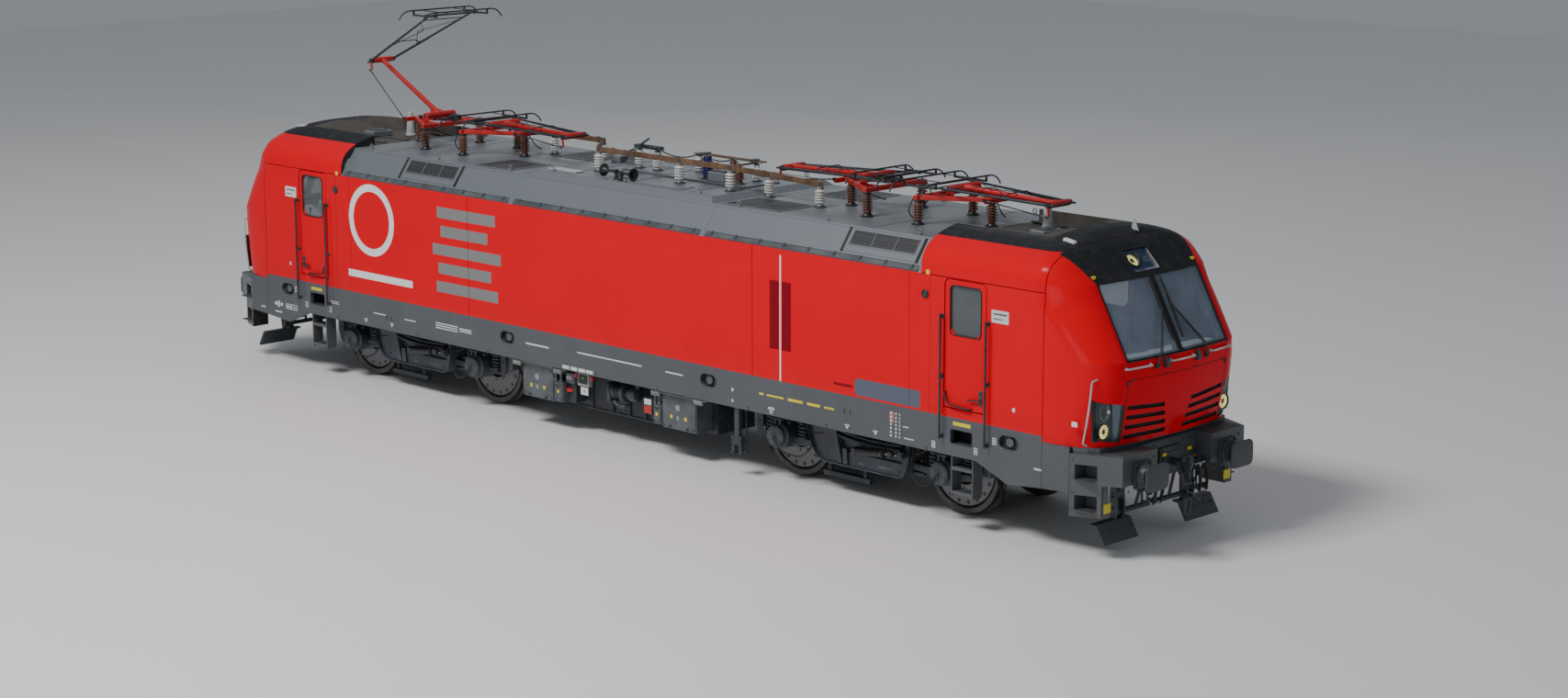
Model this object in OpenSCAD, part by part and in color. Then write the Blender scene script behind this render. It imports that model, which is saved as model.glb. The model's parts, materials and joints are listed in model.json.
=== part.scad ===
// Four-axle electric mainline locomotive with two driving cabs, two motor bogies and
// four half-pantographs on the roof.  Millimetres, +X to the front cab, +Z up.
// Heights are written above the rail top; the wheel flanges reach flange_h below it,
// so every sub-part is lifted by flange_h and the flanges stand on z = 0.

/* [Overall] */
// Length over the buffers
length = 18980; // [17600:10:22800]
// Width of the body over the side walls
body_w = 3012; // [2900:2:3620]
// Top of the side walls, above the rail
wall_top = 3280; // [3180:5:3560]
// Height of the flat roof deck above the side walls
deck_rise = 410; // [340:5:480]
// Height of the cab roof above the side walls
crown_rise = 625; // [560:5:700]

/* [Running gear] */
// Wheel diameter on the tread
wheel_d = 1250; // [1050:5:1300]
// Depth of the flange below the tread
flange_h = 30; // [26:1:36]
// Distance between the backs of the wheels
back_to_back = 1360; // [1300:1:1600]
// Width of the tyre
tyre_w = 135; // [115:1:150]
// Distance between the two axles of a bogie
wheelbase = 3000; // [2700:10:3600]
// Distance from the buffer face to the bogie pivot
bogie_setback = 4740; // [4600:10:5200]
// Radius of the axle journal
journal_r = 80; // [65:1:96]

/* [Body] */
// Thickness of the side walls, sills and doors
wall = 60; // [45:1:75]
// Top of the grey sill
sill_top = 1470; // [1440:5:1520]
// Bottom of the sill between the bogies
sill_bottom = 965; // [900:5:1020]
// Distance from the buffer face to the rear edge of the cab
cab_setback = 3395; // [3300:5:3600]
// Width of the cab doors
door_w = 690; // [600:5:740]
// Gap around a cab door
door_gap = 10; // [8:1:14]

/* [Buffers] */
// Height of the buffers above the rail
buffer_z = 1060; // [1000:5:1110]
// Distance between the buffers
buffer_gauge = 1750; // [1700:5:1800]

/* [Pantographs] */
// Length of the lower arm
lower_len = 1620; // [1450:5:1700]
// Length of the upper arm
upper_len = 1950; // [1800:5:2050]
// Distance between the two contact bows of a head
bow_gap = 560; // [480:5:600]
// Height of the supporting insulators
insulator_h = 330; // [280:5:380]
// Angle of the raised lower arm
raised_angle = 27.9; // [5:0.1:45]

/* [Hidden] */
$fn = 48;

// --- places along the locomotive ---
half_len = length / 2;
half_w = body_w / 2;
inner_w = half_w - wall;
bogie_x = half_len - bogie_setback;
cab_x0 = half_len - cab_setback;            // rear edge of the cab, end of the roof hood
nose_x = half_len - 350;                    // furthest point of the nose
panel_x = half_len - 1348;                  // upright panel joint behind the nose
skirt_x = half_len - 905;                   // front end of the sill
stock_x = half_len - 270;                   // front of the headstocks
door_x = cab_x0 + 415;                      // hinge side of the door
door_mid = door_x + door_w / 2;

// --- heights above the rail ---
floor_top = sill_top - 70;
floor_t = 70;
floor_under = floor_top - floor_t;
deck_z = wall_top + deck_rise;
crown_z = wall_top + crown_rise;
shoulder_z = wall_top - 30;
screen_foot = wall_top - 810;
screen_head = wall_top + 97;
brow_z = crown_z - 155;
door_sill = sill_top + 125;
door_head = wall_top - 20;
wheel_r = wheel_d / 2;
skirt_bottom = sill_bottom - 145;

// --- small named sizes ---
overlap = 1;                                // cutters run this far past a face
seat_gap = 0.3;                             // clearance of a piece on its seat
wheel_in = back_to_back / 2;
wheel_out = wheel_in + tyre_w;
frame_in = wheel_out + 135;                 // inner face of a bogie's side beam
frame_out = frame_in + 180;
box_out = wheel_out + 504;                  // outer face of an axle box
bogie_end = wheelbase / 2 + 700;            // half the length of a bogie frame
under_half = bogie_x - bogie_end - 620;     // half the length of the underfloor bay
pivot_r = 120;
pin_len = 690;                              // reach of a king pin below the floor

// =====================================================================
// Helpers
// =====================================================================
module on_rail() translate([0, 0, flange_h]) children();
module both_sides() { children(); mirror([0, 1, 0]) children(); }
module both_ends() { children(); mirror([1, 0, 0]) children(); }
module four_corners() both_ends() both_sides() children();

// A block between two corners
module block(x, y, z) translate([x[0], y[0], z[0]]) cube([x[1] - x[0], y[1] - y[0], z[1] - z[0]]);

// An outline in Y and Z drawn out along X, and an outline in X and Z along Y
module run_x(x0, x1) translate([x0, 0, 0]) rotate([90, 0, 90]) linear_extrude(x1 - x0) children();
module run_y(y0, y1) translate([0, y1, 0]) rotate([90, 0, 0]) linear_extrude(y1 - y0) children();

// Round bars along X and Y
module bar_x(r, x0, x1) translate([x0, 0, 0]) rotate([0, 90, 0]) cylinder(r = r, h = x1 - x0);
module bar_y(r, y0, y1) translate([0, y1, 0]) rotate([90, 0, 0]) cylinder(r = r, h = y1 - y0);

// A round bar from one point to another
module bar_to(a, b, r) {
    d = b - a;
    flat = norm([d[0], d[1]]);
    translate(a) rotate([0, atan2(flat, d[2]), atan2(d[1], d[0])]) cylinder(r = r, h = norm(d));
}

// A rectangle with round corners, between two corners
module round_rect(lo, hi, r) {
    w = hi[0] - lo[0];
    h = hi[1] - lo[1];
    translate(lo) union() {
        translate([r, 0]) square([w - 2 * r, h]);
        translate([0, r]) square([w, h - 2 * r]);
        for (x = [r, w - r], y = [r, h - r]) translate([x, y]) circle(r = r);
    }
}

// =====================================================================
// Cab outline: level slices whose width follows the roof shoulder and whose
// front follows the nose, the windscreen slope and the brow
// =====================================================================
shoulder_span = crown_z - shoulder_z;
screen_lean = 502 / 907;                    // backward run of the windscreen per rise
nose_lean = 130;
brow_x = nose_x - (screen_head - screen_foot) * screen_lean - (brow_z - screen_head);
crown_x = brow_x - 415;
screen_half = 1003;                         // half the width of the windscreen

function cab_half(z) = z <= shoulder_z ? half_w
    : half_w * pow(1 - pow((z - shoulder_z) / shoulder_span, 3.3), 1 / 2.2);
function cab_front(z) =
    z < screen_foot ? nose_x - nose_lean * pow(max(0, screen_foot - 70 - z) / 1000, 2)
    : z < screen_head ? nose_x - (z - screen_foot) * screen_lean
    : z < brow_z ? nose_x - (screen_head - screen_foot) * screen_lean - (z - screen_head)
    : crown_x + (brow_x - crown_x) * pow(max(0, crown_z - z) / (crown_z - brow_z), 0.6);
function front_at(y, z) = cab_front(z) - 60 * pow(y / screen_half, 2);
function crease_back(z) =
    z < screen_foot ? 480 : 480 + 60 * pow((z - screen_foot) / 300, 1.4);

function side_taper(x) = 55 * pow(max(0, x - panel_x) / 500, 1.5);

// Half of one slice, from the rear edge round to the middle of the front
function slice_half(z, inset) =
    let (zz = min(z + inset, crown_z - 6), w = cab_half(zz) - inset * 0.8,
         front = cab_front(zz) - inset, edge = min(screen_half, 0.7 * w),
         corner = front - 60 * pow(edge / screen_half, 2),
         start = max(min(panel_x - 100, corner - 300), min(panel_x + 500, corner - crease_back(z))),
         w1 = w - side_taper(start))
    concat([for (t = [0, 0.5, 0.8, 0.87, 0.94]) let (x = cab_x0 + (start - cab_x0) * t) [x, w - side_taper(x)]],
           [for (i = [0 : 7]) [start + (corner - start) * sin(90 * i / 7), edge + (w1 - edge) * cos(90 * i / 7)]],
           [for (i = [1 : 3]) [front - 60 * pow(edge * (1 - i / 4) / screen_half, 2), edge * (1 - i / 4)]],
           [[front, 0]]);
function slice(z, inset) =
    let (h = slice_half(z, inset), n = len(h))
    concat([for (p = h) [p[0], -p[1], z]], [for (i = [n - 2 : -1 : 0]) [h[i][0], h[i][1], z]]);

function cab_levels() = concat(
    [for (i = [0 : 4]) floor_top + (screen_foot - floor_top) * i / 4],
    [for (i = [1 : 4]) screen_foot + (screen_head - screen_foot) * i / 4],
    [for (i = [1 : 3]) screen_head + (brow_z - screen_head) * i / 3],
    [for (t = [0.3, 0.55, 0.75, 0.88, 0.95, 1]) brow_z + (crown_z - 6 - brow_z) * t]);

// A closed solid through a stack of equal rings
module stack(rings) {
    n = len(rings[0]);
    m = len(rings);
    points = [for (r = rings) each r];
    sides = [for (j = [0 : m - 2], i = [0 : n - 1])
        let (a = j * n + i, b = j * n + (i + 1) % n) each [[a, b + n, b], [a, a + n, b + n]]];
    half = (n - 1) / 2;
    strips = concat([for (i = [0 : half - 2]) each [[i, i + 1, n - 2 - i], [i, n - 2 - i, n - 1 - i]]],
        [[half - 1, half, half + 1]]);
    top = (m - 1) * n;
    polyhedron(points, concat(sides, strips, [for (f = strips) [top + f[2], top + f[1], top + f[0]]]),
        convexity = 6);
}
module cab_solid(inset, z0, z1) {
    levels = [for (z = cab_levels()) if (z > z0 + 5 && z < z1 - 5) z];
    stack([for (z = concat([z0], levels, [z1])) slice(z, inset)]);
}

// =====================================================================
// Body
// =====================================================================
module sill_outline() polygon([
    [skirt_x, floor_top], [panel_x, floor_top], [panel_x, sill_top], [-panel_x, sill_top],
    [-panel_x, floor_top], [-skirt_x, floor_top], [-skirt_x, skirt_bottom + 5],
    [-panel_x, skirt_bottom - 20], [-panel_x + 560, skirt_bottom - 70],
    [-panel_x + 1090, sill_bottom], [panel_x - 1090, sill_bottom],
    [panel_x - 560, skirt_bottom - 70], [panel_x, skirt_bottom - 20], [skirt_x, skirt_bottom + 5]]);

step_hole_w = 373;
step_hole_x = door_mid - 48;                // middle of the foot hole in the sill
module sill_holes() {
    both_ends() run_y(half_w - wall - overlap, half_w + overlap) {
        round_rect([step_hole_x - step_hole_w / 2, sill_top - 347], [step_hole_x + step_hole_w / 2, sill_top - 150], 30);
        for (p = [[panel_x - 547, sill_top - 180], [bogie_x - 2595, sill_top - 205]])
            round_rect([p[0] - 160, p[1] - 93], [p[0] + 160, p[1] + 93], 90);
    }
}

module sill() difference() {
    run_y(inner_w, half_w) sill_outline();
    sill_holes();
}
module sill_left() color("slategray") on_rail() sill();
module sill_right() color("slategray") on_rail() mirror([0, 1, 0]) sill();

module underframe() color("slategray") on_rail() {
    translate([0, 0, floor_under]) linear_extrude(floor_t) polygon([
        [-skirt_x - 300, -inner_w + 160], [-skirt_x, -inner_w], [skirt_x, -inner_w],
        [skirt_x + 300, -inner_w + 160], [skirt_x + 300, inner_w - 160], [skirt_x, inner_w],
        [-skirt_x, inner_w], [-skirt_x - 300, inner_w - 160]]);
    both_ends() translate([bogie_x, 0, floor_under - pin_len]) cylinder(r = pivot_r, h = pin_len);
}

stock_in = 560;                             // inner face of a headstock box
stock_out = half_w - 256;                   // outer face at the front
stock_top = floor_under;
module headstock_corner() {
    depth = 260;
    difference() {
        union() {
            translate([0, 0, skirt_bottom + 130]) linear_extrude(stock_top - skirt_bottom - 130) polygon([
                [skirt_x, stock_in], [stock_x, stock_in], [stock_x, stock_out], [skirt_x, half_w]]);
            translate([0, 0, skirt_bottom - 290]) linear_extrude(430) polygon([
                [skirt_x, half_w - 300], [skirt_x + 385, half_w - 300],
                [skirt_x + 385, half_w - 156], [skirt_x, half_w]]);
        }
        for (z = [skirt_bottom + 180, skirt_bottom - 210])
            block([skirt_x + 65, skirt_x + 335], [half_w - depth, half_w + overlap], [z, z + 195]);
    }
}
module headstocks() color("dimgray") on_rail() {
    four_corners() headstock_corner();
    both_ends() block([skirt_x + 80, skirt_x + 380], [-stock_in, stock_in], [floor_under - 300, floor_under]);
}

module side_wall() block([-cab_x0, cab_x0], [inner_w, half_w], [sill_top, wall_top]);
module side_wall_left() color("crimson") on_rail() side_wall();
module side_wall_right() color("crimson") on_rail() mirror([0, 1, 0]) side_wall();

deck_half = half_w - 296;
module hood_outline(t) polygon([
    [-half_w + t, wall_top], [-deck_half + t * 0.5, deck_z - t], [deck_half - t * 0.5, deck_z - t],
    [half_w - t, wall_top]]);
knee_x = cab_x0 - 2165 - lower_len;         // knee of the inner folded pantographs
centre_half = knee_x - 360;                 // half the length of the raised roof middle
centre_rise = 75;
module roof_hood() color("slategray") on_rail() {
    difference() {
        run_x(-cab_x0, cab_x0) hood_outline(0);
        run_x(-cab_x0 - overlap, cab_x0 + overlap) translate([0, -overlap]) hood_outline(50);
    }
    intersection() {
        run_x(-centre_half, centre_half) polygon([[-deck_half, deck_z], [-deck_half + 90, deck_z + centre_rise],
            [deck_half - 90, deck_z + centre_rise], [deck_half, deck_z]]);
        run_y(-deck_half, deck_half) polygon([[-centre_half, deck_z], [-centre_half + 100, deck_z + centre_rise],
            [centre_half - 100, deck_z + centre_rise], [centre_half, deck_z]]);
    }
}

slope = [296, deck_rise] / norm([296, deck_rise]);
normal = [-slope[1], slope[0]];
// A plate lying on the roof slope, from one distance up the slope to another
module slope_plate(x0, x1, up0, up1, t) {
    foot = [-half_w, wall_top] + normal * seat_gap;
    run_x(x0, x1) polygon([foot + slope * up0, foot + slope * up1,
        foot + slope * up1 + normal * t, foot + slope * up0 + normal * t]);
}
gutter_gap = 60;
module gutters() both_sides() for (i = [-1, 0, 1]) {
    third = cab_x0 * 2 / 3;
    slope_plate(i * third - third / 2 + gutter_gap, i * third + third / 2 - gutter_gap, 6, 80, 24);
}

vent_len = 1340;
module vents_one_side() for (x = [cab_x0 - 815, 2035 - cab_x0])
    slope_plate(x - vent_len / 2, x + vent_len / 2, 115, 470, 26);
hatch = [1080, 770];
module roof_trim() color("darkslategray") on_rail() {
    gutters();
    vents_one_side();
    rotate([0, 0, 180]) vents_one_side();
    for (a = [0, 180]) rotate([0, 0, a]) {
        reach = a == 0 ? hatch[1] : 480;
        block([knee_x - 250, knee_x - 250 + hatch[0]], [-deck_half + 70, -deck_half + 70 + reach], [deck_z, deck_z + 14]);
        block([-knee_x - 990, -knee_x - 140], [-deck_half + 40, -deck_half + 890], [deck_z, deck_z + 14]);
    }
}

// =====================================================================
// Cabs
// =====================================================================
cab_wall = 70;
lining_top = deck_z - 90;
well_half = 830;
screen_bar = 34;                            // half the width of the bar between the panes

module screen_outline(shrink) round_rect([-screen_half + shrink, screen_foot + 15 + shrink],
    [screen_half - shrink, screen_head - shrink], 40);
module door_outline(grow) {
    lo = [door_x - grow, door_sill - grow];
    hi = [door_x + door_w + grow, door_head + grow];
    union() {
        translate(lo) square([hi[0] - lo[0], 300]);
        round_rect(lo, hi, 70 + grow);
    }
}
lamp_x0 = nose_x - 330;
module lamp_outline(shrink) polygon([
    [screen_half - 5 + shrink, floor_top + 45 + shrink], [half_w - 140 - shrink, floor_top + 95 + shrink],
    [half_w - 110 - shrink, floor_top + 600 - shrink], [screen_half + 15 + shrink, floor_top + 530 - shrink]]);
module brow_outline(shrink) translate([-255 + shrink, screen_head + 60 + shrink])
    square([510 - 2 * shrink, 250 - 2 * shrink]);

module cab_shell() {
    difference() {
        cab_solid(0, floor_top, crown_z - 6);
        difference() {
            translate([-overlap, 0, -overlap]) cab_solid(cab_wall, floor_top, lining_top);
            run_y(-half_w, half_w) polygon([[cab_x0 + 1400, lining_top - 60], [nose_x, lining_top - 400],
                [nose_x, lining_top + 400], [cab_x0 + 1400, lining_top + 400]]);
        }
        block([cab_x0 - overlap, panel_x], [-half_w - overlap, half_w + overlap], [0, sill_top]);
        run_y(-well_half, well_half) polygon([[cab_x0 - overlap, deck_z], [cab_x0 + 1100, deck_z],
            [cab_x0 + 1600, crown_z + overlap], [cab_x0 - overlap, crown_z + overlap]]);
        for (s = [-1, 1]) run_y(s * (half_w - 50) - 60, s * (half_w - 50) + 60) door_outline(door_gap);
        intersection() {
            run_x(nose_x - 900, nose_x + 100) screen_outline(0);
            union() for (s = [-1, 1]) block([0, nose_x + 100], s > 0 ? [screen_bar, half_w] : [-half_w, -screen_bar], [0, crown_z]);
        }
        run_x(nose_x - 900, nose_x) brow_outline(0);
        both_sides() run_x(lamp_x0, nose_x) lamp_outline(0);
    }
}
module cab_shell_front() color("red") on_rail() cab_shell();
module cab_shell_rear() color("red") on_rail() mirror([1, 0, 0]) cab_shell();

pane_t = 24;
// What lies between two insets of the cab outline
module skin(outer, t) difference() {
    cab_solid(outer, floor_top, crown_z - 60);
    cab_solid(outer + t, floor_top - overlap, crown_z - 59);
}
module windscreens() color([0.3, 0.4, 0.45, 0.5]) on_rail() both_ends() intersection() {
    skin(10, pane_t);
    run_x(nose_x - 700, nose_x + 100) screen_outline(seat_gap);
    union() for (s = [-1, 1]) block([0, nose_x + 100],
        s > 0 ? [screen_bar + seat_gap, half_w] : [-half_w, -screen_bar - seat_gap], [0, crown_z]);
}
module headlamps() color("lightyellow") on_rail() both_ends() {
    intersection() {
        skin(6, 50);
        union() {
            run_x(nose_x - 800, nose_x) brow_outline(seat_gap);
            both_sides() run_x(lamp_x0 + seat_gap, nose_x) lamp_outline(seat_gap);
        }
    }
}

module bulkhead() block([cab_x0 + 90, cab_x0 + 130], [-inner_w + 20, inner_w - 20], [floor_top, shoulder_z]);

module desk() run_y(-1150, 1150) polygon([
    [nose_x - 900, floor_top], [nose_x - 420, floor_top], [nose_x - 330, screen_foot - 60],
    [nose_x - 620, screen_foot - 100], [nose_x - 1000, screen_foot - 330], [nose_x - 960, screen_foot - 400]]);

module cab_fittings() color("lightgray") on_rail() both_ends() {
    bulkhead();
    desk();
}

seat_x = nose_x - 1500;
module driver_seat() {
    block([seat_x - 60, seat_x + 60], [-60, 60], [floor_top, floor_top + 420]);
    block([seat_x - 240, seat_x + 260], [-240, 240], [floor_top + 420, floor_top + 540]);
    run_y(-220, 220) polygon([[seat_x - 250, floor_top + 540], [seat_x - 130, floor_top + 540],
        [seat_x - 230, floor_top + 1240], [seat_x - 320, floor_top + 1240]]);
}
module driver_seats() color("darkslateblue") on_rail() both_ends() driver_seat();

// The hinge pins stand inside the wall; the doors open inwards
hinge_x = door_x + 10;
hinge_y = half_w - 66;
hinge_z = [door_sill + 260, door_head - 330];
module door_hinges() color("dimgray") on_rail() four_corners() for (z = hinge_z) {
    translate([hinge_x, hinge_y, z - 60]) cylinder(r = 8, h = 120);
    for (s = [-1, 1]) block([door_x - 60, hinge_x + 10], [hinge_y - 14, half_w - cab_wall * 0.8 - seat_gap],
        [z + s * 55 - 5, z + s * 55 + 5]);
}

// One cab door with its window, drawn on the +Y side of the front cab
pane_x = [door_x + 90, door_x + door_w - 80];
pane_z = [door_head - 710, door_head - 70];
module cab_door() {
    for (z = hinge_z) difference() {
        union() {
            translate([hinge_x, hinge_y, z - 45]) cylinder(r = 16, h = 90);
            block([hinge_x - 6, hinge_x + 30], [hinge_y, half_w - 44], [z - 45, z + 45]);
        }
        translate([hinge_x, hinge_y, z - 46]) cylinder(r = 8 + 0.8, h = 92);
    }
    difference() {
        run_y(half_w - 45, half_w) door_outline(0);
        run_y(half_w - 50, half_w + overlap) round_rect([pane_x[0], pane_z[0]], [pane_x[1], pane_z[1]], 60);
    }
    run_y(half_w - 30, half_w - 12) round_rect([pane_x[0] + seat_gap, pane_z[0] + seat_gap],
        [pane_x[1] - seat_gap, pane_z[1] - seat_gap], 60);
}
module door_front_left() color("red") on_rail() cab_door();
module door_front_right() color("red") on_rail() mirror([0, 1, 0]) cab_door();
module door_rear_left() color("red") on_rail() mirror([1, 0, 0]) cab_door();
module door_rear_right() color("red") on_rail() mirror([1, 0, 0]) mirror([0, 1, 0]) cab_door();

// =====================================================================
// Ends: buffers, draw gear, guards, steps, rails, wipers
// =====================================================================
module buffer() translate([0, buffer_gauge / 2, buffer_z]) {
    block([stock_x, stock_x + 30], [-170, 170], [-170, 170]);
    bar_x(135, stock_x + 30, stock_x + 120);
    bar_x(100, stock_x + 120, half_len - 35);
    run_x(half_len - 35, half_len) round_rect([-225, -170], [225, 170], 60);
}
module buffers() color("dimgray") on_rail() four_corners() buffer();

stock_mid_x = skirt_x + 380;                // front of the beam between the headstock boxes
module draw_gear() color("darkslategray") on_rail() both_ends() {
    block([stock_mid_x, stock_mid_x + 40], [-200, 200], [buffer_z - 190, buffer_z + 170]);
    run_y(-35, 35) difference() {
        union() {
            translate([stock_mid_x + 40, buffer_z - 60]) square([190, 110]);
            translate([stock_mid_x + 250, buffer_z + 10]) circle(r = 105);
        }
        translate([stock_mid_x + 265, buffer_z + 35]) circle(r = 45);
        translate([stock_mid_x + 250, buffer_z + 35]) square([90, 120]);
    }
}

module rail_guards() color("dimgray") on_rail() four_corners() {
    block([skirt_x + 120, skirt_x + 180], [700, 760], [360, skirt_bottom + 130]);
    run_y(500, 1180) polygon([[skirt_x + 80, 380], [skirt_x + 200, 380], [skirt_x + 330, 140], [skirt_x + 300, 130]]);
}

step_w = 375;
step_x0 = step_hole_x - step_w / 2;
module door_ladder() {
    for (x = [step_x0, step_x0 + step_w - 20])
        block([x, x + 20], [half_w - 210, half_w - 20], [430, sill_bottom]);
    for (z = [470, 790]) block([step_x0 + 20, step_x0 + step_w - 20], [half_w - 210, half_w - 20], [z, z + 30]);
}
module door_steps() color("dimgray") on_rail() four_corners() door_ladder();

rail_out = 60;                              // reach of a handrail from the wall
module handrails() color("silver") on_rail() four_corners() {
    for (x = [door_x - 30, door_x + door_w + 45]) translate([x, 0, 0]) {
        translate([0, half_w + rail_out, sill_top - 305]) cylinder(r = 16, h = 1715);
        for (z = [sill_top - 270, sill_top + 1300]) translate([0, 0, z]) bar_y(12, half_w, half_w + rail_out);
    }
}

module wipers() color("black") on_rail() both_ends() both_sides() {
    foot = [front_at(506, screen_foot - 110), 506, screen_foot - 110];
    bend = [front_at(490, screen_foot + 30) + 44, 490, screen_foot + 30];
    bar_to(foot + [30, 0, 0], bend, 10);
    translate(bend) sphere(r = 13);
    bar_to(bend, [front_at(180, screen_foot + 560) + 34, 180, screen_foot + 560], 10);
    translate([0, foot[1], foot[2]]) bar_x(28, foot[0] - seat_gap, foot[0] + 50);
}

// =====================================================================
// Under the floor
// =====================================================================
tank_half_w = half_w - 426;
module transformer() color("darkslategray") on_rail()
    block([-under_half + 30, under_half - 30], [-tank_half_w, tank_half_w], [380, floor_under]);

module underfloor_box(x0, x1, z0, z1) {
    block([x0, x1], [tank_half_w, half_w - 106], [z0, z1]);
    for (x = [x0 + 20, x1 - 60]) block([x, x + 40], [half_w - 130, half_w - 106], [z1, floor_under]);
}
module underfloor_side() {
    underfloor_box(-under_half, -under_half + 695, 410, 900);
    underfloor_box(-under_half + 719, -under_half + 890, 417, 730);
    underfloor_box(under_half - 840, under_half - 145, 415, 893);
    underfloor_box(under_half - 1019, under_half - 846, 410, 750);
}
module underfloor_boxes() color("dimgray") on_rail() {
    mirror([0, 1, 0]) underfloor_side();
    mirror([1, 0, 0]) underfloor_side();
}

// =====================================================================
// Roof gear
// =====================================================================
// A ribbed post insulator standing on z = 0
module insulator(h, r, ribs) {
    foot = 30;
    pitch = (h - 2 * foot) / ribs;
    rotate_extrude() polygon(concat([[0, 0], [r * 0.9, 0], [r * 0.9, 12], [r * 0.45, foot]],
        [for (i = [0 : ribs - 1]) each [[r * 0.62, foot + i * pitch + pitch * 0.3],
            [r, foot + i * pitch + pitch * 0.42], [r, foot + i * pitch + pitch * 0.58],
            [r * 0.62, foot + i * pitch + pitch * 0.85]]],
        [[r * 0.45, h - foot], [r * 0.55, h - 10], [r * 0.55, h], [0, h]]));
}

centre_z = deck_z + centre_rise;
bar_deck_z = deck_z + 280;                  // underside of the busbar over the deck
bar_mid_z = centre_z + 290;                 // underside of the busbar over the middle
module busbar_insulators() color("lightgray") on_rail() {
    for (p = [[-centre_half + 880, -600], [centre_half * 0.33, -600], [centre_half * 0.86, -600]])
        translate([p[0], p[1], centre_z]) insulator(290, 75, 5);
    for (p = [[knee_x - 180, -280], [knee_x + 940, -420], [-knee_x + 110, 500], [-knee_x - 1000, 500]])
        translate([p[0], p[1], deck_z]) insulator(280, 75, 5);
}
// The flat bar, standing on edge, through points [x, y, underside]
bar_points = [[-knee_x - 1060, 500, bar_deck_z], [-knee_x + 150, 500, bar_deck_z],
    [-centre_half + 840, -600, bar_mid_z], [centre_half * 0.9, -600, bar_mid_z],
    [knee_x - 220, -280, bar_deck_z], [knee_x + 980, -420, bar_deck_z]];
bar_t = 14;
bar_h = 80;
module bar_piece(a, b) {
    d = b - a;
    run = norm([d[0], d[1]]);
    translate([a[0], a[1], 0]) rotate([0, 0, atan2(d[1], d[0])]) run_y(-bar_t / 2, bar_t / 2)
        polygon([[0, a[2]], [run, b[2]], [run, b[2] + bar_h], [0, a[2] + bar_h]]);
}
module busbar() color("saddlebrown") on_rail() for (i = [0 : len(bar_points) - 2]) {
    bar_piece(bar_points[i], bar_points[i + 1]);
    translate([bar_points[i][0], bar_points[i][1], bar_points[i][2]]) cylinder(r = bar_t / 2 + 4, h = bar_h, $fn = 24);
}

module roof_switchgear() color("lightsteelblue") on_rail() {
    block([0, centre_half * 0.85], [-300, 420], [centre_z, centre_z + 30]);
    block([-centre_half * 0.5, -30], [-240, 340], [centre_z, centre_z + 30]);
    for (x = [-0.4, -0.2]) translate([centre_half * x, -60, centre_z + 30]) insulator(280, 75, 5);
    translate([centre_half * 0.37, -120, centre_z + 30]) insulator(330, 105, 6);
    translate([centre_half * 0.55, 60, centre_z + 30]) insulator(280, 75, 5);
}

module horns_antennas() color("darkslategray") on_rail() {
    for (i = [0, 1]) translate([-150 - 170 * i, -1000 + 60 * i, centre_z]) {
        cylinder(r = 25, h = 110);
        translate([0, 0, 110]) rotate([0, i == 0 ? 90 : -90, 0]) cylinder(r1 = 30, r2 = 95, h = 260);
    }
    both_ends() {
        translate([cab_x0 + 560, 330, deck_z]) cylinder(r1 = 70, r2 = 40, h = 380);
        translate([crown_x - 60, 0, crown_z - 6]) cylinder(r1 = 40, r2 = 12, h = 171);
    }
}

// =====================================================================
// Pantographs
// =====================================================================
folded_lower = -1.5;
folded_upper = 2;
upper_gain = 0.8;                           // turn of the upper arm per turn of the lower arm
rod_gain = 1.555;
folded_rod = -5.6;
arm_pivot = [605, 2165];                    // pivots behind the end of the roof hood
pivot_z = deck_z + insulator_h + 140;
frame_z = deck_z + insulator_h;             // underside of a pantograph frame
frame_t = 60;
tube_half = 255;                            // half the width of the pivot tube
knee_half = 195;
head_half = 415;
lever = 150;
rod_len = 1080;
rod_y = -262;
pin_r = 12;
head_pin_r = 16;
pin_gap = 1;

// Where pantograph k stands: pivot place and the side its knee points to
function arm_x(k) = [-cab_x0 + arm_pivot[0], -cab_x0 + arm_pivot[1], cab_x0 - arm_pivot[1], cab_x0 - arm_pivot[0]][k - 1];
function knee_side(k) = [-1, 1, -1, 1][k - 1];
function bow_half(k) = [800, 800, 700, 800][k - 1];
function lower_at(k) = k == 1 ? raised_angle : folded_lower;
function upper_at(k) = folded_upper + upper_gain * (lower_at(k) - folded_lower);
function rod_at(k) = folded_rod + rod_gain * (lower_at(k) - folded_lower);

// Drawn with the pivot at the origin and the knee towards +X
module at_arm(k) translate([arm_x(k), 0, pivot_z]) mirror([knee_side(k) < 0 ? 1 : 0, 0, 0]) children();
module turned(a) rotate([0, -a, 0]) children();
function knee_at(k) = lower_len * [cos(lower_at(k)), 0, sin(lower_at(k))];
rod_foot = [575, 0, -86];

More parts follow.
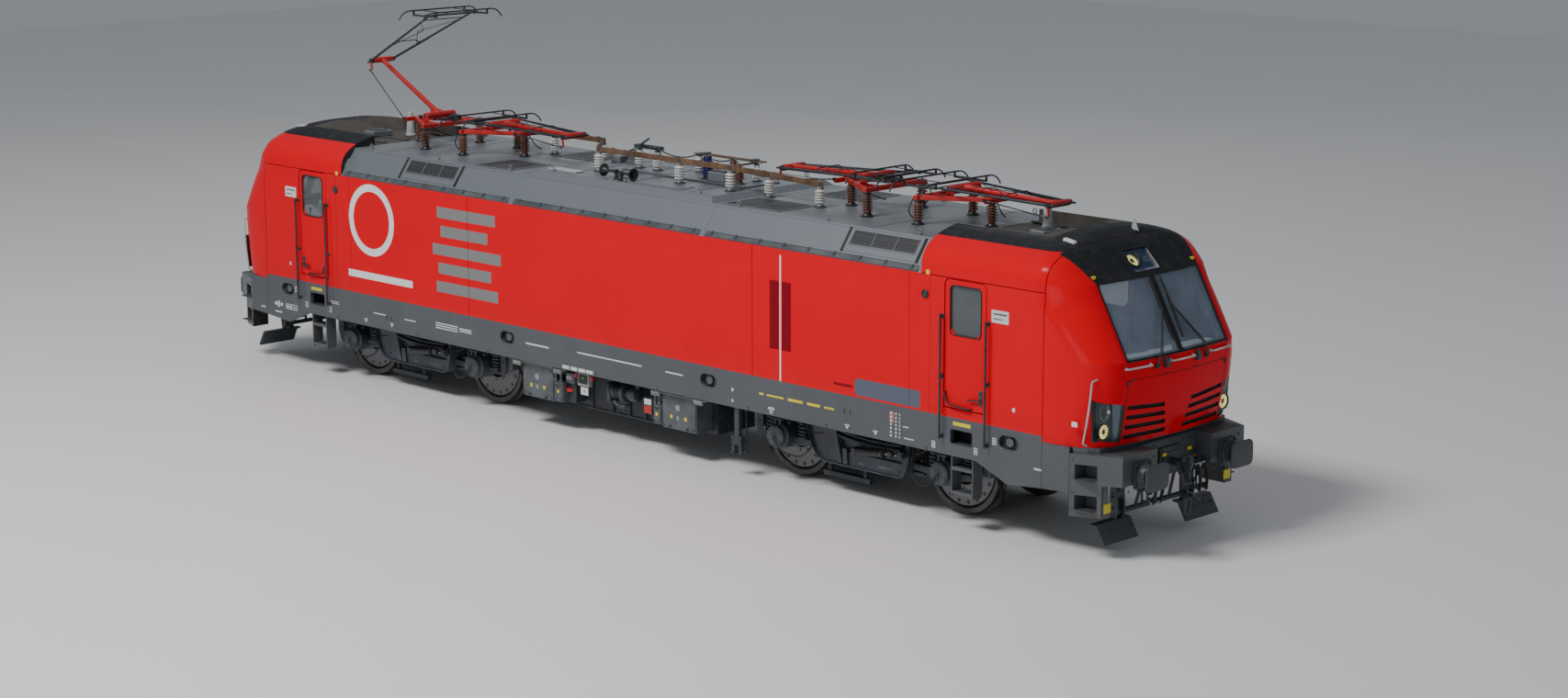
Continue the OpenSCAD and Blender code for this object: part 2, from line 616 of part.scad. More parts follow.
module frame_beam(a, b, w) {
    d = b - a;
    translate([a[0], a[1], frame_z - pivot_z]) rotate([0, 0, atan2(d[1], d[0])])
        translate([0, -w / 2, 0]) cube([norm(d), w, frame_t]);
}
pair_x = -320;                              // insulator pair, from the pivot
single_x = 490;
pair_y = 550;
module pantograph_frame() {
    frame_beam([pair_x, -pair_y - 60], [pair_x, pair_y + 60], 80);
    for (s = [-1, 1]) frame_beam([pair_x, s * pair_y], [single_x + 60, s * 30], 70);
    frame_beam([rod_foot[0], rod_y + 30], [rod_foot[0], -rod_y - 30], 60);
    difference() {
        for (s = [-1, 1]) block([-60, 60], s > 0 ? [tube_half + 10, tube_half + 40] : [-tube_half - 40, -tube_half - 10],
            [frame_z - pivot_z, 45]);
        bar_y(pin_r + pin_gap, -tube_half - 50, tube_half + 50);
    }
    translate([rod_foot[0], 0, rod_foot[2]]) bar_y(10, rod_y - 20, rod_y + 40);
    for (s = [-1, 1]) translate([single_x - 180, s * 140, frame_z - pivot_z]) cylinder(r = 24, h = 110);
    for (s = [-1, 1]) frame_beam([0, s * (tube_half + 25)], [pair_x + 30, s * (tube_half + 25)], 40);
}
module pantograph_frames() color("firebrick") on_rail() for (k = [1 : 4]) at_arm(k) pantograph_frame();
module pantograph_insulators() color("saddlebrown") on_rail() for (k = [1 : 4])
    at_arm(k) for (p = [[pair_x, -pair_y], [pair_x, pair_y], [single_x, 0]])
        translate([p[0], p[1], deck_z - pivot_z]) insulator(insulator_h, 78, 6);

module lower_arm(k) color("red") on_rail() at_arm(k) turned(lower_at(k)) {
    bar_y(50, -tube_half, tube_half);
    bar_y(pin_r, -tube_half - 45, tube_half + 45);
    bar_x(45, 0, lower_len);
    translate([lower_len, 0, 0]) {
        bar_y(45, -knee_half, knee_half);
        bar_y(pin_r, -knee_half - 50, knee_half + 50);
    }
}
module upper_arm(k) color("darkslategray") on_rail() at_arm(k) translate(knee_at(k)) turned(180 - upper_at(k)) {
    lug = [knee_half + 5, knee_half + 45];
    difference() {
        union() {
            both_sides() bar_y(36, lug[0], lug[1]);
            both_sides() bar_to([0, knee_half + 25, 0], [upper_len, head_half, 0], 20);
            translate([0, -lug[1], 0]) turned(104) translate([0, 0, -16]) cube([lever, 24, 32]);
        }
        bar_y(pin_r + pin_gap, -knee_half - 60, knee_half + 60);
    }
    both_sides() translate([0, knee_half + 25, 0]) bar_x(14, -100, -20);
    translate([-80, 0, 0]) bar_y(11, -knee_half - 35, knee_half + 35);
    translate([upper_len, 0, 0]) bar_y(head_pin_r, -head_half - 68, head_half + 68);
}
bow_rise = 80;
strip = [34, 22];
horn_r = 239;
horn_turn = 62;
module bow(half) {
    flat = half - 220;
    block([-strip[0] / 2, strip[0] / 2], [-flat, flat], [bow_rise - strip[1], bow_rise]);
    both_sides() translate([0, flat, bow_rise - 11 - horn_r]) rotate([90, 0, 90])
        rotate([0, 0, 90 - horn_turn]) rotate_extrude(angle = horn_turn) translate([horn_r, 0]) circle(r = 11);
}
module head(k) color("darkslategray") on_rail() at_arm(k) translate(knee_at(k) + upper_len * [-cos(upper_at(k)), 0, sin(upper_at(k))]) {
    difference() {
        both_sides() bar_y(28, head_half + 50, head_half + 70);
        bar_y(head_pin_r + pin_gap, -head_half - 69, head_half + 69);
    }
    both_sides() block([-bow_gap / 2, bow_gap / 2], [head_half + 80, head_half + 100], [-14, 14]);
    both_sides() block([-20, 20], [head_half + 70, head_half + 90], [-26, 26]);
    for (s = [-1, 1]) translate([s * bow_gap / 2, 0, 0]) {
        bow(bow_half(k));
        both_sides() block([-12, 12], [head_half + 76, head_half + 104], [-14, bow_rise - strip[1] / 2]);
    }
}
module coupling_rod(k) color("black") on_rail() at_arm(k) translate(rod_foot) turned(rod_at(k)) {
    difference() {
        union() {
            translate([0, rod_y, 0]) bar_y(22, -12, 0);
            translate([0, rod_y - 6, 0]) bar_x(9, 0, rod_len);
        }
        bar_y(11, rod_y - 60, rod_y + 60);
    }
    translate([rod_len, rod_y, 0]) bar_y(20, -12, 0);
}

// =====================================================================
// Bogies
// =====================================================================
axle_z = wheel_r;
beam_end_z = [axle_z + 325, axle_z + 465];
beam_mid_z = [axle_z - 65, axle_z + 175];
spring_x = 350;
module bogie_frame() {
    mid = wheelbase / 2 - 700;
    difference() {
        union() {
            both_sides() run_y(frame_in, frame_out) polygon([
                [-bogie_end, beam_end_z[1]], [-mid - 200, beam_end_z[1]], [-mid, beam_mid_z[1]], [mid, beam_mid_z[1]],
                [mid + 200, beam_end_z[1]], [bogie_end, beam_end_z[1]], [bogie_end, beam_end_z[0]],
                [mid + 250, beam_end_z[0]], [mid + 50, beam_mid_z[0]], [-mid - 50, beam_mid_z[0]],
                [-mid - 250, beam_end_z[0]], [-bogie_end, beam_end_z[0]]]);
            both_ends() block([bogie_end - 90, bogie_end], [-frame_in, frame_in], [beam_end_z[0], beam_end_z[1]]);
            block([-300, 300], [-frame_in, frame_in], [beam_mid_z[0] + 20, beam_mid_z[1]]);
        }
        translate([0, 0, beam_mid_z[0]]) cylinder(r = pivot_r + 20, h = 400);
    }
    both_ends() both_sides() translate([wheelbase / 2, 0, 0]) difference() {
        union() {
            translate([0, 0, axle_z]) bar_y(190, frame_in - 25, box_out - 60);
            translate([0, 0, axle_z]) bar_y(160, box_out - 60, box_out);
            block([-110, 110], [frame_in - 15, frame_out + 15], [axle_z + 100, axle_z + 205]);
            run_y(frame_in + 20, frame_out - 20) polygon([[-820, axle_z - 40], [0, axle_z - 120], [0, axle_z + 60], [-820, axle_z + 60]]);
        }
        translate([0, 0, axle_z]) bar_y(journal_r + 1, frame_in - 30, box_out - 34);
    }
}
module bogie_frame_front() color("darkslategray") on_rail() translate([bogie_x, 0, 0]) bogie_frame();
module bogie_frame_rear() color("darkslategray") on_rail() translate([-bogie_x, 0, 0]) bogie_frame();

module bogie_springs() both_sides() {
    for (x = [-wheelbase / 2, wheelbase / 2])
        translate([x, (frame_in + frame_out) / 2, axle_z + 205]) cylinder(r = 85, h = beam_end_z[0] - axle_z - 205);
    for (x = [-spring_x, spring_x]) translate([x, (frame_in + frame_out) / 2, beam_mid_z[1]])
        cylinder(r = 88, h = floor_under - seat_gap - beam_mid_z[1]);
}
module bogie_springs_front() color("dimgray") on_rail() translate([bogie_x, 0, 0]) bogie_springs();
module bogie_springs_rear() color("dimgray") on_rail() translate([-bogie_x, 0, 0]) bogie_springs();

motor_r = 330;
module traction_motors() both_ends() {
    translate([wheelbase / 2 - 690, 0, axle_z + 60]) bar_y(motor_r, -wheel_in + 110, wheel_in - 110);
    block([300, wheelbase / 2 - 690], [-250, 250], [beam_mid_z[0] + 40, beam_mid_z[1] - 20]);
}
module traction_motors_front() color("gray") on_rail() translate([bogie_x, 0, 0]) traction_motors();
module traction_motors_rear() color("gray") on_rail() translate([-bogie_x, 0, 0]) traction_motors();

wheel_hub = 150;
module wheelset(k) color("dimgray") on_rail()
    translate([[bogie_x + wheelbase / 2, bogie_x - wheelbase / 2, wheelbase / 2 - bogie_x, -bogie_x - wheelbase / 2][k - 1], 0, axle_z])
    rotate([90, 0, 0]) rotate_extrude($fn = 96) {
        half = [[95, 0], [95, wheel_in - 20], [wheel_hub, wheel_in - 20], [wheel_hub, wheel_in + 55],
            [wheel_r - 85, wheel_in + 55], [wheel_r - 85, wheel_in], [wheel_r + flange_h - 10, wheel_in],
            [wheel_r + flange_h, wheel_in + 10], [wheel_r + flange_h, wheel_in + 22], [wheel_r, wheel_in + 36],
            [wheel_r, wheel_out], [wheel_r - 80, wheel_out], [wheel_r - 85, wheel_in + 85],
            [wheel_hub, wheel_in + 85], [wheel_hub, wheel_out + 30], [journal_r, wheel_out + 60],
            [journal_r, box_out - 40], [0, box_out - 40]];
        n = len(half);
        polygon(concat([for (i = [n - 1 : -1 : 1]) [half[i][0], -half[i][1]]], half));
    }

// =====================================================================
underframe();
sill_left();
sill_right();
headstocks();
side_wall_left();
side_wall_right();
cab_shell_front();
cab_shell_rear();
roof_hood();
roof_trim();
windscreens();
headlamps();
cab_fittings();
door_hinges();
driver_seats();
buffers();
draw_gear();
rail_guards();
door_steps();
handrails();
transformer();
underfloor_boxes();
busbar();
busbar_insulators();
roof_switchgear();
horns_antennas();
pantograph_frames();
pantograph_insulators();
wipers();
bogie_frame_front();
bogie_frame_rear();
bogie_springs_front();
bogie_springs_rear();
traction_motors_front();
traction_motors_rear();
wheelset(1);  // wheelset_1
wheelset(2);  // wheelset_2
wheelset(3);  // wheelset_3
wheelset(4);  // wheelset_4
door_front_left();
door_front_right();
door_rear_left();
door_rear_right();
lower_arm(1);  // lower_arm_1
upper_arm(1);  // upper_arm_1
head(1);  // head_1
coupling_rod(1);  // coupling_rod_1
lower_arm(2);  // lower_arm_2
upper_arm(2);  // upper_arm_2
head(2);  // head_2
coupling_rod(2);  // coupling_rod_2
lower_arm(3);  // lower_arm_3
upper_arm(3);  // upper_arm_3
head(3);  // head_3
coupling_rod(3);  // coupling_rod_3
lower_arm(4);  // lower_arm_4
upper_arm(4);  // upper_arm_4
head(4);  // head_4
coupling_rod(4);  // coupling_rod_4
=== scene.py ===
"""Finished look of a four-axle electric locomotive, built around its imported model.

Every mesh is made in metres in the model's own frame: +X to the front cab, +Y to its left,
+Z up.  Heights in this file are above the rail top, which lies RAIL above the floor plane.
"""

from __future__ import annotations

import json
import logging
import math
from collections.abc import Callable, Iterable, Iterator, Sequence
from contextlib import contextmanager
from dataclasses import dataclass, field
from enum import Enum

import bmesh
import bpy
from mathutils import Matrix, Vector
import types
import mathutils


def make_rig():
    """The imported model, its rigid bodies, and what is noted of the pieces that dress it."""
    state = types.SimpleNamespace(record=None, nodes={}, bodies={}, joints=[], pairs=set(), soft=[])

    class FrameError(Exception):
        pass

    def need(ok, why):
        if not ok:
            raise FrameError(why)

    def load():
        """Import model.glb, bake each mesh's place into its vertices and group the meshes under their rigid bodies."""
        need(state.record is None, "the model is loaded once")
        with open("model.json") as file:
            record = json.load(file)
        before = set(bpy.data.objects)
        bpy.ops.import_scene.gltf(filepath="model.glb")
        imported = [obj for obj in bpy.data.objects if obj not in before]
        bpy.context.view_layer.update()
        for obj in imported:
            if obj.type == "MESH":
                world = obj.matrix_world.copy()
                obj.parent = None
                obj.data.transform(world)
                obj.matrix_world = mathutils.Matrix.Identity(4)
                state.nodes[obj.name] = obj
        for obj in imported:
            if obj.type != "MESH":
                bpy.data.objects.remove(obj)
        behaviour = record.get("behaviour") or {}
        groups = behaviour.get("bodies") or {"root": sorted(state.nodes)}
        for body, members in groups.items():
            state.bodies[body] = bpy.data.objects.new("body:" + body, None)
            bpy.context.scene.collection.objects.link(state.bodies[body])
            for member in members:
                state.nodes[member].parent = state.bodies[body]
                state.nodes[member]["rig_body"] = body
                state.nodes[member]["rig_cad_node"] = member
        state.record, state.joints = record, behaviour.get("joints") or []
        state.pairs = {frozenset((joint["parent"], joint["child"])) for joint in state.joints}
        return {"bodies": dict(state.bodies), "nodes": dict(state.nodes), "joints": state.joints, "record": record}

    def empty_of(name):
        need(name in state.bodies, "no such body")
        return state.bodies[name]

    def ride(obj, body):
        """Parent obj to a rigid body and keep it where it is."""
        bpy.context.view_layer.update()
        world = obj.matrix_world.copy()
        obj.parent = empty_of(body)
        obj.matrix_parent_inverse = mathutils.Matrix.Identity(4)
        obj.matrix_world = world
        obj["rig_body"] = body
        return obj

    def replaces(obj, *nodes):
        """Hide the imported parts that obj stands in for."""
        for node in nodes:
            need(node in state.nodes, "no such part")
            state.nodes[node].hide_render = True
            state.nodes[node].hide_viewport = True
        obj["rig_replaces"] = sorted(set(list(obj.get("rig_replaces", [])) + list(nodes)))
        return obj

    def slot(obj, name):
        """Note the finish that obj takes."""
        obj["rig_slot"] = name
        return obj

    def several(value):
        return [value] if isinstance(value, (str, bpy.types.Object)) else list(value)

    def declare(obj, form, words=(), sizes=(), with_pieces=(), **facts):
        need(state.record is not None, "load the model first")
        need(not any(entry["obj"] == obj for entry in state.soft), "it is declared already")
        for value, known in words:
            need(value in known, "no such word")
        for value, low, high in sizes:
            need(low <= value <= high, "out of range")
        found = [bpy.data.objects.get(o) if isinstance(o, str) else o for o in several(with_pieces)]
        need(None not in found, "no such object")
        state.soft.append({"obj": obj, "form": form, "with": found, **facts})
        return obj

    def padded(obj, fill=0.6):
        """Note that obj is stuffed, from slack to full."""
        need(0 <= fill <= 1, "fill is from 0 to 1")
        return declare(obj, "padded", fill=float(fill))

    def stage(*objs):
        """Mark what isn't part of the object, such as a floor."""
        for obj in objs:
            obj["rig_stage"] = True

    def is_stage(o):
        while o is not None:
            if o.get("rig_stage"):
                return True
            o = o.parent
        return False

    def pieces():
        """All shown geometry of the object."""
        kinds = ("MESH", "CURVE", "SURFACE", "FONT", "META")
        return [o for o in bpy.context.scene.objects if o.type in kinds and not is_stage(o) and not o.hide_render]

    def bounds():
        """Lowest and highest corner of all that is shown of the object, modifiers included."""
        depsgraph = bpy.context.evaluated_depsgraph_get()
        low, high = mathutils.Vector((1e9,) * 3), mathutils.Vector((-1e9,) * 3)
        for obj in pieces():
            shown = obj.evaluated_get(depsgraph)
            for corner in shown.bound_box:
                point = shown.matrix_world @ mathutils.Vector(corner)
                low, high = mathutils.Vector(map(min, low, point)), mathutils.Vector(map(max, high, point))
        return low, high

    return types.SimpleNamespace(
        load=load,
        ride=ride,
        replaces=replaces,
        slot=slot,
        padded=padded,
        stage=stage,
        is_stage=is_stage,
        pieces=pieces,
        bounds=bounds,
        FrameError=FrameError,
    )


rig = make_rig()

log = logging.getLogger("locomotive")

Point = tuple[float, float, float]
Flat = tuple[float, float]
Rgb = tuple[float, float, float]

# Main sizes in metres: the wheels' flanges below the rail, the body, the roof and the doors.
RAIL = 0.030
HALF_W = 1.506
WALL_TOP = 3.280
SILL_TOP = 1.470
CAB_X = 6.095
PANEL_X = 8.142
SKIRT_X = 8.585
DECK_Z = 3.690
DECK_HALF = 1.210
MIDDLE_Z = 3.765
DOOR_X = 6.510
DOOR_W = 0.690

# How far a painted mark stands proud of the wall, and how deep its back lies in it.
FILM = 0.0012
FILM_BACK = 0.002


# ---------------------------------------------------------------------------
# Shader tools
# ---------------------------------------------------------------------------
@dataclass(frozen=True)
class Sock:
    """A shader output that takes part in Python expressions on numbers."""

    paint: "Paint"
    out: bpy.types.NodeSocket

    def maths(self, operation: str, *others: "Sock | float", first: bool = True) -> "Sock":
        """One Math node on this value.

        Args:
            operation: the Math node's operation.
            others: the other inputs.
            first: whether this value is the first input.

        Returns:
            The node's output.
        """
        order = [self, *others] if first else [*others, self]
        return self.paint.node("ShaderNodeMath", {"operation": operation}, dict(enumerate(order)))

    def __add__(self, other: "Sock | float") -> "Sock":
        """Sum."""
        return self.maths("ADD", other)

    __radd__ = __add__

    def __sub__(self, other: "Sock | float") -> "Sock":
        """Difference."""
        return self.maths("SUBTRACT", other)

    def __rsub__(self, other: float) -> "Sock":
        """Difference from a number."""
        return self.maths("SUBTRACT", other, first=False)

    def __mul__(self, other: "Sock | float") -> "Sock":
        """Product."""
        return self.maths("MULTIPLY", other)

    __rmul__ = __mul__

    def __truediv__(self, other: "Sock | float") -> "Sock":
        """Quotient."""
        return self.maths("DIVIDE", other)

    def __pow__(self, other: float) -> "Sock":
        """Power."""
        return self.maths("POWER", other)

    def __abs__(self) -> "Sock":
        """Size without sign."""
        return self.maths("ABSOLUTE")

    def low(self, other: "Sock | float") -> "Sock":
        """The smaller of two values."""
        return self.maths("MINIMUM", other)

    def high(self, other: "Sock | float") -> "Sock":
        """The larger of two values."""
        return self.maths("MAXIMUM", other)

    def wrap(self, length: float) -> "Sock":
        """What is left after whole lengths, from 0 to length."""
        return self.maths("WRAP", length, 0.0)

    def ease(self, lo: float, hi: float) -> "Sock":
        """0 below lo and 1 above hi, smooth between; lo may be the larger."""
        return self.paint.node(
            "ShaderNodeMapRange",
            {"interpolation_type": "SMOOTHSTEP"},
            {0: self, 1: min(lo, hi), 2: max(lo, hi), 3: float(lo > hi), 4: float(hi >= lo)},
        )

    def over(self, edge: float) -> "Sock":
        """1 above an edge, else 0."""
        return self.maths("GREATER_THAN", edge)

    def under(self, edge: float) -> "Sock":
        """1 below an edge, else 0."""
        return self.maths("LESS_THAN", edge)

    def within(self, lo: float, hi: float) -> "Sock":
        """1 between two edges, else 0."""
        return self.over(lo) * self.under(hi)


class Paint:
    """One material while its nodes are made."""

    def __init__(self, name: str) -> None:
        """Start an empty material.

        Args:
            name: the material's name.
        """
        self.material = bpy.data.materials.new(name)
        self.material.use_nodes = True
        self.tree = self.material.node_tree
        self.tree.nodes.clear()
        self._place: tuple[Sock, Sock, Sock] | None = None

    def node(
        self, kind: str, settings: dict[str, object], values: dict[object, object], out: object = 0
    ) -> Sock:
        """Make one node.

        Args:
            kind: the node's type.
            settings: properties, set before the sockets.
            values: a number, colour or Sock for each input, by name or place.
            out: the output wanted.

        Returns:
            That output.
        """
        made = self.tree.nodes.new(kind)
        for key, value in settings.items():
            setattr(made, key, value)
        for key, value in values.items():
            if isinstance(value, Sock):
                self.tree.links.new(value.out, made.inputs[key])
            else:
                made.inputs[key].default_value = value
        return Sock(self, made.outputs[out])

    def coords(self) -> Sock:
        """Object coordinates as a vector."""
        return self.node("ShaderNodeTexCoord", {}, {}, "Object")

    def place(self) -> tuple[Sock, Sock, Sock]:
        """X, Y and the height above the rail."""
        if self._place is None:
            where = self.coords()
            x, y, z = (self.node("ShaderNodeSeparateXYZ", {}, {0: where}, i) for i in range(3))
            self._place = (x, y, z - RAIL)
        return self._place

    def noise(self, scale: float, stretch: Point = (1, 1, 1), detail: float = 3.0, rough: float = 0.55) -> Sock:
        """Cloudy noise from 0 to 1.

        Args:
            scale: features per metre.
            stretch: scale along X, Y and Z.
            detail: octaves.
            rough: how strong the fine octaves are.

        Returns:
            The noise value.
        """
        where = self.node("ShaderNodeMapping", {}, {"Vector": self.coords(), "Scale": stretch})
        values = {"Vector": where, "Scale": scale, "Detail": detail, "Roughness": rough}
        return self.node("ShaderNodeTexNoise", {}, values, 0)

    def blend(self, share: Sock | float, base: Sock | Rgb, other: Sock | Rgb) -> Sock:
        """Mix two colours.

        Args:
            share: how much of the other colour shows.
            base: the colour at 0.
            other: the colour at 1.

        Returns:
            The mixed colour.
        """
        wide = [c if isinstance(c, Sock) else (*c, 1.0) for c in (base, other)]
        return self.node("ShaderNodeMix", {"data_type": "RGBA"}, {0: share, 6: wide[0], 7: wide[1]}, 2)

    def bump(self, height: Sock, depth: float) -> Sock:
        """A surface normal from a height of 0 to 1 that is depth metres high."""
        return self.node("ShaderNodeBump", {}, {"Strength": 1.0, "Distance": depth, "Height": height})

    def finish(
        self, colour: Sock | Rgb, rough: Sock | float, normal: Sock | None = None, **fixed: float
    ) -> bpy.types.Material:
        """Close the material with its surface shader.

        Args:
            colour: base colour.
            rough: roughness.
            normal: a Bump node's output.
            fixed: other sockets with underscores for spaces, such as coat_weight.

        Returns:
            The material.
        """
        values: dict[object, object] = {
            "Base Color": colour if isinstance(colour, Sock) else (*colour, 1.0),
            "Roughness": rough,
        }
        if normal is not None:
            values["Normal"] = normal
        for key, value in fixed.items():
            values[key.replace("_", " ").title().replace("Ior", "IOR")] = value
        shader = self.node("ShaderNodeBsdfPrincipled", {}, values)
        end = self.tree.nodes.new("ShaderNodeOutputMaterial")
        self.tree.links.new(shader.out, end.inputs["Surface"])
        return self.material


# ---------------------------------------------------------------------------
# Finishes
# ---------------------------------------------------------------------------
@dataclass(frozen=True)
class Finish:
    """A plain painted, metal, rubber or moulded surface with mottling, grain and dust, and an optional glow: lamp
    light, or painted light on a part that is no lamp.
    """

    name: str
    slot: str
    colour: Rgb
    rough: float = 0.5
    metal: float = 0.0
    coat: float = 0.0
    mottle: float = 0.25
    mottle_scale: float = 3.0
    grain_scale: float = 90.0
    grain_depth: float = 0.0004
    dust: float = 0.25
    dust_colour: Rgb = (0.16, 0.135, 0.11)
    # Strength of the glow: lamp light, or painted light on a part that is no lamp.
    glow: float = 0.0

    def build(self) -> bpy.types.Material:
        """Make the material.

        Returns:
            The material.
        """
        paint = Paint(self.name)
        cloud = paint.noise(self.mottle_scale, detail=4.0)
        fine = paint.noise(self.grain_scale, detail=2.0)
        dark = tuple(c * (1 - self.mottle) for c in self.colour)
        light = tuple(min(1.0, c * (1 + self.mottle) + 0.004) for c in self.colour)
        shade = paint.blend(cloud.ease(0.3, 0.7), dark, light)
        speck = (paint.noise(self.mottle_scale * 4, detail=5.0, rough=0.7) * 0.7 + fine * 0.3).ease(0.48, 0.72)
        shade = paint.blend(speck * self.dust, shade, self.dust_colour)
        rough = (cloud * 0.18 + fine * 0.08 + (self.rough - 0.13) + speck * (0.25 * self.dust)).high(0.04)
        normal = paint.bump(fine, self.grain_depth)
        extra: dict[str, object] = {"metallic": self.metal, "coat_weight": self.coat}
        if self.glow:
            extra["emission_color"] = (*self.colour, 1.0)
            extra["emission_strength"] = self.glow
        return paint.finish(shade, rough, normal, **extra)


@dataclass(frozen=True)
class BodyRed:
    """Gloss red of the side walls and doors, with the plain markings of each side."""

    name: str = "body_red"
    slot: str = "red_paint"
    red: Rgb = (0.74, 0.0, 0.012)
    white: Rgb = (0.78, 0.80, 0.82)
    grey: Rgb = (0.22, 0.22, 0.225)
    plate: Rgb = (0.105, 0.125, 0.17)
    dark: Rgb = (0.22, 0.004, 0.012)

    def build(self) -> bpy.types.Material:
        """Make the material.

        Returns:
            The material.
        """
        paint = Paint(self.name)
        x, y, z = paint.place()
        side = y.ease(0.01, -0.01) * 2.0 - 1.0
        along = x * side
        cloud = paint.noise(0.9, detail=5.0)
        streak = paint.noise(5.0, (1.6, 1.6, 0.12), detail=4.0)
        shade = paint.blend(cloud.ease(0.25, 0.75) * 0.35, self.red, tuple(c * 0.86 for c in self.red))
        shade = paint.blend(streak.ease(0.55, 0.8) * 0.04, shade, (0.28, 0.05, 0.05))
        on_wall = abs(y).over(HALF_W - 0.020) * abs(x).under(CAB_X)
        for mask, colour in self.marks(paint, along, z):
            shade = paint.blend(mask * on_wall, shade, colour)
        foot = z.ease(SILL_TOP + 0.5, SILL_TOP) * (streak * 0.5 + 0.25)
        shade = paint.blend(foot * 0.10, shade, (0.20, 0.10, 0.08))
        seam = self.seams(x, z)
        shade = paint.blend(seam * 0.85, shade, (0.03, 0.006, 0.006))
        rough = streak * 0.04 + cloud * 0.08 + 0.19 + foot * 0.1
        normal = paint.bump(1.0 - seam + paint.noise(1.4, detail=1.0) * 0.35, 0.004)
        return paint.finish(
            shade, rough, normal, coat_weight=0.03, coat_roughness=0.12, specular_ior_level=0.05
        )

    def seams(self, x: Sock, z: Sock) -> Sock:
        """Fine upright joints between the wall sheets."""
        return abs(abs(x) - 3.02).under(0.004).high(abs(abs(x) - 5.90).under(0.004) * 0.5)

    def marks(self, paint: Paint, x: Sock, z: Sock) -> Iterator[tuple[Sock, Rgb]]:
        """Yield each plain marking of a side as a mask and its colour.

        Args:
            paint: the material under way.
            x: the place along the body.
            z: the height above the rail.

        Returns:
            Pairs of a mask and a colour.
        """
        ring = ((x + 5.36) ** 2.0 + (z - 2.655) ** 2.0) ** 0.5
        yield abs(ring - 0.505).under(0.058), self.white
        for i, half in enumerate((0.72, 0.62, 0.80, 0.55, 0.68)):
            middle = 1.83 + i * 0.285
            yield (abs(x + 3.06 + 0.05 * (i % 2)) - half).high(abs(z - middle) - 0.085).under(0.0), self.grey
        yield (abs(x + 5.17) - 0.80).high(abs(z - 1.77) - 0.055).under(0.0), self.white
        from_pole = abs(x - 3.555)
        yield (from_pole - 0.014).high(abs(z - 2.335) - 0.865).under(0.0), self.white
        yield (from_pole - 0.20).high(abs(z - 2.37) - 0.47).under(0.0) * from_pole.over(0.03), self.dark
        corner = ((abs(x - 5.586) - 0.590).high(0.0) ** 2.0 + (abs(z - 1.612) - 0.055).high(0.0) ** 2.0) ** 0.5
        yield corner.under(0.060), self.plate
        yield (abs(x - 4.72) - 0.17).high(abs(z - 1.60) - 0.018).under(0.0), self.dark


@dataclass(frozen=True)
class CabRed:
    """Red of a cab with its black roof and brow, panel joints and the nose hatch."""

    name: str = "cab_red"
    slot: str = "red_paint"
    red: Rgb = (0.74, 0.0, 0.012)
    black: Rgb = (0.018, 0.020, 0.024)

    def build(self) -> bpy.types.Material:
        """Make the material.

        Returns:
            The material.
        """
        paint = Paint(self.name)
        x, y, z = paint.place()
        ax, ay = abs(x), abs(y)
        cloud = paint.noise(1.1, detail=5.0)
        fine = paint.noise(6.0, detail=5.0, rough=0.65)
        shade = paint.blend(cloud.ease(0.25, 0.75) * 0.35, self.red, tuple(c * 0.86 for c in self.red))
        black = paint.blend(fine.ease(0.45, 0.75) * 0.5, self.black, (0.055, 0.052, 0.05))
        brow = (1.022 + (z - 3.37) * 0.46 - ay).ease(-0.003, 0.003) * z.over(3.372) * ax.over(8.10)
        top = (z - 3.745).ease(-0.003, 0.003) * ax.under(PANEL_X + 0.002)
        shade = paint.blend(brow.high(top), shade, black)
        frame = (ay - 1.03).under(0.0) * z.within(2.462, 3.40) * ax.over(8.5)
        shade = paint.blend(frame, shade, (0.02, 0.022, 0.026))
        seam = self.seams(ax, ay, z)
        shade = paint.blend(seam * 0.9, shade, (0.012, 0.006, 0.006))
        grime = z.ease(1.9, 1.4) * fine.ease(0.35, 0.7)
        shade = paint.blend(grime * 0.12, shade, (0.10, 0.06, 0.05))
        rough = cloud * 0.10 + 0.15 + fine * 0.06 + brow.high(top) * 0.34
        normal = paint.bump(1.0 - seam + cloud * 0.12, 0.004)
        return paint.finish(
            shade, rough, normal, coat_weight=0.07, coat_roughness=0.10, specular_ior_level=0.06
        )

    def seams(self, ax: Sock, ay: Sock, z: Sock) -> Sock:
        """Joints: behind the nose, along the shoulder, round the hatch and the nose panel.

        Args:
            ax: the distance from the middle along.
            ay: the distance from the middle across.
            z: the height above the rail.

        Returns:
            The mask of the joints.
        """
        line = 0.0045
        joint = abs(ax - PANEL_X).under(line)
        shoulder = abs(z - WALL_TOP).under(line) * ax.within(CAB_X, PANEL_X)
        hatch = abs(z - 2.235).under(line) * ay.under(1.0) * ax.over(8.6)
        sides = abs(ay - 1.0).under(line) * z.under(2.235) * ax.over(8.6)
        rear = abs(ax - 6.255).under(line * 0.6) * z.under(WALL_TOP)
        return joint.high(shoulder).high(hatch).high(sides).high(rear * 0.6)


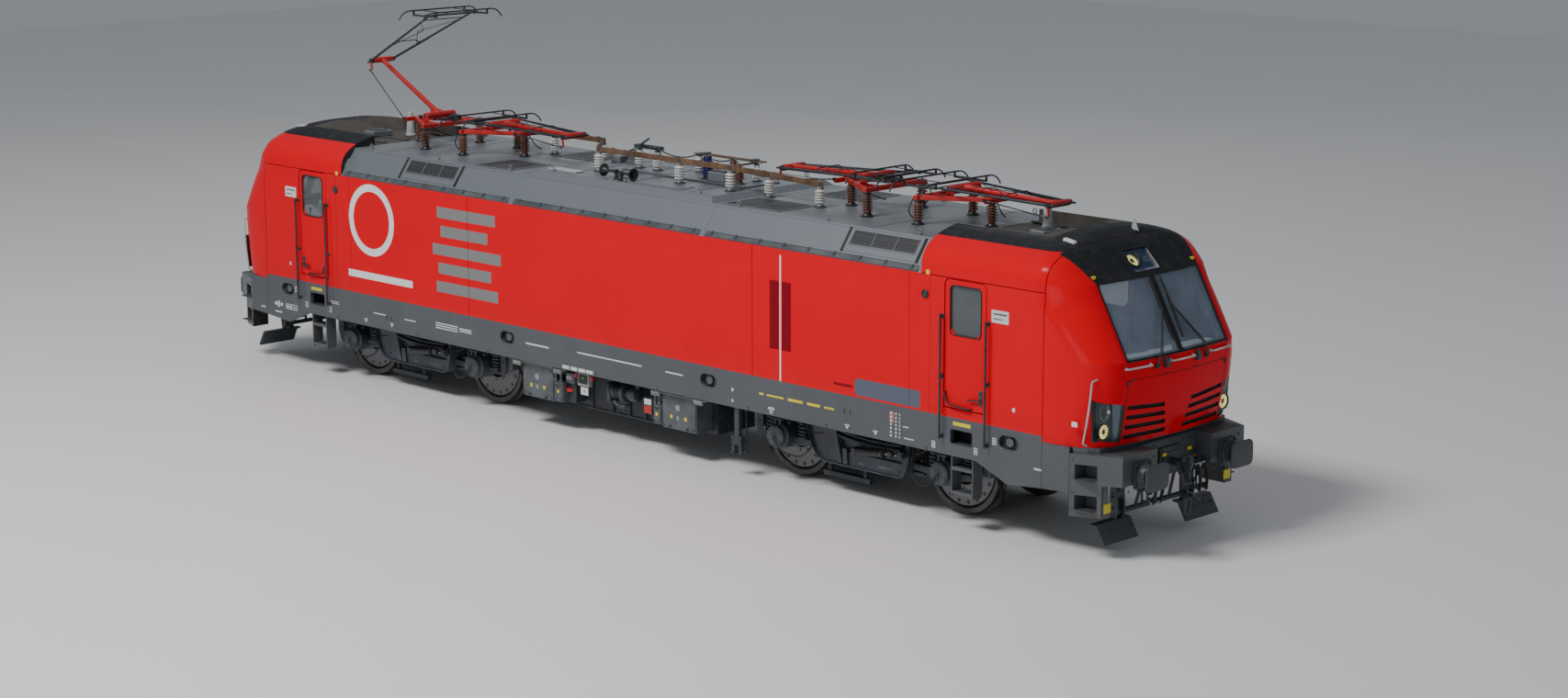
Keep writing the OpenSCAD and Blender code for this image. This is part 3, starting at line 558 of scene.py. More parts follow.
@dataclass(frozen=True)
class SillGrey:
    """Satin grey of the sole bar and the steps, dusty towards the rail."""

    name: str = "sill_grey"
    slot: str = "grey_paint"
    grey: Rgb = (0.076, 0.087, 0.099)

    def build(self) -> bpy.types.Material:
        """Make the material.

        Returns:
            The material.
        """
        paint = Paint(self.name)
        x, _, z = paint.place()
        cloud = paint.noise(1.6, detail=6.0, rough=0.6)
        fine = paint.noise(28.0, detail=4.0, rough=0.6)
        streak = paint.noise(7.0, (1.5, 1.5, 0.15), detail=4.0)
        shade = paint.blend(cloud.ease(0.3, 0.7) * 0.5, self.grey, tuple(c * 0.78 for c in self.grey))
        shade = paint.blend(streak.ease(0.5, 0.8) * 0.25, shade, (0.06, 0.065, 0.07))
        dust = z.ease(1.25, 0.35) * fine.ease(0.35, 0.7)
        shade = paint.blend(dust * 0.35, shade, (0.13, 0.115, 0.10))
        seam = abs(abs(x) - PANEL_X).under(0.0045).high(abs(abs(x) - SKIRT_X).under(0.0045))
        shade = paint.blend(seam * 0.9, shade, (0.01, 0.01, 0.012))
        rough = cloud * 0.15 + fine * 0.08 + 0.30 + dust * 0.2
        normal = paint.bump(1.0 - seam + fine * 0.15, 0.003)
        return paint.finish(shade, rough, normal, coat_weight=0.15, coat_roughness=0.2)


@dataclass(frozen=True)
class RoofGrey:
    """Matt grey of the roof, darker on the flat deck, with joints, soot and dust lying on the flat parts."""

    name: str = "roof_grey"
    slot: str = "roof_grey"
    grey: Rgb = (0.128, 0.142, 0.154)

    def build(self) -> bpy.types.Material:
        """Make the material.

        Returns:
            The material.
        """
        paint = Paint(self.name)
        x, y, z = paint.place()
        cloud = paint.noise(0.8, detail=6.0, rough=0.62)
        fine = paint.noise(22.0, detail=5.0, rough=0.7)
        soot = paint.noise(2.6, (0.6, 1.6, 1.0), detail=6.0, rough=0.7)
        flat = z.ease(DECK_Z - 0.03, DECK_Z - 0.005)
        shade = paint.blend(cloud.ease(0.3, 0.75) * 0.45, self.grey, tuple(c * 0.8 for c in self.grey))
        raised = z.ease(MIDDLE_Z - 0.02, MIDDLE_Z - 0.005)
        # The flat deck is made darker, the raised middle less so.
        shade = paint.blend(flat * 0.80 - raised * 0.42, shade, (0.030, 0.033, 0.037))
        shade = paint.blend(soot.ease(0.46, 0.68) * flat * 0.55, shade, (0.045, 0.047, 0.050))
        shade = paint.blend(fine.ease(0.55, 0.8) * 0.25, shade, (0.24, 0.235, 0.22))
        step = abs((x + 100.0).wrap(2.02) - 1.01).under(0.004)
        seam = step.high(abs(abs(y) - DECK_HALF + 0.012).under(0.004) * flat)
        shade = paint.blend(seam * 0.7, shade, (0.03, 0.032, 0.035))
        rough = cloud * 0.12 + fine * 0.12 + 0.50 + flat * 0.18
        normal = paint.bump(1.0 - seam + fine * 0.2 + cloud * 0.2, 0.003)
        return paint.finish(shade, rough, normal)


@dataclass(frozen=True)
class Perforated:
    """A dark sheet with rows of painted holes, for vents, grids and treads; the near black of the holes is painted
    shade.
    """

    name: str
    slot: str
    sheet: Rgb
    # Colour of the holes: painted shade seen through them.
    hole: Rgb = (0.004, 0.004, 0.005)
    pitch: float = 0.028
    share: float = 0.36

    def build(self) -> bpy.types.Material:
        """Make the material.

        Returns:
            The material.
        """
        paint = Paint(self.name)
        x, y, z = paint.place()
        fine = paint.noise(40.0, detail=4.0)
        rise = y + z * 1.6
        half = self.pitch / 2
        u = (x + 50.0).wrap(self.pitch) - half
        v = (rise + 50.0).wrap(self.pitch) - half
        far = (u ** 2.0 + v ** 2.0) ** 0.5
        # Each hole is painted near black as shade.
        hole = far.ease(self.pitch * self.share * 1.05, self.pitch * self.share * 0.9)
        shade = paint.blend(fine.ease(0.4, 0.75) * 0.5, self.sheet, tuple(c * 1.7 + 0.01 for c in self.sheet))
        shade = paint.blend(hole, shade, self.hole)
        normal = paint.bump(1.0 - hole, 0.004)
        return paint.finish(shade, fine * 0.2 + 0.45, normal, metallic=0.2)


@dataclass(frozen=True)
class Glass:
    """Window glass whose colour is a tint together with a painted reflection."""

    name: str
    slot: str = "glass"
    tint_and_reflection: Rgb = (0.26, 0.33, 0.43)
    cover: float = 0.36

    def build(self) -> bpy.types.Material:
        """Make the material."""
        paint = Paint(self.name)
        smear = paint.noise(3.0, detail=5.0, rough=0.6)
        # The colour laid over the glass is its tint together with a painted reflection; smears lighten it in patches.
        shade = paint.blend(smear.ease(0.35, 0.7) * 0.5, self.tint_and_reflection, tuple(c * 1.35 for c in self.tint_and_reflection))
        cover = smear * 0.10 + (self.cover - 0.05)
        return paint.finish(shade, smear * 0.05 + 0.02, alpha=cover, ior=1.5)


class Look(Enum):
    """Every finish of the locomotive."""

    BODY = BodyRed()
    CAB = CabRed()
    SILL = SillGrey()
    ROOF = RoofGrey()
    VENT = Perforated("vent_mesh", "dark_metal", (0.060, 0.062, 0.066), share=0.34)
    GRID = Perforated("hatch_mesh", "dark_metal", (0.050, 0.056, 0.058), pitch=0.022, share=0.30)
    TREAD = Perforated("step_tread", "grey_paint", (0.075, 0.085, 0.092), pitch=0.030, share=0.26)
    # Each glass colour below is a tint together with a painted reflection.
    GLASS = Glass("cab_glass")
    LAMP_GLASS = Glass("lamp_glass", tint_and_reflection=(0.12, 0.16, 0.16), cover=0.20)
    DOOR_GLASS = Glass("door_glass", tint_and_reflection=(0.13, 0.15, 0.16), cover=0.42)
    BROW_GLASS = Glass("brow_glass", tint_and_reflection=(0.03, 0.07, 0.16), cover=0.30)
    DARK = Finish("dark_steel", "dark_steel", (0.040, 0.050, 0.060), 0.48, dust=0.30)
    BOGIE = Finish(
        "bogie_paint", "dark_steel", (0.036, 0.047, 0.060), 0.42, dust=0.35, dust_colour=(0.085, 0.085, 0.085)
    )
    UNDER = Finish("underfloor_paint", "grey_paint", (0.075, 0.090, 0.102), 0.42, dust=0.25)
    TANK = Finish("tank_paint", "dark_steel", (0.022, 0.029, 0.038), 0.45, dust=0.25)
    BLACK = Finish("black_trim", "dark_metal", (0.014, 0.016, 0.019), 0.42, dust=0.15)
    RUBBER = Finish("rubber", "dark_metal", (0.010, 0.010, 0.011), 0.75, dust=0.30, grain_depth=0.0008)
    RAIL = Finish("grab_rail", "bright_steel", (0.042, 0.040, 0.040), 0.38, metal=0.3, dust=0.30)
    PALE = Finish("pale_rail", "bright_steel", (0.42, 0.43, 0.45), 0.32, dust=0.15)
    TREADED = Finish("tyre_steel", "wheel_steel", (0.075, 0.072, 0.070), 0.38, metal=0.6, dust=0.35)
    WHEEL = Finish(
        "wheel_steel", "wheel_steel", (0.036, 0.035, 0.034), 0.55, metal=0.2, dust=0.45,
        dust_colour=(0.085, 0.070, 0.055)
    )
    PAN_RED = Finish(
        "pantograph_red", "pantograph_red", (0.23, 0.003, 0.010), 0.36, coat=0.1, dust=0.18,
        dust_colour=(0.08, 0.02, 0.02)
    )
    PAN_DARK = Finish("pantograph_grey", "dark_metal", (0.028, 0.036, 0.048), 0.40, metal=0.3, dust=0.25)
    CARBON = Finish("contact_strip", "dark_metal", (0.020, 0.020, 0.022), 0.35, metal=0.2)
    COPPER = Finish("busbar_brown", "copper", (0.150, 0.082, 0.048), 0.48, metal=0.35, mottle=0.35, dust=0.25)
    WHITE_POT = Finish("pale_ceramic", "pale_ceramic", (0.42, 0.42, 0.41), 0.22, coat=0.4, dust=0.35)
    BROWN_POT = Finish("brown_ceramic", "brown_ceramic", (0.028, 0.012, 0.011), 0.26, coat=0.3, dust=0.20)
    BLUE_POT = Finish("blue_arrester", "brown_ceramic", (0.018, 0.022, 0.16), 0.28, coat=0.4, dust=0.15)
    YELLOW = Finish("yellow_mark", "grey_paint", (0.72, 0.60, 0.012), 0.42, mottle=0.12, dust=0.12)
    GREEN = Finish("display_green", "grey_paint", (0.02, 0.42, 0.03), 0.35, mottle=0.1, dust=0.0)
    CLAW = Finish("pale_bracket", "grey_paint", (0.26, 0.27, 0.27), 0.45, mottle=0.2, dust=0.3)
    WHITE = Finish("white_mark", "grey_paint", (0.66, 0.67, 0.68), 0.42, mottle=0.10, dust=0.20)
    PINK = Finish("pale_red_mark", "grey_paint", (0.52, 0.16, 0.17), 0.42, mottle=0.1, dust=0.15)
    DUST = Finish("worn_mark", "grey_paint", (0.11, 0.12, 0.13), 0.55, mottle=0.3, dust=0.5)
    SIGNAL = Finish("signal_red", "grey_paint", (0.55, 0.012, 0.012), 0.38, mottle=0.12)
    LED = Finish("lamp_light", "glass", (0.95, 0.84, 0.26), 0.25, mottle=0.05, dust=0.0, glow=1.1)
    CHROME = Finish("lamp_reflector", "bright_steel", (0.55, 0.56, 0.58), 0.16, metal=1.0, dust=0.05)
    # The cab lining, desk top and desk hood glow with painted light, though none of them is a lamp.
    LINING = Finish("cab_lining", "cab_lining", (0.30, 0.36, 0.46), 0.55, mottle=0.10, dust=0.05, glow=0.30)
    DESK = Finish("desk_top", "cab_lining", (0.22, 0.28, 0.37), 0.45, mottle=0.10, dust=0.05, glow=0.30)
    HOOD = Finish("desk_hood", "cab_lining", (0.44, 0.48, 0.52), 0.45, mottle=0.08, dust=0.05, glow=0.42)
    SEAT = Finish(
        "seat_cloth", "seat_fabric", (0.020, 0.035, 0.085), 0.85, grain_scale=420.0, grain_depth=0.0015,
        dust=0.1
    )
    FLOOR_WELL = Finish(
        "roof_well", "roof_grey", (0.050, 0.044, 0.038), 0.62, mottle=0.3, dust=0.4,
        dust_colour=(0.085, 0.072, 0.058)
    )

    @property
    def slot(self) -> str:
        """The record's material slot of this finish."""
        return self.value.slot

    def material(self) -> bpy.types.Material:
        """The finish's material, made once."""
        return bpy.data.materials.get(self.value.name) or self.value.build()


# ---------------------------------------------------------------------------
# Mesh tools
# ---------------------------------------------------------------------------
MIRROR_X = Matrix.Diagonal((-1, 1, 1, 1))
MIRROR_Y = Matrix.Diagonal((1, -1, 1, 1))
STILL = Matrix.Identity(4)
ENDS = (STILL, MIRROR_X)
SIDES = (STILL, MIRROR_Y)
CORNERS = tuple(end @ side for end in ENDS for side in SIDES)


def shift(x: float, y: float, z: float) -> Matrix:
    """A move."""
    return Matrix.Translation((x, y, z))


def turn(axis: str, degrees: float) -> Matrix:
    """A turn about X, Y or Z."""
    return Matrix.Rotation(math.radians(degrees), 4, axis)


def aim(origin: Sequence[float], direction: Sequence[float]) -> Matrix:
    """A placement at a point with +Z along a direction."""
    return Matrix.Translation(origin) @ Vector(direction).to_track_quat("Z", "Y").to_matrix().to_4x4()


def rect(lo: Flat, hi: Flat, radius: float = 0.0, steps: int = 5) -> list[Flat]:
    """Outline of a rectangle with round corners, turning left.

    Args:
        lo: lower corner.
        hi: upper corner.
        radius: corner radius.
        steps: straight pieces in each corner.

    Returns:
        The outline.
    """
    if radius <= 0:
        return [lo, (hi[0], lo[1]), hi, (lo[0], hi[1])]
    outline = []
    middles = ((hi[0] - radius, lo[1] + radius), (hi[0] - radius, hi[1] - radius),
               (lo[0] + radius, hi[1] - radius), (lo[0] + radius, lo[1] + radius))
    for i, (u, v) in enumerate(middles):
        for j in range(steps + 1):
            angle = math.radians(90 * (i - 1) + 90 * j / steps)
            outline.append((u + radius * math.cos(angle), v + radius * math.sin(angle)))
    return outline


def disc(middle: Flat, radius: float, sides: int = 24) -> list[Flat]:
    """Outline of a circle."""
    angles = (math.tau * i / sides for i in range(sides))
    return [(middle[0] + radius * math.cos(a), middle[1] + radius * math.sin(a)) for a in angles]


def inset(outline: Sequence[Flat], depth: float) -> list[Flat]:
    """An outline moved inwards with mitred corners.

    Args:
        outline: the corners in order.
        depth: how far inwards.

    Returns:
        The moved corners.
    """
    area = sum(a[0] * b[1] - b[0] * a[1] for a, b in zip(outline, [*outline[1:], outline[0]]))
    depth = depth if area > 0 else -depth
    moved = []
    for i, point in enumerate(outline):
        before, after = Vector(outline[i - 1]), Vector(outline[(i + 1) % len(outline)])
        here = Vector(point)
        one, two = (here - before).normalized(), (after - here).normalized()
        side = Vector((-one.y - two.y, one.x + two.x))
        length = side.length_squared / 2
        moved.append(tuple(here + side * (depth / max(length, 0.3))))
    return moved


def bend(path: Sequence[Sequence[float]], radius: float, steps: int = 5) -> list[Vector]:
    """A path with its corners rounded.

    Args:
        path: the corners of the line.
        radius: the radius.
        steps: points on a curve.

    Returns:
        The points of the rounded line.
    """
    points = [Vector(p) for p in path]
    out = [points[0]]
    for before, here, after in zip(points, points[1:], points[2:]):
        a, b = before - here, after - here
        reach = min(radius, a.length * 0.45, b.length * 0.45)
        start, end = here + a.normalized() * reach, here + b.normalized() * reach
        for i in range(steps + 1):
            t = i / steps
            out.append(start.lerp(here, t).lerp(here.lerp(end, t), t))
    return [*out, points[-1]]


def sag(start: Sequence[float], end: Sequence[float], drop: float, steps: int = 12) -> list[Vector]:
    """A slack line between two points."""
    a, b = Vector(start), Vector(end)
    return [
        a.lerp(b, i / steps) - Vector((0, 0, 4 * drop * (i / steps) * (1 - i / steps)))
        for i in range(steps + 1)
    ]


class Form:
    """The corners, faces and finishes of one piece while it is put together."""

    def __init__(self, name: str) -> None:
        """Start an empty piece.

        Args:
            name: the piece's name.
        """
        self.name = name
        self.points: list[Vector] = []
        self.faces: list[tuple[int, ...]] = []
        self.marks: list[Look] = []
        self._place = STILL

    @contextmanager
    def at(self, *steps: Matrix) -> Iterator[None]:
        """Place what is added inside the block.

        Args:
            steps: turns and shifts, the outer one first.

        Returns:
            The open block.
        """
        kept = self._place
        for step in steps:
            self._place = self._place @ step
        try:
            yield
        finally:
            self._place = kept

    def each(self, places: Iterable[Matrix]) -> Iterator[Matrix]:
        """Place what the loop's body adds, once at each place."""
        for place in places:
            with self.at(place):
                yield place

    def add(self, points: Iterable[Sequence[float]], faces: Iterable[Sequence[int]], look: Look) -> None:
        """Add corners and faces.

        Args:
            points: corners in the present placement.
            faces: corner numbers of each face, from 0.
            look: their finish.
        """
        base = len(self.points)
        self.points.extend(self._place @ Vector(p) for p in points)
        fresh = [tuple(base + i for i in face) for face in faces]
        self.faces.extend(fresh)
        self.marks.extend([look] * len(fresh))

    def block(self, lo: Sequence[float], hi: Sequence[float], look: Look, chamfer: float = 0.004) -> None:
        """A box with chamfered edges.

        Args:
            lo: lowest corner.
            hi: highest corner.
            look: its finish.
            chamfer: width taken off each edge.
        """
        lo, hi = [min(a, b) for a, b in zip(lo, hi)], [max(a, b) for a, b in zip(lo, hi)]
        cut = min([chamfer, *((b - a) * 0.3 for a, b in zip(lo, hi))])
        signs = [(i, j, k) for i in (0, 1) for j in (0, 1) for k in (0, 1)]
        index = {(s, axis): n for n, (s, axis) in enumerate((s, a) for s in signs for a in range(3))}
        points = []
        for (s, axis) in index:
            point = [hi[i] if s[i] else lo[i] for i in range(3)]
            for other in range(3):
                if other != axis:
                    point[other] += -cut if s[other] else cut
            points.append(point)
        faces = [[index[(s, a)] for a in range(3)] for s in signs]
        for axis in range(3):
            u, v = (i for i in range(3) if i != axis)
            for side in (0, 1):
                ring = []
                for i, j in ((0, 0), (1, 0), (1, 1), (0, 1)):
                    s = [0, 0, 0]
                    s[axis], s[u], s[v] = side, i, j
                    ring.append(index[(tuple(s), axis)])
                faces.append(ring)
            for i in (0, 1):
                for j in (0, 1):
                    ends = []
                    for side in (0, 1):
                        s = [0, 0, 0]
                        s[axis], s[u], s[v] = side, i, j
                        ends.append(tuple(s))
                    faces.append(
                        [index[(ends[0], u)], index[(ends[0], v)], index[(ends[1], v)], index[(ends[1], u)]]
                    )
        self.add(points, faces, look)

    def loft(
        self, rings: Sequence[Sequence[Sequence[float]]], look: Look, caps: bool = True, joined: bool = False
    ) -> None:
        """Skin rings of equal length.

        Args:
            rings: the rings in order.
            look: the finish.
            caps: whether the two ends are closed.
            joined: whether the last ring meets the first.
        """
        size = len(rings[0])
        points = [p for ring in rings for p in ring]
        spans = len(rings) if joined else len(rings) - 1
        faces = [
            (r * size + i, r * size + (i + 1) % size, s * size + (i + 1) % size, s * size + i)
            for r in range(spans)
            for s in [(r + 1) % len(rings)]
            for i in range(size)
        ]
        if caps and not joined:
            faces.append(tuple(range(size)))
            faces.append(tuple((len(rings) - 1) * size + i for i in range(size)))
        self.add(points, faces, look)

    def tube(
        self,
        path: Sequence[Sequence[float]],
        radius: float | Sequence[float],
        look: Look,
        sides: int = 10,
        closed: bool = False,
    ) -> None:
        """A round bar along a path.

        Args:
            path: points of its middle line.
            radius: one radius, or one for each point.
            look: its finish.
            sides: corners round it.
            closed: whether the path meets itself.
        """
        line = [Vector(p) for p in path]
        radii = [radius] * len(line) if isinstance(radius, (int, float)) else list(radius)
        side = (line[1] - line[0]).orthogonal().normalized()
        rings = []
        for i, point in enumerate(line):
            before = line[i - 1] if i or closed else point
            after = line[(i + 1) % len(line)] if i + 1 < len(line) or closed else point
            along = (after - before).normalized()
            side = (side - along * side.dot(along)).normalized()
            up = along.cross(side)
            angles = [math.tau * j / sides for j in range(sides)]
            rings.append([point + (side * math.cos(a) + up * math.sin(a)) * radii[i] for a in angles])
        self.loft(rings, look, joined=closed)

    def lathe(
        self,
        profile: Sequence[Flat],
        look: Look,
        origin: Sequence[float] = (0, 0, 0),
        direction: Sequence[float] = (0, 0, 1),
        sides: int = 32,
        ring: bool = False,
    ) -> None:
        """A turned shape.

        Args:
            profile: pairs of radius and height.
            look: its finish.
            origin: where height 0 is.
            direction: the way heights grow.
            sides: corners round it.
            ring: whether the profile's last point meets its first.
        """
        heads: list[list[int]] = []
        points: list[Point] = []
        for radius, height in profile:
            count = sides if radius > 1e-6 else 1
            heads.append(list(range(len(points), len(points) + count)))
            for i in range(count):
                a = math.tau * i / sides
                points.append((radius * math.cos(a), radius * math.sin(a), height))
        faces: list[tuple[int, ...]] = []
        pairs = list(zip(heads, heads[1:]))
        if ring:
            pairs.append((heads[-1], heads[0]))
        for low, high in pairs:
            for i in range(sides):
                j = (i + 1) % sides
                corners = [low[i % len(low)], low[j % len(low)], high[j % len(high)], high[i % len(high)]]
                faces.append(tuple(dict.fromkeys(corners)))
        if not ring:
            faces.extend(tuple(h) for h in (heads[0], heads[-1]) if len(h) > 1)
        with self.at(aim(origin, direction)):
            self.add(points, [f for f in faces if len(f) > 2], look)

    def prism(
        self,
        outline: Sequence[Flat],
        lo: float,
        hi: float,
        look: Look,
        plane: str = "xz",
        chamfer: float = 0.0,
        hole: Sequence[Flat] | None = None,
    ) -> None:
        """An outline carried straight along an axis.

        Args:
            outline: the outline in its plane.
            lo: where it starts.
            hi: where it ends.
            look: its finish.
            plane: the plane's two axes.
            chamfer: width taken off the edges of both ends.
            hole: an inner outline with as many corners, cut right through.
        """
        u, v = ("xyz".index(c) for c in plane)
        w = 3 - u - v

        def ring(flat: Sequence[Flat], depth: float) -> list[list[float]]:
            """The outline at one depth.

            Args:
                flat: the outline in its plane.
                depth: how far along the axis.

            Returns:
                The points in order.
            """
            out = []
            for a, b in flat:
                point = [0.0, 0.0, 0.0]
                point[u], point[v], point[w] = a, b, depth
                out.append(point)
            return out

        lo, hi = min(lo, hi), max(lo, hi)
        cut = min(chamfer, (hi - lo) * 0.4)
        steps = [(cut, lo), (0.0, lo + cut), (0.0, hi - cut), (cut, hi)] if cut else [(0.0, lo), (0.0, hi)]
        rings = [ring(inset(outline, d) if d else outline, w0) for d, w0 in steps]
        if hole is None:
            self.loft(rings, look)
        else:
            inner = [ring(inset(hole, -d) if d else hole, w0) for d, w0 in reversed(steps)]
            self.loft([*rings, *inner], look, joined=True)

    def rod(
        self, start: Sequence[float], end: Sequence[float], radius: float, look: Look, sides: int = 12
    ) -> None:
        """A straight round bar with its ends eased.

        Args:
            start: the first end.
            end: the second end.
            radius: the radius.
            look: the finish.
            sides: faces around.
        """
        a, b = Vector(start), Vector(end)
        length = (b - a).length
        ease = min(radius * 0.25, length * 0.2, 0.004)
        profile = [(radius - ease, 0), (radius, ease), (radius, length - ease), (radius - ease, length)]
        self.lathe(profile, look, a, b - a, sides)

    def patch(
        self,
        place: Callable[[float, float], Sequence[float]],
        back: Sequence[float],
        look: Look,
        across: int = 12,
        up: int = 12,
    ) -> None:
        """A curved plate with thickness.

        Args:
            place: a point of its face for two numbers from 0 to 1.
            back: from its face to its back.
            look: its finish.
            across: spans one way.
            up: spans the other way.
        """
        front = [[Vector(place(i / across, j / up)) for i in range(across + 1)] for j in range(up + 1)]
        rows = [[*row, *(p + Vector(back) for p in reversed(row))] for row in front]
        self.loft(rows, look)

    def bolts(
        self, where: Iterable[tuple[Sequence[float], Sequence[float]]], size: float = 0.018,
        look: "Look | None" = None
    ) -> None:
        """Note hexagon bolts at points, each along a direction.

        Args:
            where: pairs of a place and a direction.
            size: the radius over the corners.
            look: the finish.
        """
        for point, direction in where:
            flat = size * 0.9
            profile = [
                (size, 0), (size, flat * 0.55), (size * 0.82, flat * 0.66), (size * 0.42, flat * 0.68),
                (size * 0.42, flat), (0, flat)
            ]
            self.lathe(profile, look or Look.DARK, point, direction, 6)

    def done(self, body: str, replaces: Sequence[str] = (), sharp: float = 32.0) -> bpy.types.Object:
        """Close the piece.

        Args:
            body: the body that it rides on.
            replaces: the nodes that it stands for.
            sharp: edges that turn more than this many degrees stay crisp.

        Returns:
            The object.
        """
        mesh = bpy.data.meshes.new(self.name)
        mesh.from_pydata([(p.x, p.y, p.z + RAIL) for p in self.points], [], self.faces)
        looks = list(dict.fromkeys(self.marks))
        for look in looks:
            mesh.materials.append(look.material())
        number = {look: i for i, look in enumerate(looks)}
        mesh.polygons.foreach_set("material_index", [number[m] for m in self.marks])
        return settle(mesh, self.name, looks[0].slot, body, replaces, sharp)


def put(piece: bpy.types.Object) -> None:
    """Place an object in the scene."""
    bpy.context.scene.collection.objects.link(piece)


def face_out(mesh: bpy.types.Mesh) -> None:
    """Turn every face of a closed mesh outwards."""
    shell = bmesh.new()
    shell.from_mesh(mesh)
    bmesh.ops.recalc_face_normals(shell, faces=shell.faces)
    shell.to_mesh(mesh)
    shell.free()


def settle(
    mesh: bpy.types.Mesh, name: str, slot: str, body: str, replaces: Sequence[str] = (), sharp: float = 32.0
) -> bpy.types.Object:
    """Turn a finished mesh into a piece of the locomotive.

    Args:
        mesh: the mesh, in the row's frame.
        name: the piece's name.
        slot: its material slot in the record.
        body: the body that it rides on.
        replaces: the nodes that it stands for.
        sharp: edges that turn more than this many degrees stay crisp.

    Returns:
        The object.
    """
    face_out(mesh)
    mesh.polygons.foreach_set("use_smooth", [True] * len(mesh.polygons))
    mesh.set_sharp_from_angle(angle=math.radians(sharp))
    piece = bpy.data.objects.new(name, mesh)
    put(piece)
    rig.slot(piece, slot)
    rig.ride(piece, body)
    if replaces:
        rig.replaces(piece, *replaces)
    log.info("%s: %d faces on %s", name, len(mesh.polygons), body)
    return piece


# ---------------------------------------------------------------------------
# Geometry Nodes tools
# ---------------------------------------------------------------------------
class Nodes:
    """A Geometry Nodes tree while it is made, and its use on point meshes."""

    def __init__(self, name: str, inputs: dict[str, str]) -> None:
        """Start a tree that takes and gives a geometry.

        Args:
            name: the tree's name.
            inputs: the socket type of each named input.
        """
        self.tree = bpy.data.node_groups.new(name, "GeometryNodeTree")
        face = self.tree.interface
        face.new_socket("Geometry", in_out="INPUT", socket_type="NodeSocketGeometry")
        self.ids = {
            key: face.new_socket(key, in_out="INPUT", socket_type=kind).identifier for key,
            kind in inputs.items()
        }
        face.new_socket("Geometry", in_out="OUTPUT", socket_type="NodeSocketGeometry")
        self.start = self.tree.nodes.new("NodeGroupInput")
        self.end = self.tree.nodes.new("NodeGroupOutput")

    def node(self, kind: str, settings: dict[str, object], values: dict[object, object]) -> bpy.types.Node:
        """Make one node.

        Args:
            kind: the node's type.
            settings: properties, set before the sockets.
            values: a value, a socket, or the name of an input of the tree for each input.

        Returns:
            The node.
        """
        made = self.tree.nodes.new(kind)
        for key, value in settings.items():
            setattr(made, key, value)
        for key, value in values.items():
            named = isinstance(value, str) and value in self.start.outputs
            source = self.start.outputs[value] if named else value
            if isinstance(source, bpy.types.NodeSocket):
                self.tree.links.new(source, made.inputs[key])
            else:
                made.inputs[key].default_value = source
        return made

    def attribute(self, name: str) -> bpy.types.NodeSocket:
        """A vector stored on the points."""
        return self.node(
            "GeometryNodeInputNamedAttribute", {"data_type": "FLOAT_VECTOR"}, {"Name": name}
        ).outputs[0]

    def spread(self, instance: bpy.types.NodeSocket) -> bpy.types.NodeSocket:
        """Put an instance on each point, turned and sized by the points' own values."""
        spin = self.node("FunctionNodeEulerToRotation", {}, {0: self.attribute("turn")}).outputs[0]
        values = {"Points": "Geometry", "Instance": instance, "Rotation": spin, "Scale": self.attribute("size")}
        placed = self.node("GeometryNodeInstanceOnPoints", {}, values).outputs[0]
        return self.node("GeometryNodeRealizeInstances", {}, {0: placed}).outputs[0]

    def close(self, geometry: bpy.types.NodeSocket) -> None:
        """Link the tree's output."""
        self.tree.links.new(geometry, self.end.inputs[0])

    def run(
        self, name: str, places: Sequence[tuple[Matrix, Point]], values: dict[str, object]
    ) -> bpy.types.Mesh:
        """Evaluate the tree on points and keep the mesh.

        Args:
            name: a name for the mesh.
            places: a placement above the rail and a scale for each copy.
            values: a value for each named input.

        Returns:
            A plain mesh.
        """
        points = bpy.data.meshes.new(name + "_points")
        points.from_pydata([tuple(m.translation + Vector((0, 0, RAIL))) for m, _ in places], [], [])
        turns = points.attributes.new("turn", "FLOAT_VECTOR", "POINT")
        turns.data.foreach_set("vector", [v for m, _ in places for v in m.to_quaternion().to_euler()])
        sizes = points.attributes.new("size", "FLOAT_VECTOR", "POINT")
        sizes.data.foreach_set("vector", [v for _, s in places for v in s])
        carrier = bpy.data.objects.new(name + "_points", points)
        put(carrier)
        modifier = carrier.modifiers.new("nodes", "NODES")
        modifier.node_group = self.tree
        for key, value in values.items():
            modifier[self.ids[key]] = value
        graph = bpy.context.evaluated_depsgraph_get()
        mesh = bpy.data.meshes.new_from_object(carrier.evaluated_get(graph))
        mesh.name = name
        bpy.data.objects.remove(carrier, do_unlink=True)
        return mesh


class Copies:
    """Copies of a template on points."""

    tree: Nodes | None = None

    @classmethod
    def make(
        cls, template: Form, places: Sequence[Matrix | tuple[Matrix, Point]], body: str,
        replaces: Sequence[str] = ()
    ) -> bpy.types.Object:
        """Copy a template to each place and keep one plain mesh.

        Args:
            template: the shape to copy, made about the origin.
            places: placements, alone or each with its scale.
            body: the body that the copies ride on.
            replaces: the nodes that they stand for.

        Returns:
            The object.
        """
        if cls.tree is None:
            cls.tree = Nodes("copies", {"Template": "NodeSocketObject"})
            info = cls.tree.node(
                "GeometryNodeObjectInfo", {"transform_space": "ORIGINAL"}, {"Object": "Template"}
            )
            cls.tree.close(cls.tree.spread(info.outputs["Geometry"]))
        mesh = bpy.data.meshes.new(template.name + "_one")
        mesh.from_pydata([tuple(p) for p in template.points], [], template.faces)
        looks = list(dict.fromkeys(template.marks))
        for look in looks:
            mesh.materials.append(look.material())
        mesh.polygons.foreach_set("material_index", [looks.index(m) for m in template.marks])
        source = bpy.data.objects.new(template.name + "_one", mesh)
        put(source)
        pairs = [p if isinstance(p, tuple) else (p, (1.0, 1.0, 1.0)) for p in places]
        out = cls.tree.run(template.name, pairs, {"Template": source})
        bpy.data.objects.remove(source, do_unlink=True)
        return settle(out, template.name, looks[0].slot, body, replaces)


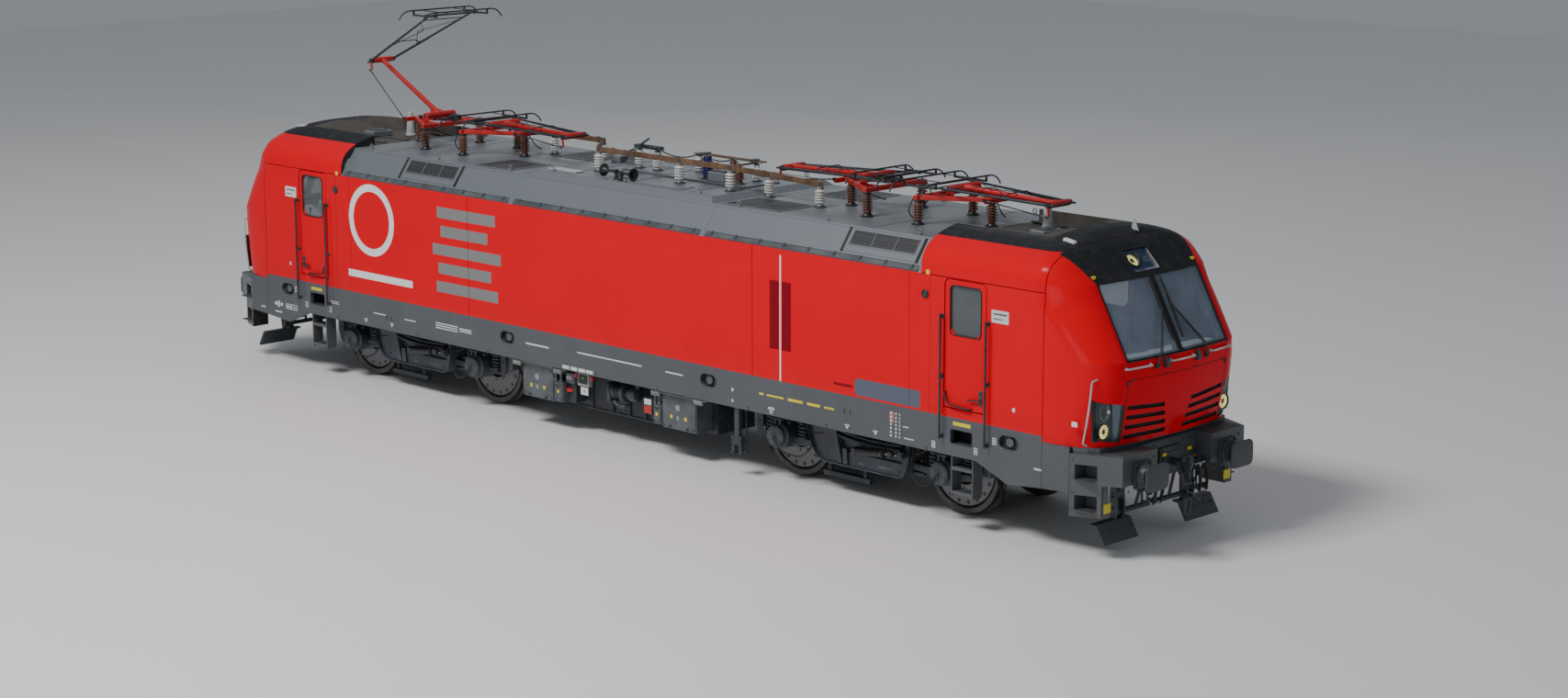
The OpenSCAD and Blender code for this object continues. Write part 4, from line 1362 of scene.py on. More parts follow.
@dataclass(frozen=True)
class Coil:
    """Coil springs made by a node tree from a spiral."""

    radius: float
    wire: float
    turns: float
    height: float
    look: Look

    def make(self, name: str, places: Sequence[Matrix], body: str) -> bpy.types.Object:
        """Put one coil at each place.

        Args:
            name: the piece's name.
            places: where the coils stand, their feet at the origin.
            body: the body that they ride on.

        Returns:
            The object.
        """
        kinds = {"Turns": "NodeSocketFloat", "Radius": "NodeSocketFloat", "Wire": "NodeSocketFloat",
                 "Rise": "NodeSocketFloat", "Finish": "NodeSocketMaterial"}
        nodes = Nodes(name, kinds)
        values = {
            "Resolution": 22, "Rotations": "Turns", "Start Radius": "Radius", "End Radius": "Radius",
            "Height": "Rise"
        }
        spiral = nodes.node("GeometryNodeCurveSpiral", {}, values).outputs[0]
        ring = nodes.node(
            "GeometryNodeCurvePrimitiveCircle", {}, {"Resolution": 10, "Radius": "Wire"}
        ).outputs[0]
        wire = nodes.node("GeometryNodeCurveToMesh", {}, {0: spiral, 1: ring, "Fill Caps": True}).outputs[0]
        placed = nodes.spread(wire)
        nodes.close(nodes.node("GeometryNodeSetMaterial", {}, {0: placed, "Material": "Finish"}).outputs[0])
        setting = {"Turns": self.turns, "Radius": self.radius - self.wire, "Wire": self.wire,
                   "Rise": self.height, "Finish": self.look.material()}
        mesh = nodes.run(name, [(m, (1.0, 1.0, 1.0)) for m in places], setting)
        return settle(mesh, name, self.look.slot, body)


# ---------------------------------------------------------------------------
# Cab
# ---------------------------------------------------------------------------
@dataclass(frozen=True)
class CabShape:
    """The outer surface of a cab, given by a ring of points at each height."""

    nose_x: float = 9.140
    shoulder: float = 3.250
    crown: float = 3.905
    foot: float = 2.470
    head: float = 3.377
    brow: float = 3.750
    edge: float = 1.003
    floor: float = 1.400
    crease: float = math.radians(13)

    def half(self, z: float) -> float:
        """Half the width at a height."""
        if z <= self.shoulder:
            return HALF_W
        rise = (z - self.shoulder) / (self.crown - self.shoulder)
        return HALF_W * (1 - rise**3.3) ** (1 / 2.2)

    def middle(self, z: float) -> float:
        """How far forward the middle line lies at a height.

        Args:
            z: the height above the rail.

        Returns:
            How far forward it lies.
        """
        brow_x = self.nose_x - (self.head - self.foot) * 502 / 907 - (self.brow - self.head)
        if z < self.foot:
            return self.nose_x - 0.130 * max(0.0, self.foot - 0.070 - z) ** 2
        if z < self.head:
            return self.nose_x - (z - self.foot) * 502 / 907
        if z < self.brow:
            return brow_x + self.brow - z
        return brow_x - 0.415 + 0.415 * (max(0.0, self.crown - z) / (self.crown - self.brow)) ** 0.6

    def taper(self, x: float) -> float:
        """How far the side has drawn in at a place along the cab."""
        return 0.055 * (max(0.0, x - PANEL_X) / 0.5) ** 1.5

    def corner(self, z: float, depth: float = 0.0) -> tuple[float, float, float, float, float]:
        """The rounded corner at a height: its front, side edge, end, start and outer half width.

        Args:
            z: the height above the rail.
            depth: how far inwards.

        Returns:
            Its front, side edge, end, start and outer half width.
        """
        level = min(z + depth, self.crown - 0.006)
        wide = self.half(level) - depth * 0.8
        front = self.middle(level) - depth
        edge = min(self.edge, 0.7 * wide)
        end = front - 0.060 * (edge / self.edge) ** 2
        back = 0.480 if level < self.foot else 0.480 + 0.060 * ((level - self.foot) / 0.3) ** 1.4
        start = max(min(PANEL_X - 0.1, end - 0.3), min(PANEL_X + 0.5, end - back))
        return front, edge, end, start, wide

    def ring(self, z: float, depth: float = 0.0, steps: int = 34) -> list[Point]:
        """Points round the cab at a height, from the far rear corner past the nose.

        Args:
            z: the height above the rail.
            depth: how far inwards.
            steps: points on a curve.

        Returns:
            The points in order.
        """
        front, edge, end, start, wide = self.corner(z, depth)
        outer = wide - self.taper(start)
        side = [CAB_X + (start - 0.005 - CAB_X) * t for t in (0, 0.3, 0.55, 0.75, 0.87, 0.94, 0.98, 1)]
        flat = [(x, wide - self.taper(x)) for x in side]
        low = math.sin(self.crease)
        for i in range(steps + 1):
            angle = self.crease + (math.pi / 2 - self.crease) * i / steps
            share = (math.sin(angle) - low) / (1 - low)
            flat.append(
                (start + (end - start) * share, edge + (outer - edge) * math.cos(angle) / math.cos(self.crease))
            )
        for i in range(1, 13):
            y = edge * (1 - i / 12)
            flat.append((front - 0.060 * (y / self.edge) ** 2, y))
        return [(x, -y, z) for x, y in flat] + [(x, y, z) for x, y in reversed(flat[:-1])]

    def surface(self, y: float, z: float) -> Vector:
        """The point of the nose, screen or brow at a side place and height.

        Args:
            y: the place across the body.
            z: the height above the rail.

        Returns:
            The point on the surface.
        """
        front, edge, end, start, wide = self.corner(z)
        size = abs(y)
        if size <= edge:
            return Vector((front - 0.060 * (size / self.edge) ** 2, y, z))
        outer = wide - self.taper(start)
        low = math.sin(self.crease)
        angle = math.acos(min(1.0, (size - edge) / (outer - edge) * math.cos(self.crease)))
        return Vector((start + (end - start) * (math.sin(angle) - low) / (1 - low), y, z))

    def out(self, y: float, z: float) -> Vector:
        """The outward direction at a point of the surface."""
        step = 0.004
        side = self.surface(y + step, z) - self.surface(y - step, z)
        rise = self.surface(y, z + step) - self.surface(y, z - step)
        return side.cross(rise).normalized()

    def levels(self) -> list[float]:
        """Heights of the rings, close together where the surface turns.

        Returns:
            The heights, from the foot up.
        """
        low = [self.floor + (self.foot - 0.008 - self.floor) * i / 12 for i in range(13)]
        screen = [self.foot + (self.head - self.foot) * i / 12 for i in range(13)]
        screen[1:1] = [self.foot + 0.008]
        screen[-1:-1] = [self.head - 0.008]
        brow = [self.head + (self.brow - self.head) * i / 9 for i in range(1, 10)]
        brow[0:0] = [self.head + 0.008]
        shares = (0.05, 0.12, 0.2, 0.3, 0.42, 0.55, 0.65, 0.75, 0.82, 0.88, 0.92, 0.95, 0.975, 1)
        top = [self.brow + (self.crown - 0.006 - self.brow) * t for t in shares]
        return [*low, *screen, *brow, *top]


def carve(body: bpy.types.Mesh, cutters: Sequence[Form]) -> bpy.types.Mesh:
    """Cut forms out of a closed mesh.

    Args:
        body: the mesh to cut.
        cutters: closed forms, each cut in turn.

    Returns:
        The cut mesh.
    """
    made = []
    target = bpy.data.objects.new("carved", body)
    put(target)
    for cutter in cutters:
        mesh = bpy.data.meshes.new(cutter.name)
        mesh.from_pydata([(p.x, p.y, p.z + RAIL) for p in cutter.points], [], cutter.faces)
        face_out(mesh)
        tool = bpy.data.objects.new(cutter.name, mesh)
        put(tool)
        made.append(tool)
        modifier = target.modifiers.new(cutter.name, "BOOLEAN")
        modifier.operation = "DIFFERENCE"
        modifier.solver = "MANIFOLD"
        modifier.object = tool
    graph = bpy.context.evaluated_depsgraph_get()
    out = bpy.data.meshes.new_from_object(target.evaluated_get(graph))
    for item in [target, *made]:
        bpy.data.objects.remove(item, do_unlink=True)
    return out


@dataclass
class CabShell:
    """The painted skin of both cabs, with its openings, well, nose slots and lamps."""

    shape: CabShape = field(default_factory=CabShape)
    wall: float = 0.070
    gap: float = 0.010
    slots: int = 4

    def build(self) -> None:
        """Make both shells and what is fixed in their openings."""
        solid = Form("cab_solid")
        solid.loft([self.shape.ring(z) for z in self.shape.levels()], Look.CAB)
        mesh = bpy.data.meshes.new("cab_solid")
        mesh.from_pydata([(p.x, p.y, p.z + RAIL) for p in solid.points], [], solid.faces)
        face_out(mesh)
        cut = carve(mesh, list(self.cutters()))
        self.paint(cut)
        for name, end in (("front", STILL), ("rear", MIRROR_X)):
            copy = cut.copy()
            copy.transform(end)
            settle(copy, f"cab_skin_{name}", "red_paint", "carbody", (f"cab_shell_{name}",), 14.0)
        self.windows()
        self.lamps()
        self.grilles()

    def paint(self, mesh: bpy.types.Mesh) -> None:
        """Give each face of the cut shell its finish by where it lies.

        Args:
            mesh: the mesh to colour.
        """
        looks = (Look.CAB, Look.FLOOR_WELL, Look.BLACK, Look.LINING)
        mesh.materials.clear()
        for look in looks:
            mesh.materials.append(look.material())
        for face in mesh.polygons:
            x, y, z = face.center.x, face.center.y, face.center.z - RAIL
            wide = self.shape.half(z) - self.shape.taper(x)
            near_side = abs(y) > wide - 0.004 - 0.03 * (z > 3.3)
            try:
                near_front = abs(self.shape.surface(y, z).x - x) < 0.012 and x > PANEL_X - 0.2
            except (ValueError, ZeroDivisionError, TypeError):
                near_front = False
            if z > DECK_Z - 0.002 and abs(y) < 0.832 and x < 7.70 and (face.normal.z > 0.2 or abs(y) > 0.825):
                face.material_index = 1
            elif x < CAB_X + 0.001:
                face.material_index = 2
            elif near_side or near_front or z > 3.62 and face.normal.z > 0.1:
                face.material_index = 0
            elif (
                z > self.shape.crown - 0.30
                or abs(y) > wide - self.wall * 0.9
                or x > self.shape.surface(y, z).x - 0.065
            ):
                face.material_index = 2
            else:
                face.material_index = 3

    def cutters(self) -> Iterator[Form]:
        """Yield the closed forms that are cut from the solid cab.

        Returns:
            Each closed form to cut.
        """
        inner = Form("inner")
        levels = [1.380, *(z for z in self.shape.levels() if 1.42 < z < 3.50), 3.535]
        inner.loft([self.shape.ring(z, self.wall, 16) for z in levels], Look.CAB)
        inner.points = [Vector((p.x - (0.01 if p.x < CAB_X + 0.001 else 0), p.y, p.z)) for p in inner.points]
        yield inner
        below = Form("below")
        below.block((CAB_X - 0.1, -1.7, 1.0), (PANEL_X, 1.7, SILL_TOP), Look.CAB, 0)
        yield below
        well = Form("well")
        side = [(CAB_X - 0.1, DECK_Z), (CAB_X + 1.100, DECK_Z), (CAB_X + 1.600, 3.96), (CAB_X - 0.1, 3.96)]
        well.prism(side, -0.830, 0.830, Look.CAB)
        yield well
        for sign in (-1, 1):
            door = Form("door")
            grow = self.gap
            door.prism(door_line(grow), sign * (HALF_W - 0.110), sign * (HALF_W + 0.010), Look.CAB)
            yield door
            screen = Form("screen")
            low, high = sorted((sign * 0.034, sign * self.shape.edge))
            line = rect((low, self.shape.foot + 0.015), (high, self.shape.head), 0.035, 4)
            screen.prism(line, 8.2, 9.3, Look.CAB, "yz")
            yield screen
            lamp = Form("lamp")
            lamp.prism([(sign * y, z) for y, z in self.lamp_line(0.0)], 8.81, 9.3, Look.CAB, "yz")
            yield lamp
            for slot in range(self.slots):
                cut = Form("slot")
                cut.patch(self.slot_face(sign, slot, 0.030), (-0.075, 0, 0), Look.CAB, 10, 2)
                yield cut
        brow = Form("brow")
        brow.prism(
            rect((-0.255, self.shape.head + 0.060), (0.255, self.shape.head + 0.310), 0.03, 4), 8.0, 9.0,
            Look.CAB, "yz"
        )
        yield brow

    def slot_face(self, sign: int, slot: int, ahead: float) -> Callable[[float, float], Vector]:
        """The face of a nose slot as a function of two shares, ahead of the surface.

        Args:
            sign: 1 for the left, -1 for the right.
            slot: which slot, counted upwards from 0.
            ahead: how far in front of the wall.

        Returns:
            The function that gives the point of two shares.
        """
        rise = slot / (self.slots - 1)

        def place(u: float, v: float) -> Vector:
            """One point."""
            y = (0.175 + 0.095 * rise) * (1 - u) + 0.965 * u
            z = 1.462 + 0.345 * rise + 0.055 * v + u * (0.012 + 0.040 * rise)
            return self.shape.surface(sign * y, z) + Vector((ahead, 0, 0))

        return place

    def lamp_line(self, depth: float) -> list[Flat]:
        """Outline of a headlamp opening as side and height."""
        flat = [(0.998, 1.445), (1.366, 1.495), (1.396, 2.000), (1.018, 1.930)]
        return inset(flat, depth)

    def windows(self) -> None:
        """The windscreens, their seals and the brow window."""
        glass = Form("windscreen_glass")
        seal = Form("window_seals")
        shape = self.shape
        for _ in glass.each(ENDS):
            for sign in (-1, 1):
                low, high = 0.020, shape.edge + 0.012

                def pane(u: float, v: float, s: int = sign, a: float = low, b: float = high) -> Vector:
                    """One point of a pane."""
                    y = s * (a + (b - a) * u)
                    z = shape.foot + 0.003 + (shape.head + 0.008 - shape.foot) * v
                    point = shape.surface(y, min(max(z, shape.foot + 0.002), shape.head - 0.002))
                    return Vector((point.x - 0.016, y, z))

                glass.patch(pane, (-0.010, 0, -0.004), Look.GLASS, 10, 10)

            def top(u: float, v: float) -> Vector:
                """One point of the brow window."""
                y, z = -0.265 + 0.53 * u, shape.head + 0.050 + 0.270 * v
                return shape.surface(y, z) - Vector((0.014, 0, 0.010))

            glass.patch(top, (-0.008, 0, -0.008), Look.BROW_GLASS, 8, 6)
        for _ in seal.each(ENDS):
            for sign in (-1, 1):
                low, high = sorted((sign * 0.036, sign * (shape.edge - 0.002)))
                line = rect((low, shape.foot + 0.017), (high, shape.head - 0.002), 0.035, 5)
                seal.tube(
                    [shape.surface(y, z) - Vector((0.004, 0, 0.002)) for y, z in dense(line)], 0.007,
                    Look.RUBBER, 6, True
                )
            line = rect((-0.253, shape.head + 0.062), (0.253, shape.head + 0.308), 0.03, 5)
            seal.tube(
                [shape.surface(y, z) - Vector((0.002, 0, 0.002)) for y, z in dense(line)], 0.006, Look.RUBBER,
                6, True
            )
        glass.done("carbody", ("windscreens",))
        seal.done("carbody")

    def lamps(self) -> None:
        """The headlamps and the brow lamps: housings, reflectors, rings of light points and covers."""
        house = Form("lamp_housings")
        cover = Form("lamp_covers")
        light = Form("light_point")
        light.lathe([(0.0135, 0), (0.0135, 0.004), (0.0095, 0.008), (0, 0.0095)], Look.LED, sides=10)
        places: list[Matrix] = []
        shape = self.shape
        for end_turn in (STILL, turn("Z", 180)):
            for sign in (-1, 1):
                with house.at(end_turn):
                    back = 8.845
                    house.prism(
                        [(sign * y, z) for y, z in self.lamp_line(-0.012)], back - 0.02, back, Look.BLACK, "yz"
                    )
                    self.lamp_unit(house, sign, places, end_turn)
                with cover.at(end_turn):
                    corners = [Vector((0, sign * y, z)) for y, z in self.lamp_line(-0.008)]

                    def face(u: float, v: float, c: list[Vector] = corners) -> Vector:
                        """One point of a cover."""
                        flat = c[0].lerp(c[1], u).lerp(c[3].lerp(c[2], u), v)
                        return shape.surface(flat.y, flat.z) - Vector((0.012, 0, 0))

                    cover.patch(face, (-0.006, 0, 0), Look.LAMP_GLASS, 8, 10)
            with house.at(end_turn):
                self.brow_unit(house, places, end_turn)
        house.done("carbody", ("headlamps",))
        cover.done("carbody")
        Copies.make(light, places, "carbody")

    def lamp_unit(self, house: Form, sign: int, places: list[Matrix], end: Matrix) -> None:
        """One headlamp: a low ring of light points and a reflector above it.

        Args:
            house: the piece of the housings.
            sign: 1 for the left, -1 for the right.
            places: where each light point goes, added to.
            end: the turn to this end of the body.
        """
        low = Vector((8.905, sign * 1.225, 1.600))
        high = Vector((8.880, sign * 1.190, 1.835))
        for middle, radius, deep in ((low, 0.098, 0.050), (high, 0.098, 0.070)):
            foot = middle - Vector((deep, 0, 0))
            bowl = [(radius * 0.35, 0.006), (radius * 0.72, 0.014), (radius * 0.95, deep * 0.8), (radius, deep),
                    (radius + 0.010, deep), (radius + 0.010, deep - 0.012), (radius * 0.9, -0.030), (0, -0.030)]
            house.lathe(
                [(0, 0.004), *bowl], Look.CHROME if middle is high else Look.BLACK, foot, (1, 0, 0.02), 40
            )
            house.lathe(
                [(radius * 0.30, 0.004), (radius * 0.30, 0.030), (radius * 0.22, 0.036), (0, 0.038)],
                Look.BLACK, foot, (1, 0, 0.02), 24
            )
            house.rod((8.84, middle.y, middle.z), foot, 0.05, Look.BLACK)
        for radius, count in ((0.076, 15), (0.048, 9)):
            for i in range(count):
                angle = math.tau * i / count
                spot = low + Vector((-0.020, math.cos(angle) * radius, math.sin(angle) * radius))
                places.append(end @ shift(*spot) @ turn("Y", 90))
        house.block((8.850, sign * 1.06 - 0.03, 1.49), (8.90, sign * 1.06 + 0.03, 1.54), Look.DARK)

    def brow_unit(self, house: Form, places: list[Matrix], end: Matrix) -> None:
        """The lamps behind the brow window.

        Args:
            house: the piece of the housings.
            places: where each light point goes, added to.
            end: the turn to this end of the body.
        """
        lean = Vector((1, 0, 1)).normalized()
        house.block((8.28, -0.26, 3.40), (8.31, 0.26, 3.66), Look.BLACK)
        for y, radius in ((-0.140, 0.096), (0.140, 0.064)):
            middle = self.shape.surface(y, 3.570) - lean * (0.046 if y < 0 else 0.085)
            house.lathe(
                [
                    (0, 0), (radius * 0.8, 0.004), (radius, 0.05), (radius + 0.008, 0.052),
                    (radius + 0.008, 0.03), (radius * 0.8, -0.04), (0, -0.04)
                ],
                Look.BLACK, middle, lean, 32
            )
            if y < 0:
                for ring, count in ((0.078, 15), (0.050, 9)):
                    for i in range(count):
                        angle = math.tau * i / count
                        spot = shift(*middle) @ turn("Y", 45) @ shift(
                            math.cos(angle) * ring, math.sin(angle) * ring, 0.018
                        )
                        places.append(end @ spot)
            else:
                house.lathe(
                    [(0, 0.006), (radius * 0.7, 0.012), (radius * 0.9, 0.045), (radius * 0.7, 0.016)],
                    Look.CHROME, middle, lean, 28
                )
        house.block((8.30, -0.030, 3.46), (8.42, 0.030, 3.62), Look.DARK)

    def grilles(self) -> None:
        """Dark backs and fine bars in the nose slots."""
        grille = Form("nose_grilles")
        for _ in grille.each(ENDS):
            for sign in (-1, 1):
                for slot in range(self.slots):
                    face = self.slot_face(sign, slot, 0.0)
                    grille.patch(
                        lambda u, v, f=face: f(u, v * 1.16 - 0.08) - Vector((0.036, 0, 0)), (-0.008, 0, 0),
                        Look.VENT, 10, 1
                    )
                    for i in range(1, 3):
                        line = [face(j / 8, i / 3) - Vector((0.020, 0, 0)) for j in range(9)]
                        grille.tube(line, 0.0045, Look.BLACK, 6)
        grille.done("carbody")


def dense(outline: Sequence[Flat], step: float = 0.06) -> list[Flat]:
    """An outline with its long sides divided."""
    out: list[Flat] = []
    for a, b in zip(outline, [*outline[1:], outline[0]]):
        count = max(1, round(math.dist(a, b) / step))
        out.extend((a[0] + (b[0] - a[0]) * i / count, a[1] + (b[1] - a[1]) * i / count) for i in range(count))
    return out


def door_line(grow: float, steps: int = 6) -> list[Flat]:
    """Outline of a cab door along the body and up.

    Args:
        grow: how far outside the opening.
        steps: points on a curve.

    Returns:
        The corners as along and up.
    """
    lo = (DOOR_X - grow, 1.595 - grow)
    hi = (DOOR_X + DOOR_W + grow, 3.260 + grow)
    outline = [lo, (hi[0], lo[1])]
    radius = 0.070 + grow
    for u, start in ((hi[0] - radius, 0), (lo[0] + radius, 90)):
        for i in range(steps + 1):
            angle = math.radians(start + 90 * i / steps)
            outline.append((u + radius * math.cos(angle), hi[1] - radius + radius * math.sin(angle)))
    return outline


@dataclass
class CabInside:
    """Bulkhead, desk and driver's seat of both cabs."""

    desk_half: float = 1.150
    seat_x: float = 7.640

    def build(self) -> None:
        """Make the bulkheads, desks and seats."""
        room = Form("cab_room")
        for _ in room.each(ENDS):
            room.block((6.185, -1.426, 1.42), (6.225, 1.426, 3.25), Look.LINING, 0.006)
            room.block((6.225, -0.38, 1.42), (6.240, 0.38, 3.10), Look.DESK, 0.006)
            room.block((6.240, 0.27, 2.20), (6.270, 0.31, 2.32), Look.BLACK)
            room.block((6.240, 0.62, 2.30), (6.300, 0.80, 3.00), Look.TANK, 0.010)
            room.block((6.290, 0.65, 2.70), (6.305, 0.77, 2.95), Look.DESK, 0.004)
            room.block((6.10, -1.44, 1.378), (8.6, 1.44, 1.405), Look.DARK)
            self.desk(room)
        room.done("carbody", ("cab_fittings",))
        stand = Form("seat_stands")
        cushions = Form("seat_cushions")
        for end in ENDS:
            with stand.at(end), cushions.at(end):
                self.stand(stand)
                self.cushions(cushions)
        stand.done("carbody")
        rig.padded(cushions.done("carbody", ("driver_seats",)), fill=0.85)

    def desk(self, form: Form) -> None:
        """One desk with its panel, screens, levers and lamps.

        Args:
            form: the piece that it adds to.
        """
        top = [
            (8.240, 1.41), (8.700, 1.41), (8.790, 2.400), (8.740, 2.412), (8.520, 2.372), (8.150, 2.148),
            (8.140, 2.120), (8.180, 2.072)
        ]
        form.prism(top, -self.desk_half, self.desk_half, Look.DESK, chamfer=0.012)
        for y in (-0.78, -0.30, 0.30, 0.78):
            with form.at(shift(8.60, y, 2.43), turn("Y", 62)):
                form.block((-0.13, -0.19, -0.02), (0.13, 0.19, 0.02), Look.BLACK, 0.008)
                form.block((-0.105, -0.165, -0.024), (0.105, 0.165, -0.018), Look.GLASS, 0.002)
        for y in (-0.52, 0.05, 0.52):
            form.rod((8.30, y, 2.24), (8.27, y, 2.40), 0.012, Look.BLACK)
            form.lathe(
                [(0, 0), (0.024, 0.006), (0.028, 0.022), (0.020, 0.040), (0, 0.046)], Look.BLACK,
                (8.27, y, 2.385), (-0.1, 0, 1), 16
            )
        for i in range(10):
            y = -0.45 + 0.1 * i
            form.lathe(
                [(0.014, 0), (0.014, 0.016), (0, 0.022)], (Look.YELLOW, Look.SIGNAL, Look.PALE)[i % 3],
                (8.215, y, 2.183), (-0.5, 0, 0.85), 12
            )
        form.block((8.66, -1.12, 2.40), (8.80, 1.12, 2.425), Look.HOOD, 0.008)
        hood = [(8.130, 2.150), (8.560, 2.385), (8.660, 2.398), (8.660, 2.425), (8.540, 2.415), (8.110, 2.175)]
        for y in (-0.62, 0.62):
            form.prism(hood, y - 0.34, y + 0.34, Look.HOOD, chamfer=0.006)
            for i in range(7):
                form.block(
                    (8.30 + 0.022 * i, y - 0.20, 2.262 + 0.0122 * i),
                    (8.31 + 0.022 * i, y + 0.02, 2.284 + 0.0122 * i), Look.BLACK, 0.001
                )

    def stand(self, form: Form) -> None:
        """The pillar, arm rests and head rest rods of one driver's seat.

        Args:
            form: the piece that it adds to.
        """
        x = self.seat_x
        form.lathe(
            [(0.20, 0), (0.20, 0.012), (0.07, 0.05), (0.055, 0.40), (0.12, 0.43), (0, 0.43)], Look.DARK,
            (x, 0, 1.405), sides=32
        )
        for y in (-0.05, 0.05):
            form.rod((x - 0.285, y, 2.58), (x - 0.285, y, 2.70), 0.008, Look.PALE)
        for y in (-0.275, 0.275):
            form.block((x - 0.20, y - 0.03, 2.10), (x + 0.10, y + 0.03, 2.14), Look.BLACK, 0.012)
            form.rod((x - 0.18, y, 1.90), (x - 0.18, y, 2.11), 0.014, Look.DARK)

    def cushions(self, form: Form) -> None:
        """The crowned seat, back and head cushions of one driver's seat.

        Args:
            form: the piece that it adds to.
        """
        x = self.seat_x
        lo, hi = (x - 0.24, -0.24, 1.825), (x + 0.26, 0.24, 1.935)
        rings = []
        for z, pull in (
            (lo[2], 0.05), (lo[2] + 0.02, 0.012), (lo[2] + 0.07, 0.0), (hi[2] - 0.015, 0.010), (hi[2], 0.045)
        ):
            outline = rect((lo[0] + pull, lo[1] + pull), (hi[0] - pull, hi[1] - pull), 0.07, 6)
            rings.append([(u, v, z + (0.012 if z == hi[2] else 0) * (1 - (v / 0.24) ** 2)) for u, v in outline])
        form.loft(rings, Look.SEAT)
        back = []
        for z, x0, x1, half in (
            (1.94, -0.25, -0.14, 0.17), (1.97, -0.262, -0.128, 0.21), (2.20, -0.285, -0.165, 0.225),
            (2.45, -0.312, -0.205, 0.215), (2.58, -0.322, -0.228, 0.17), (2.62, -0.31, -0.25, 0.12)
        ):
            back.append([(x + u, v, z) for u, v in rect((x0, -half), (x1, half), 0.045, 5)])
        form.loft(back, Look.SEAT)
        head = []
        for z, half, deep in (
            (2.635, 0.10, 0.03), (2.65, 0.13, 0.045), (2.74, 0.13, 0.045), (2.765, 0.09, 0.03)
        ):
            head.append([(x - 0.285 + u, v, z) for u, v in rect((-deep, -half), (deep, half), deep * 0.8, 5)])
        form.loft(head, Look.SEAT)


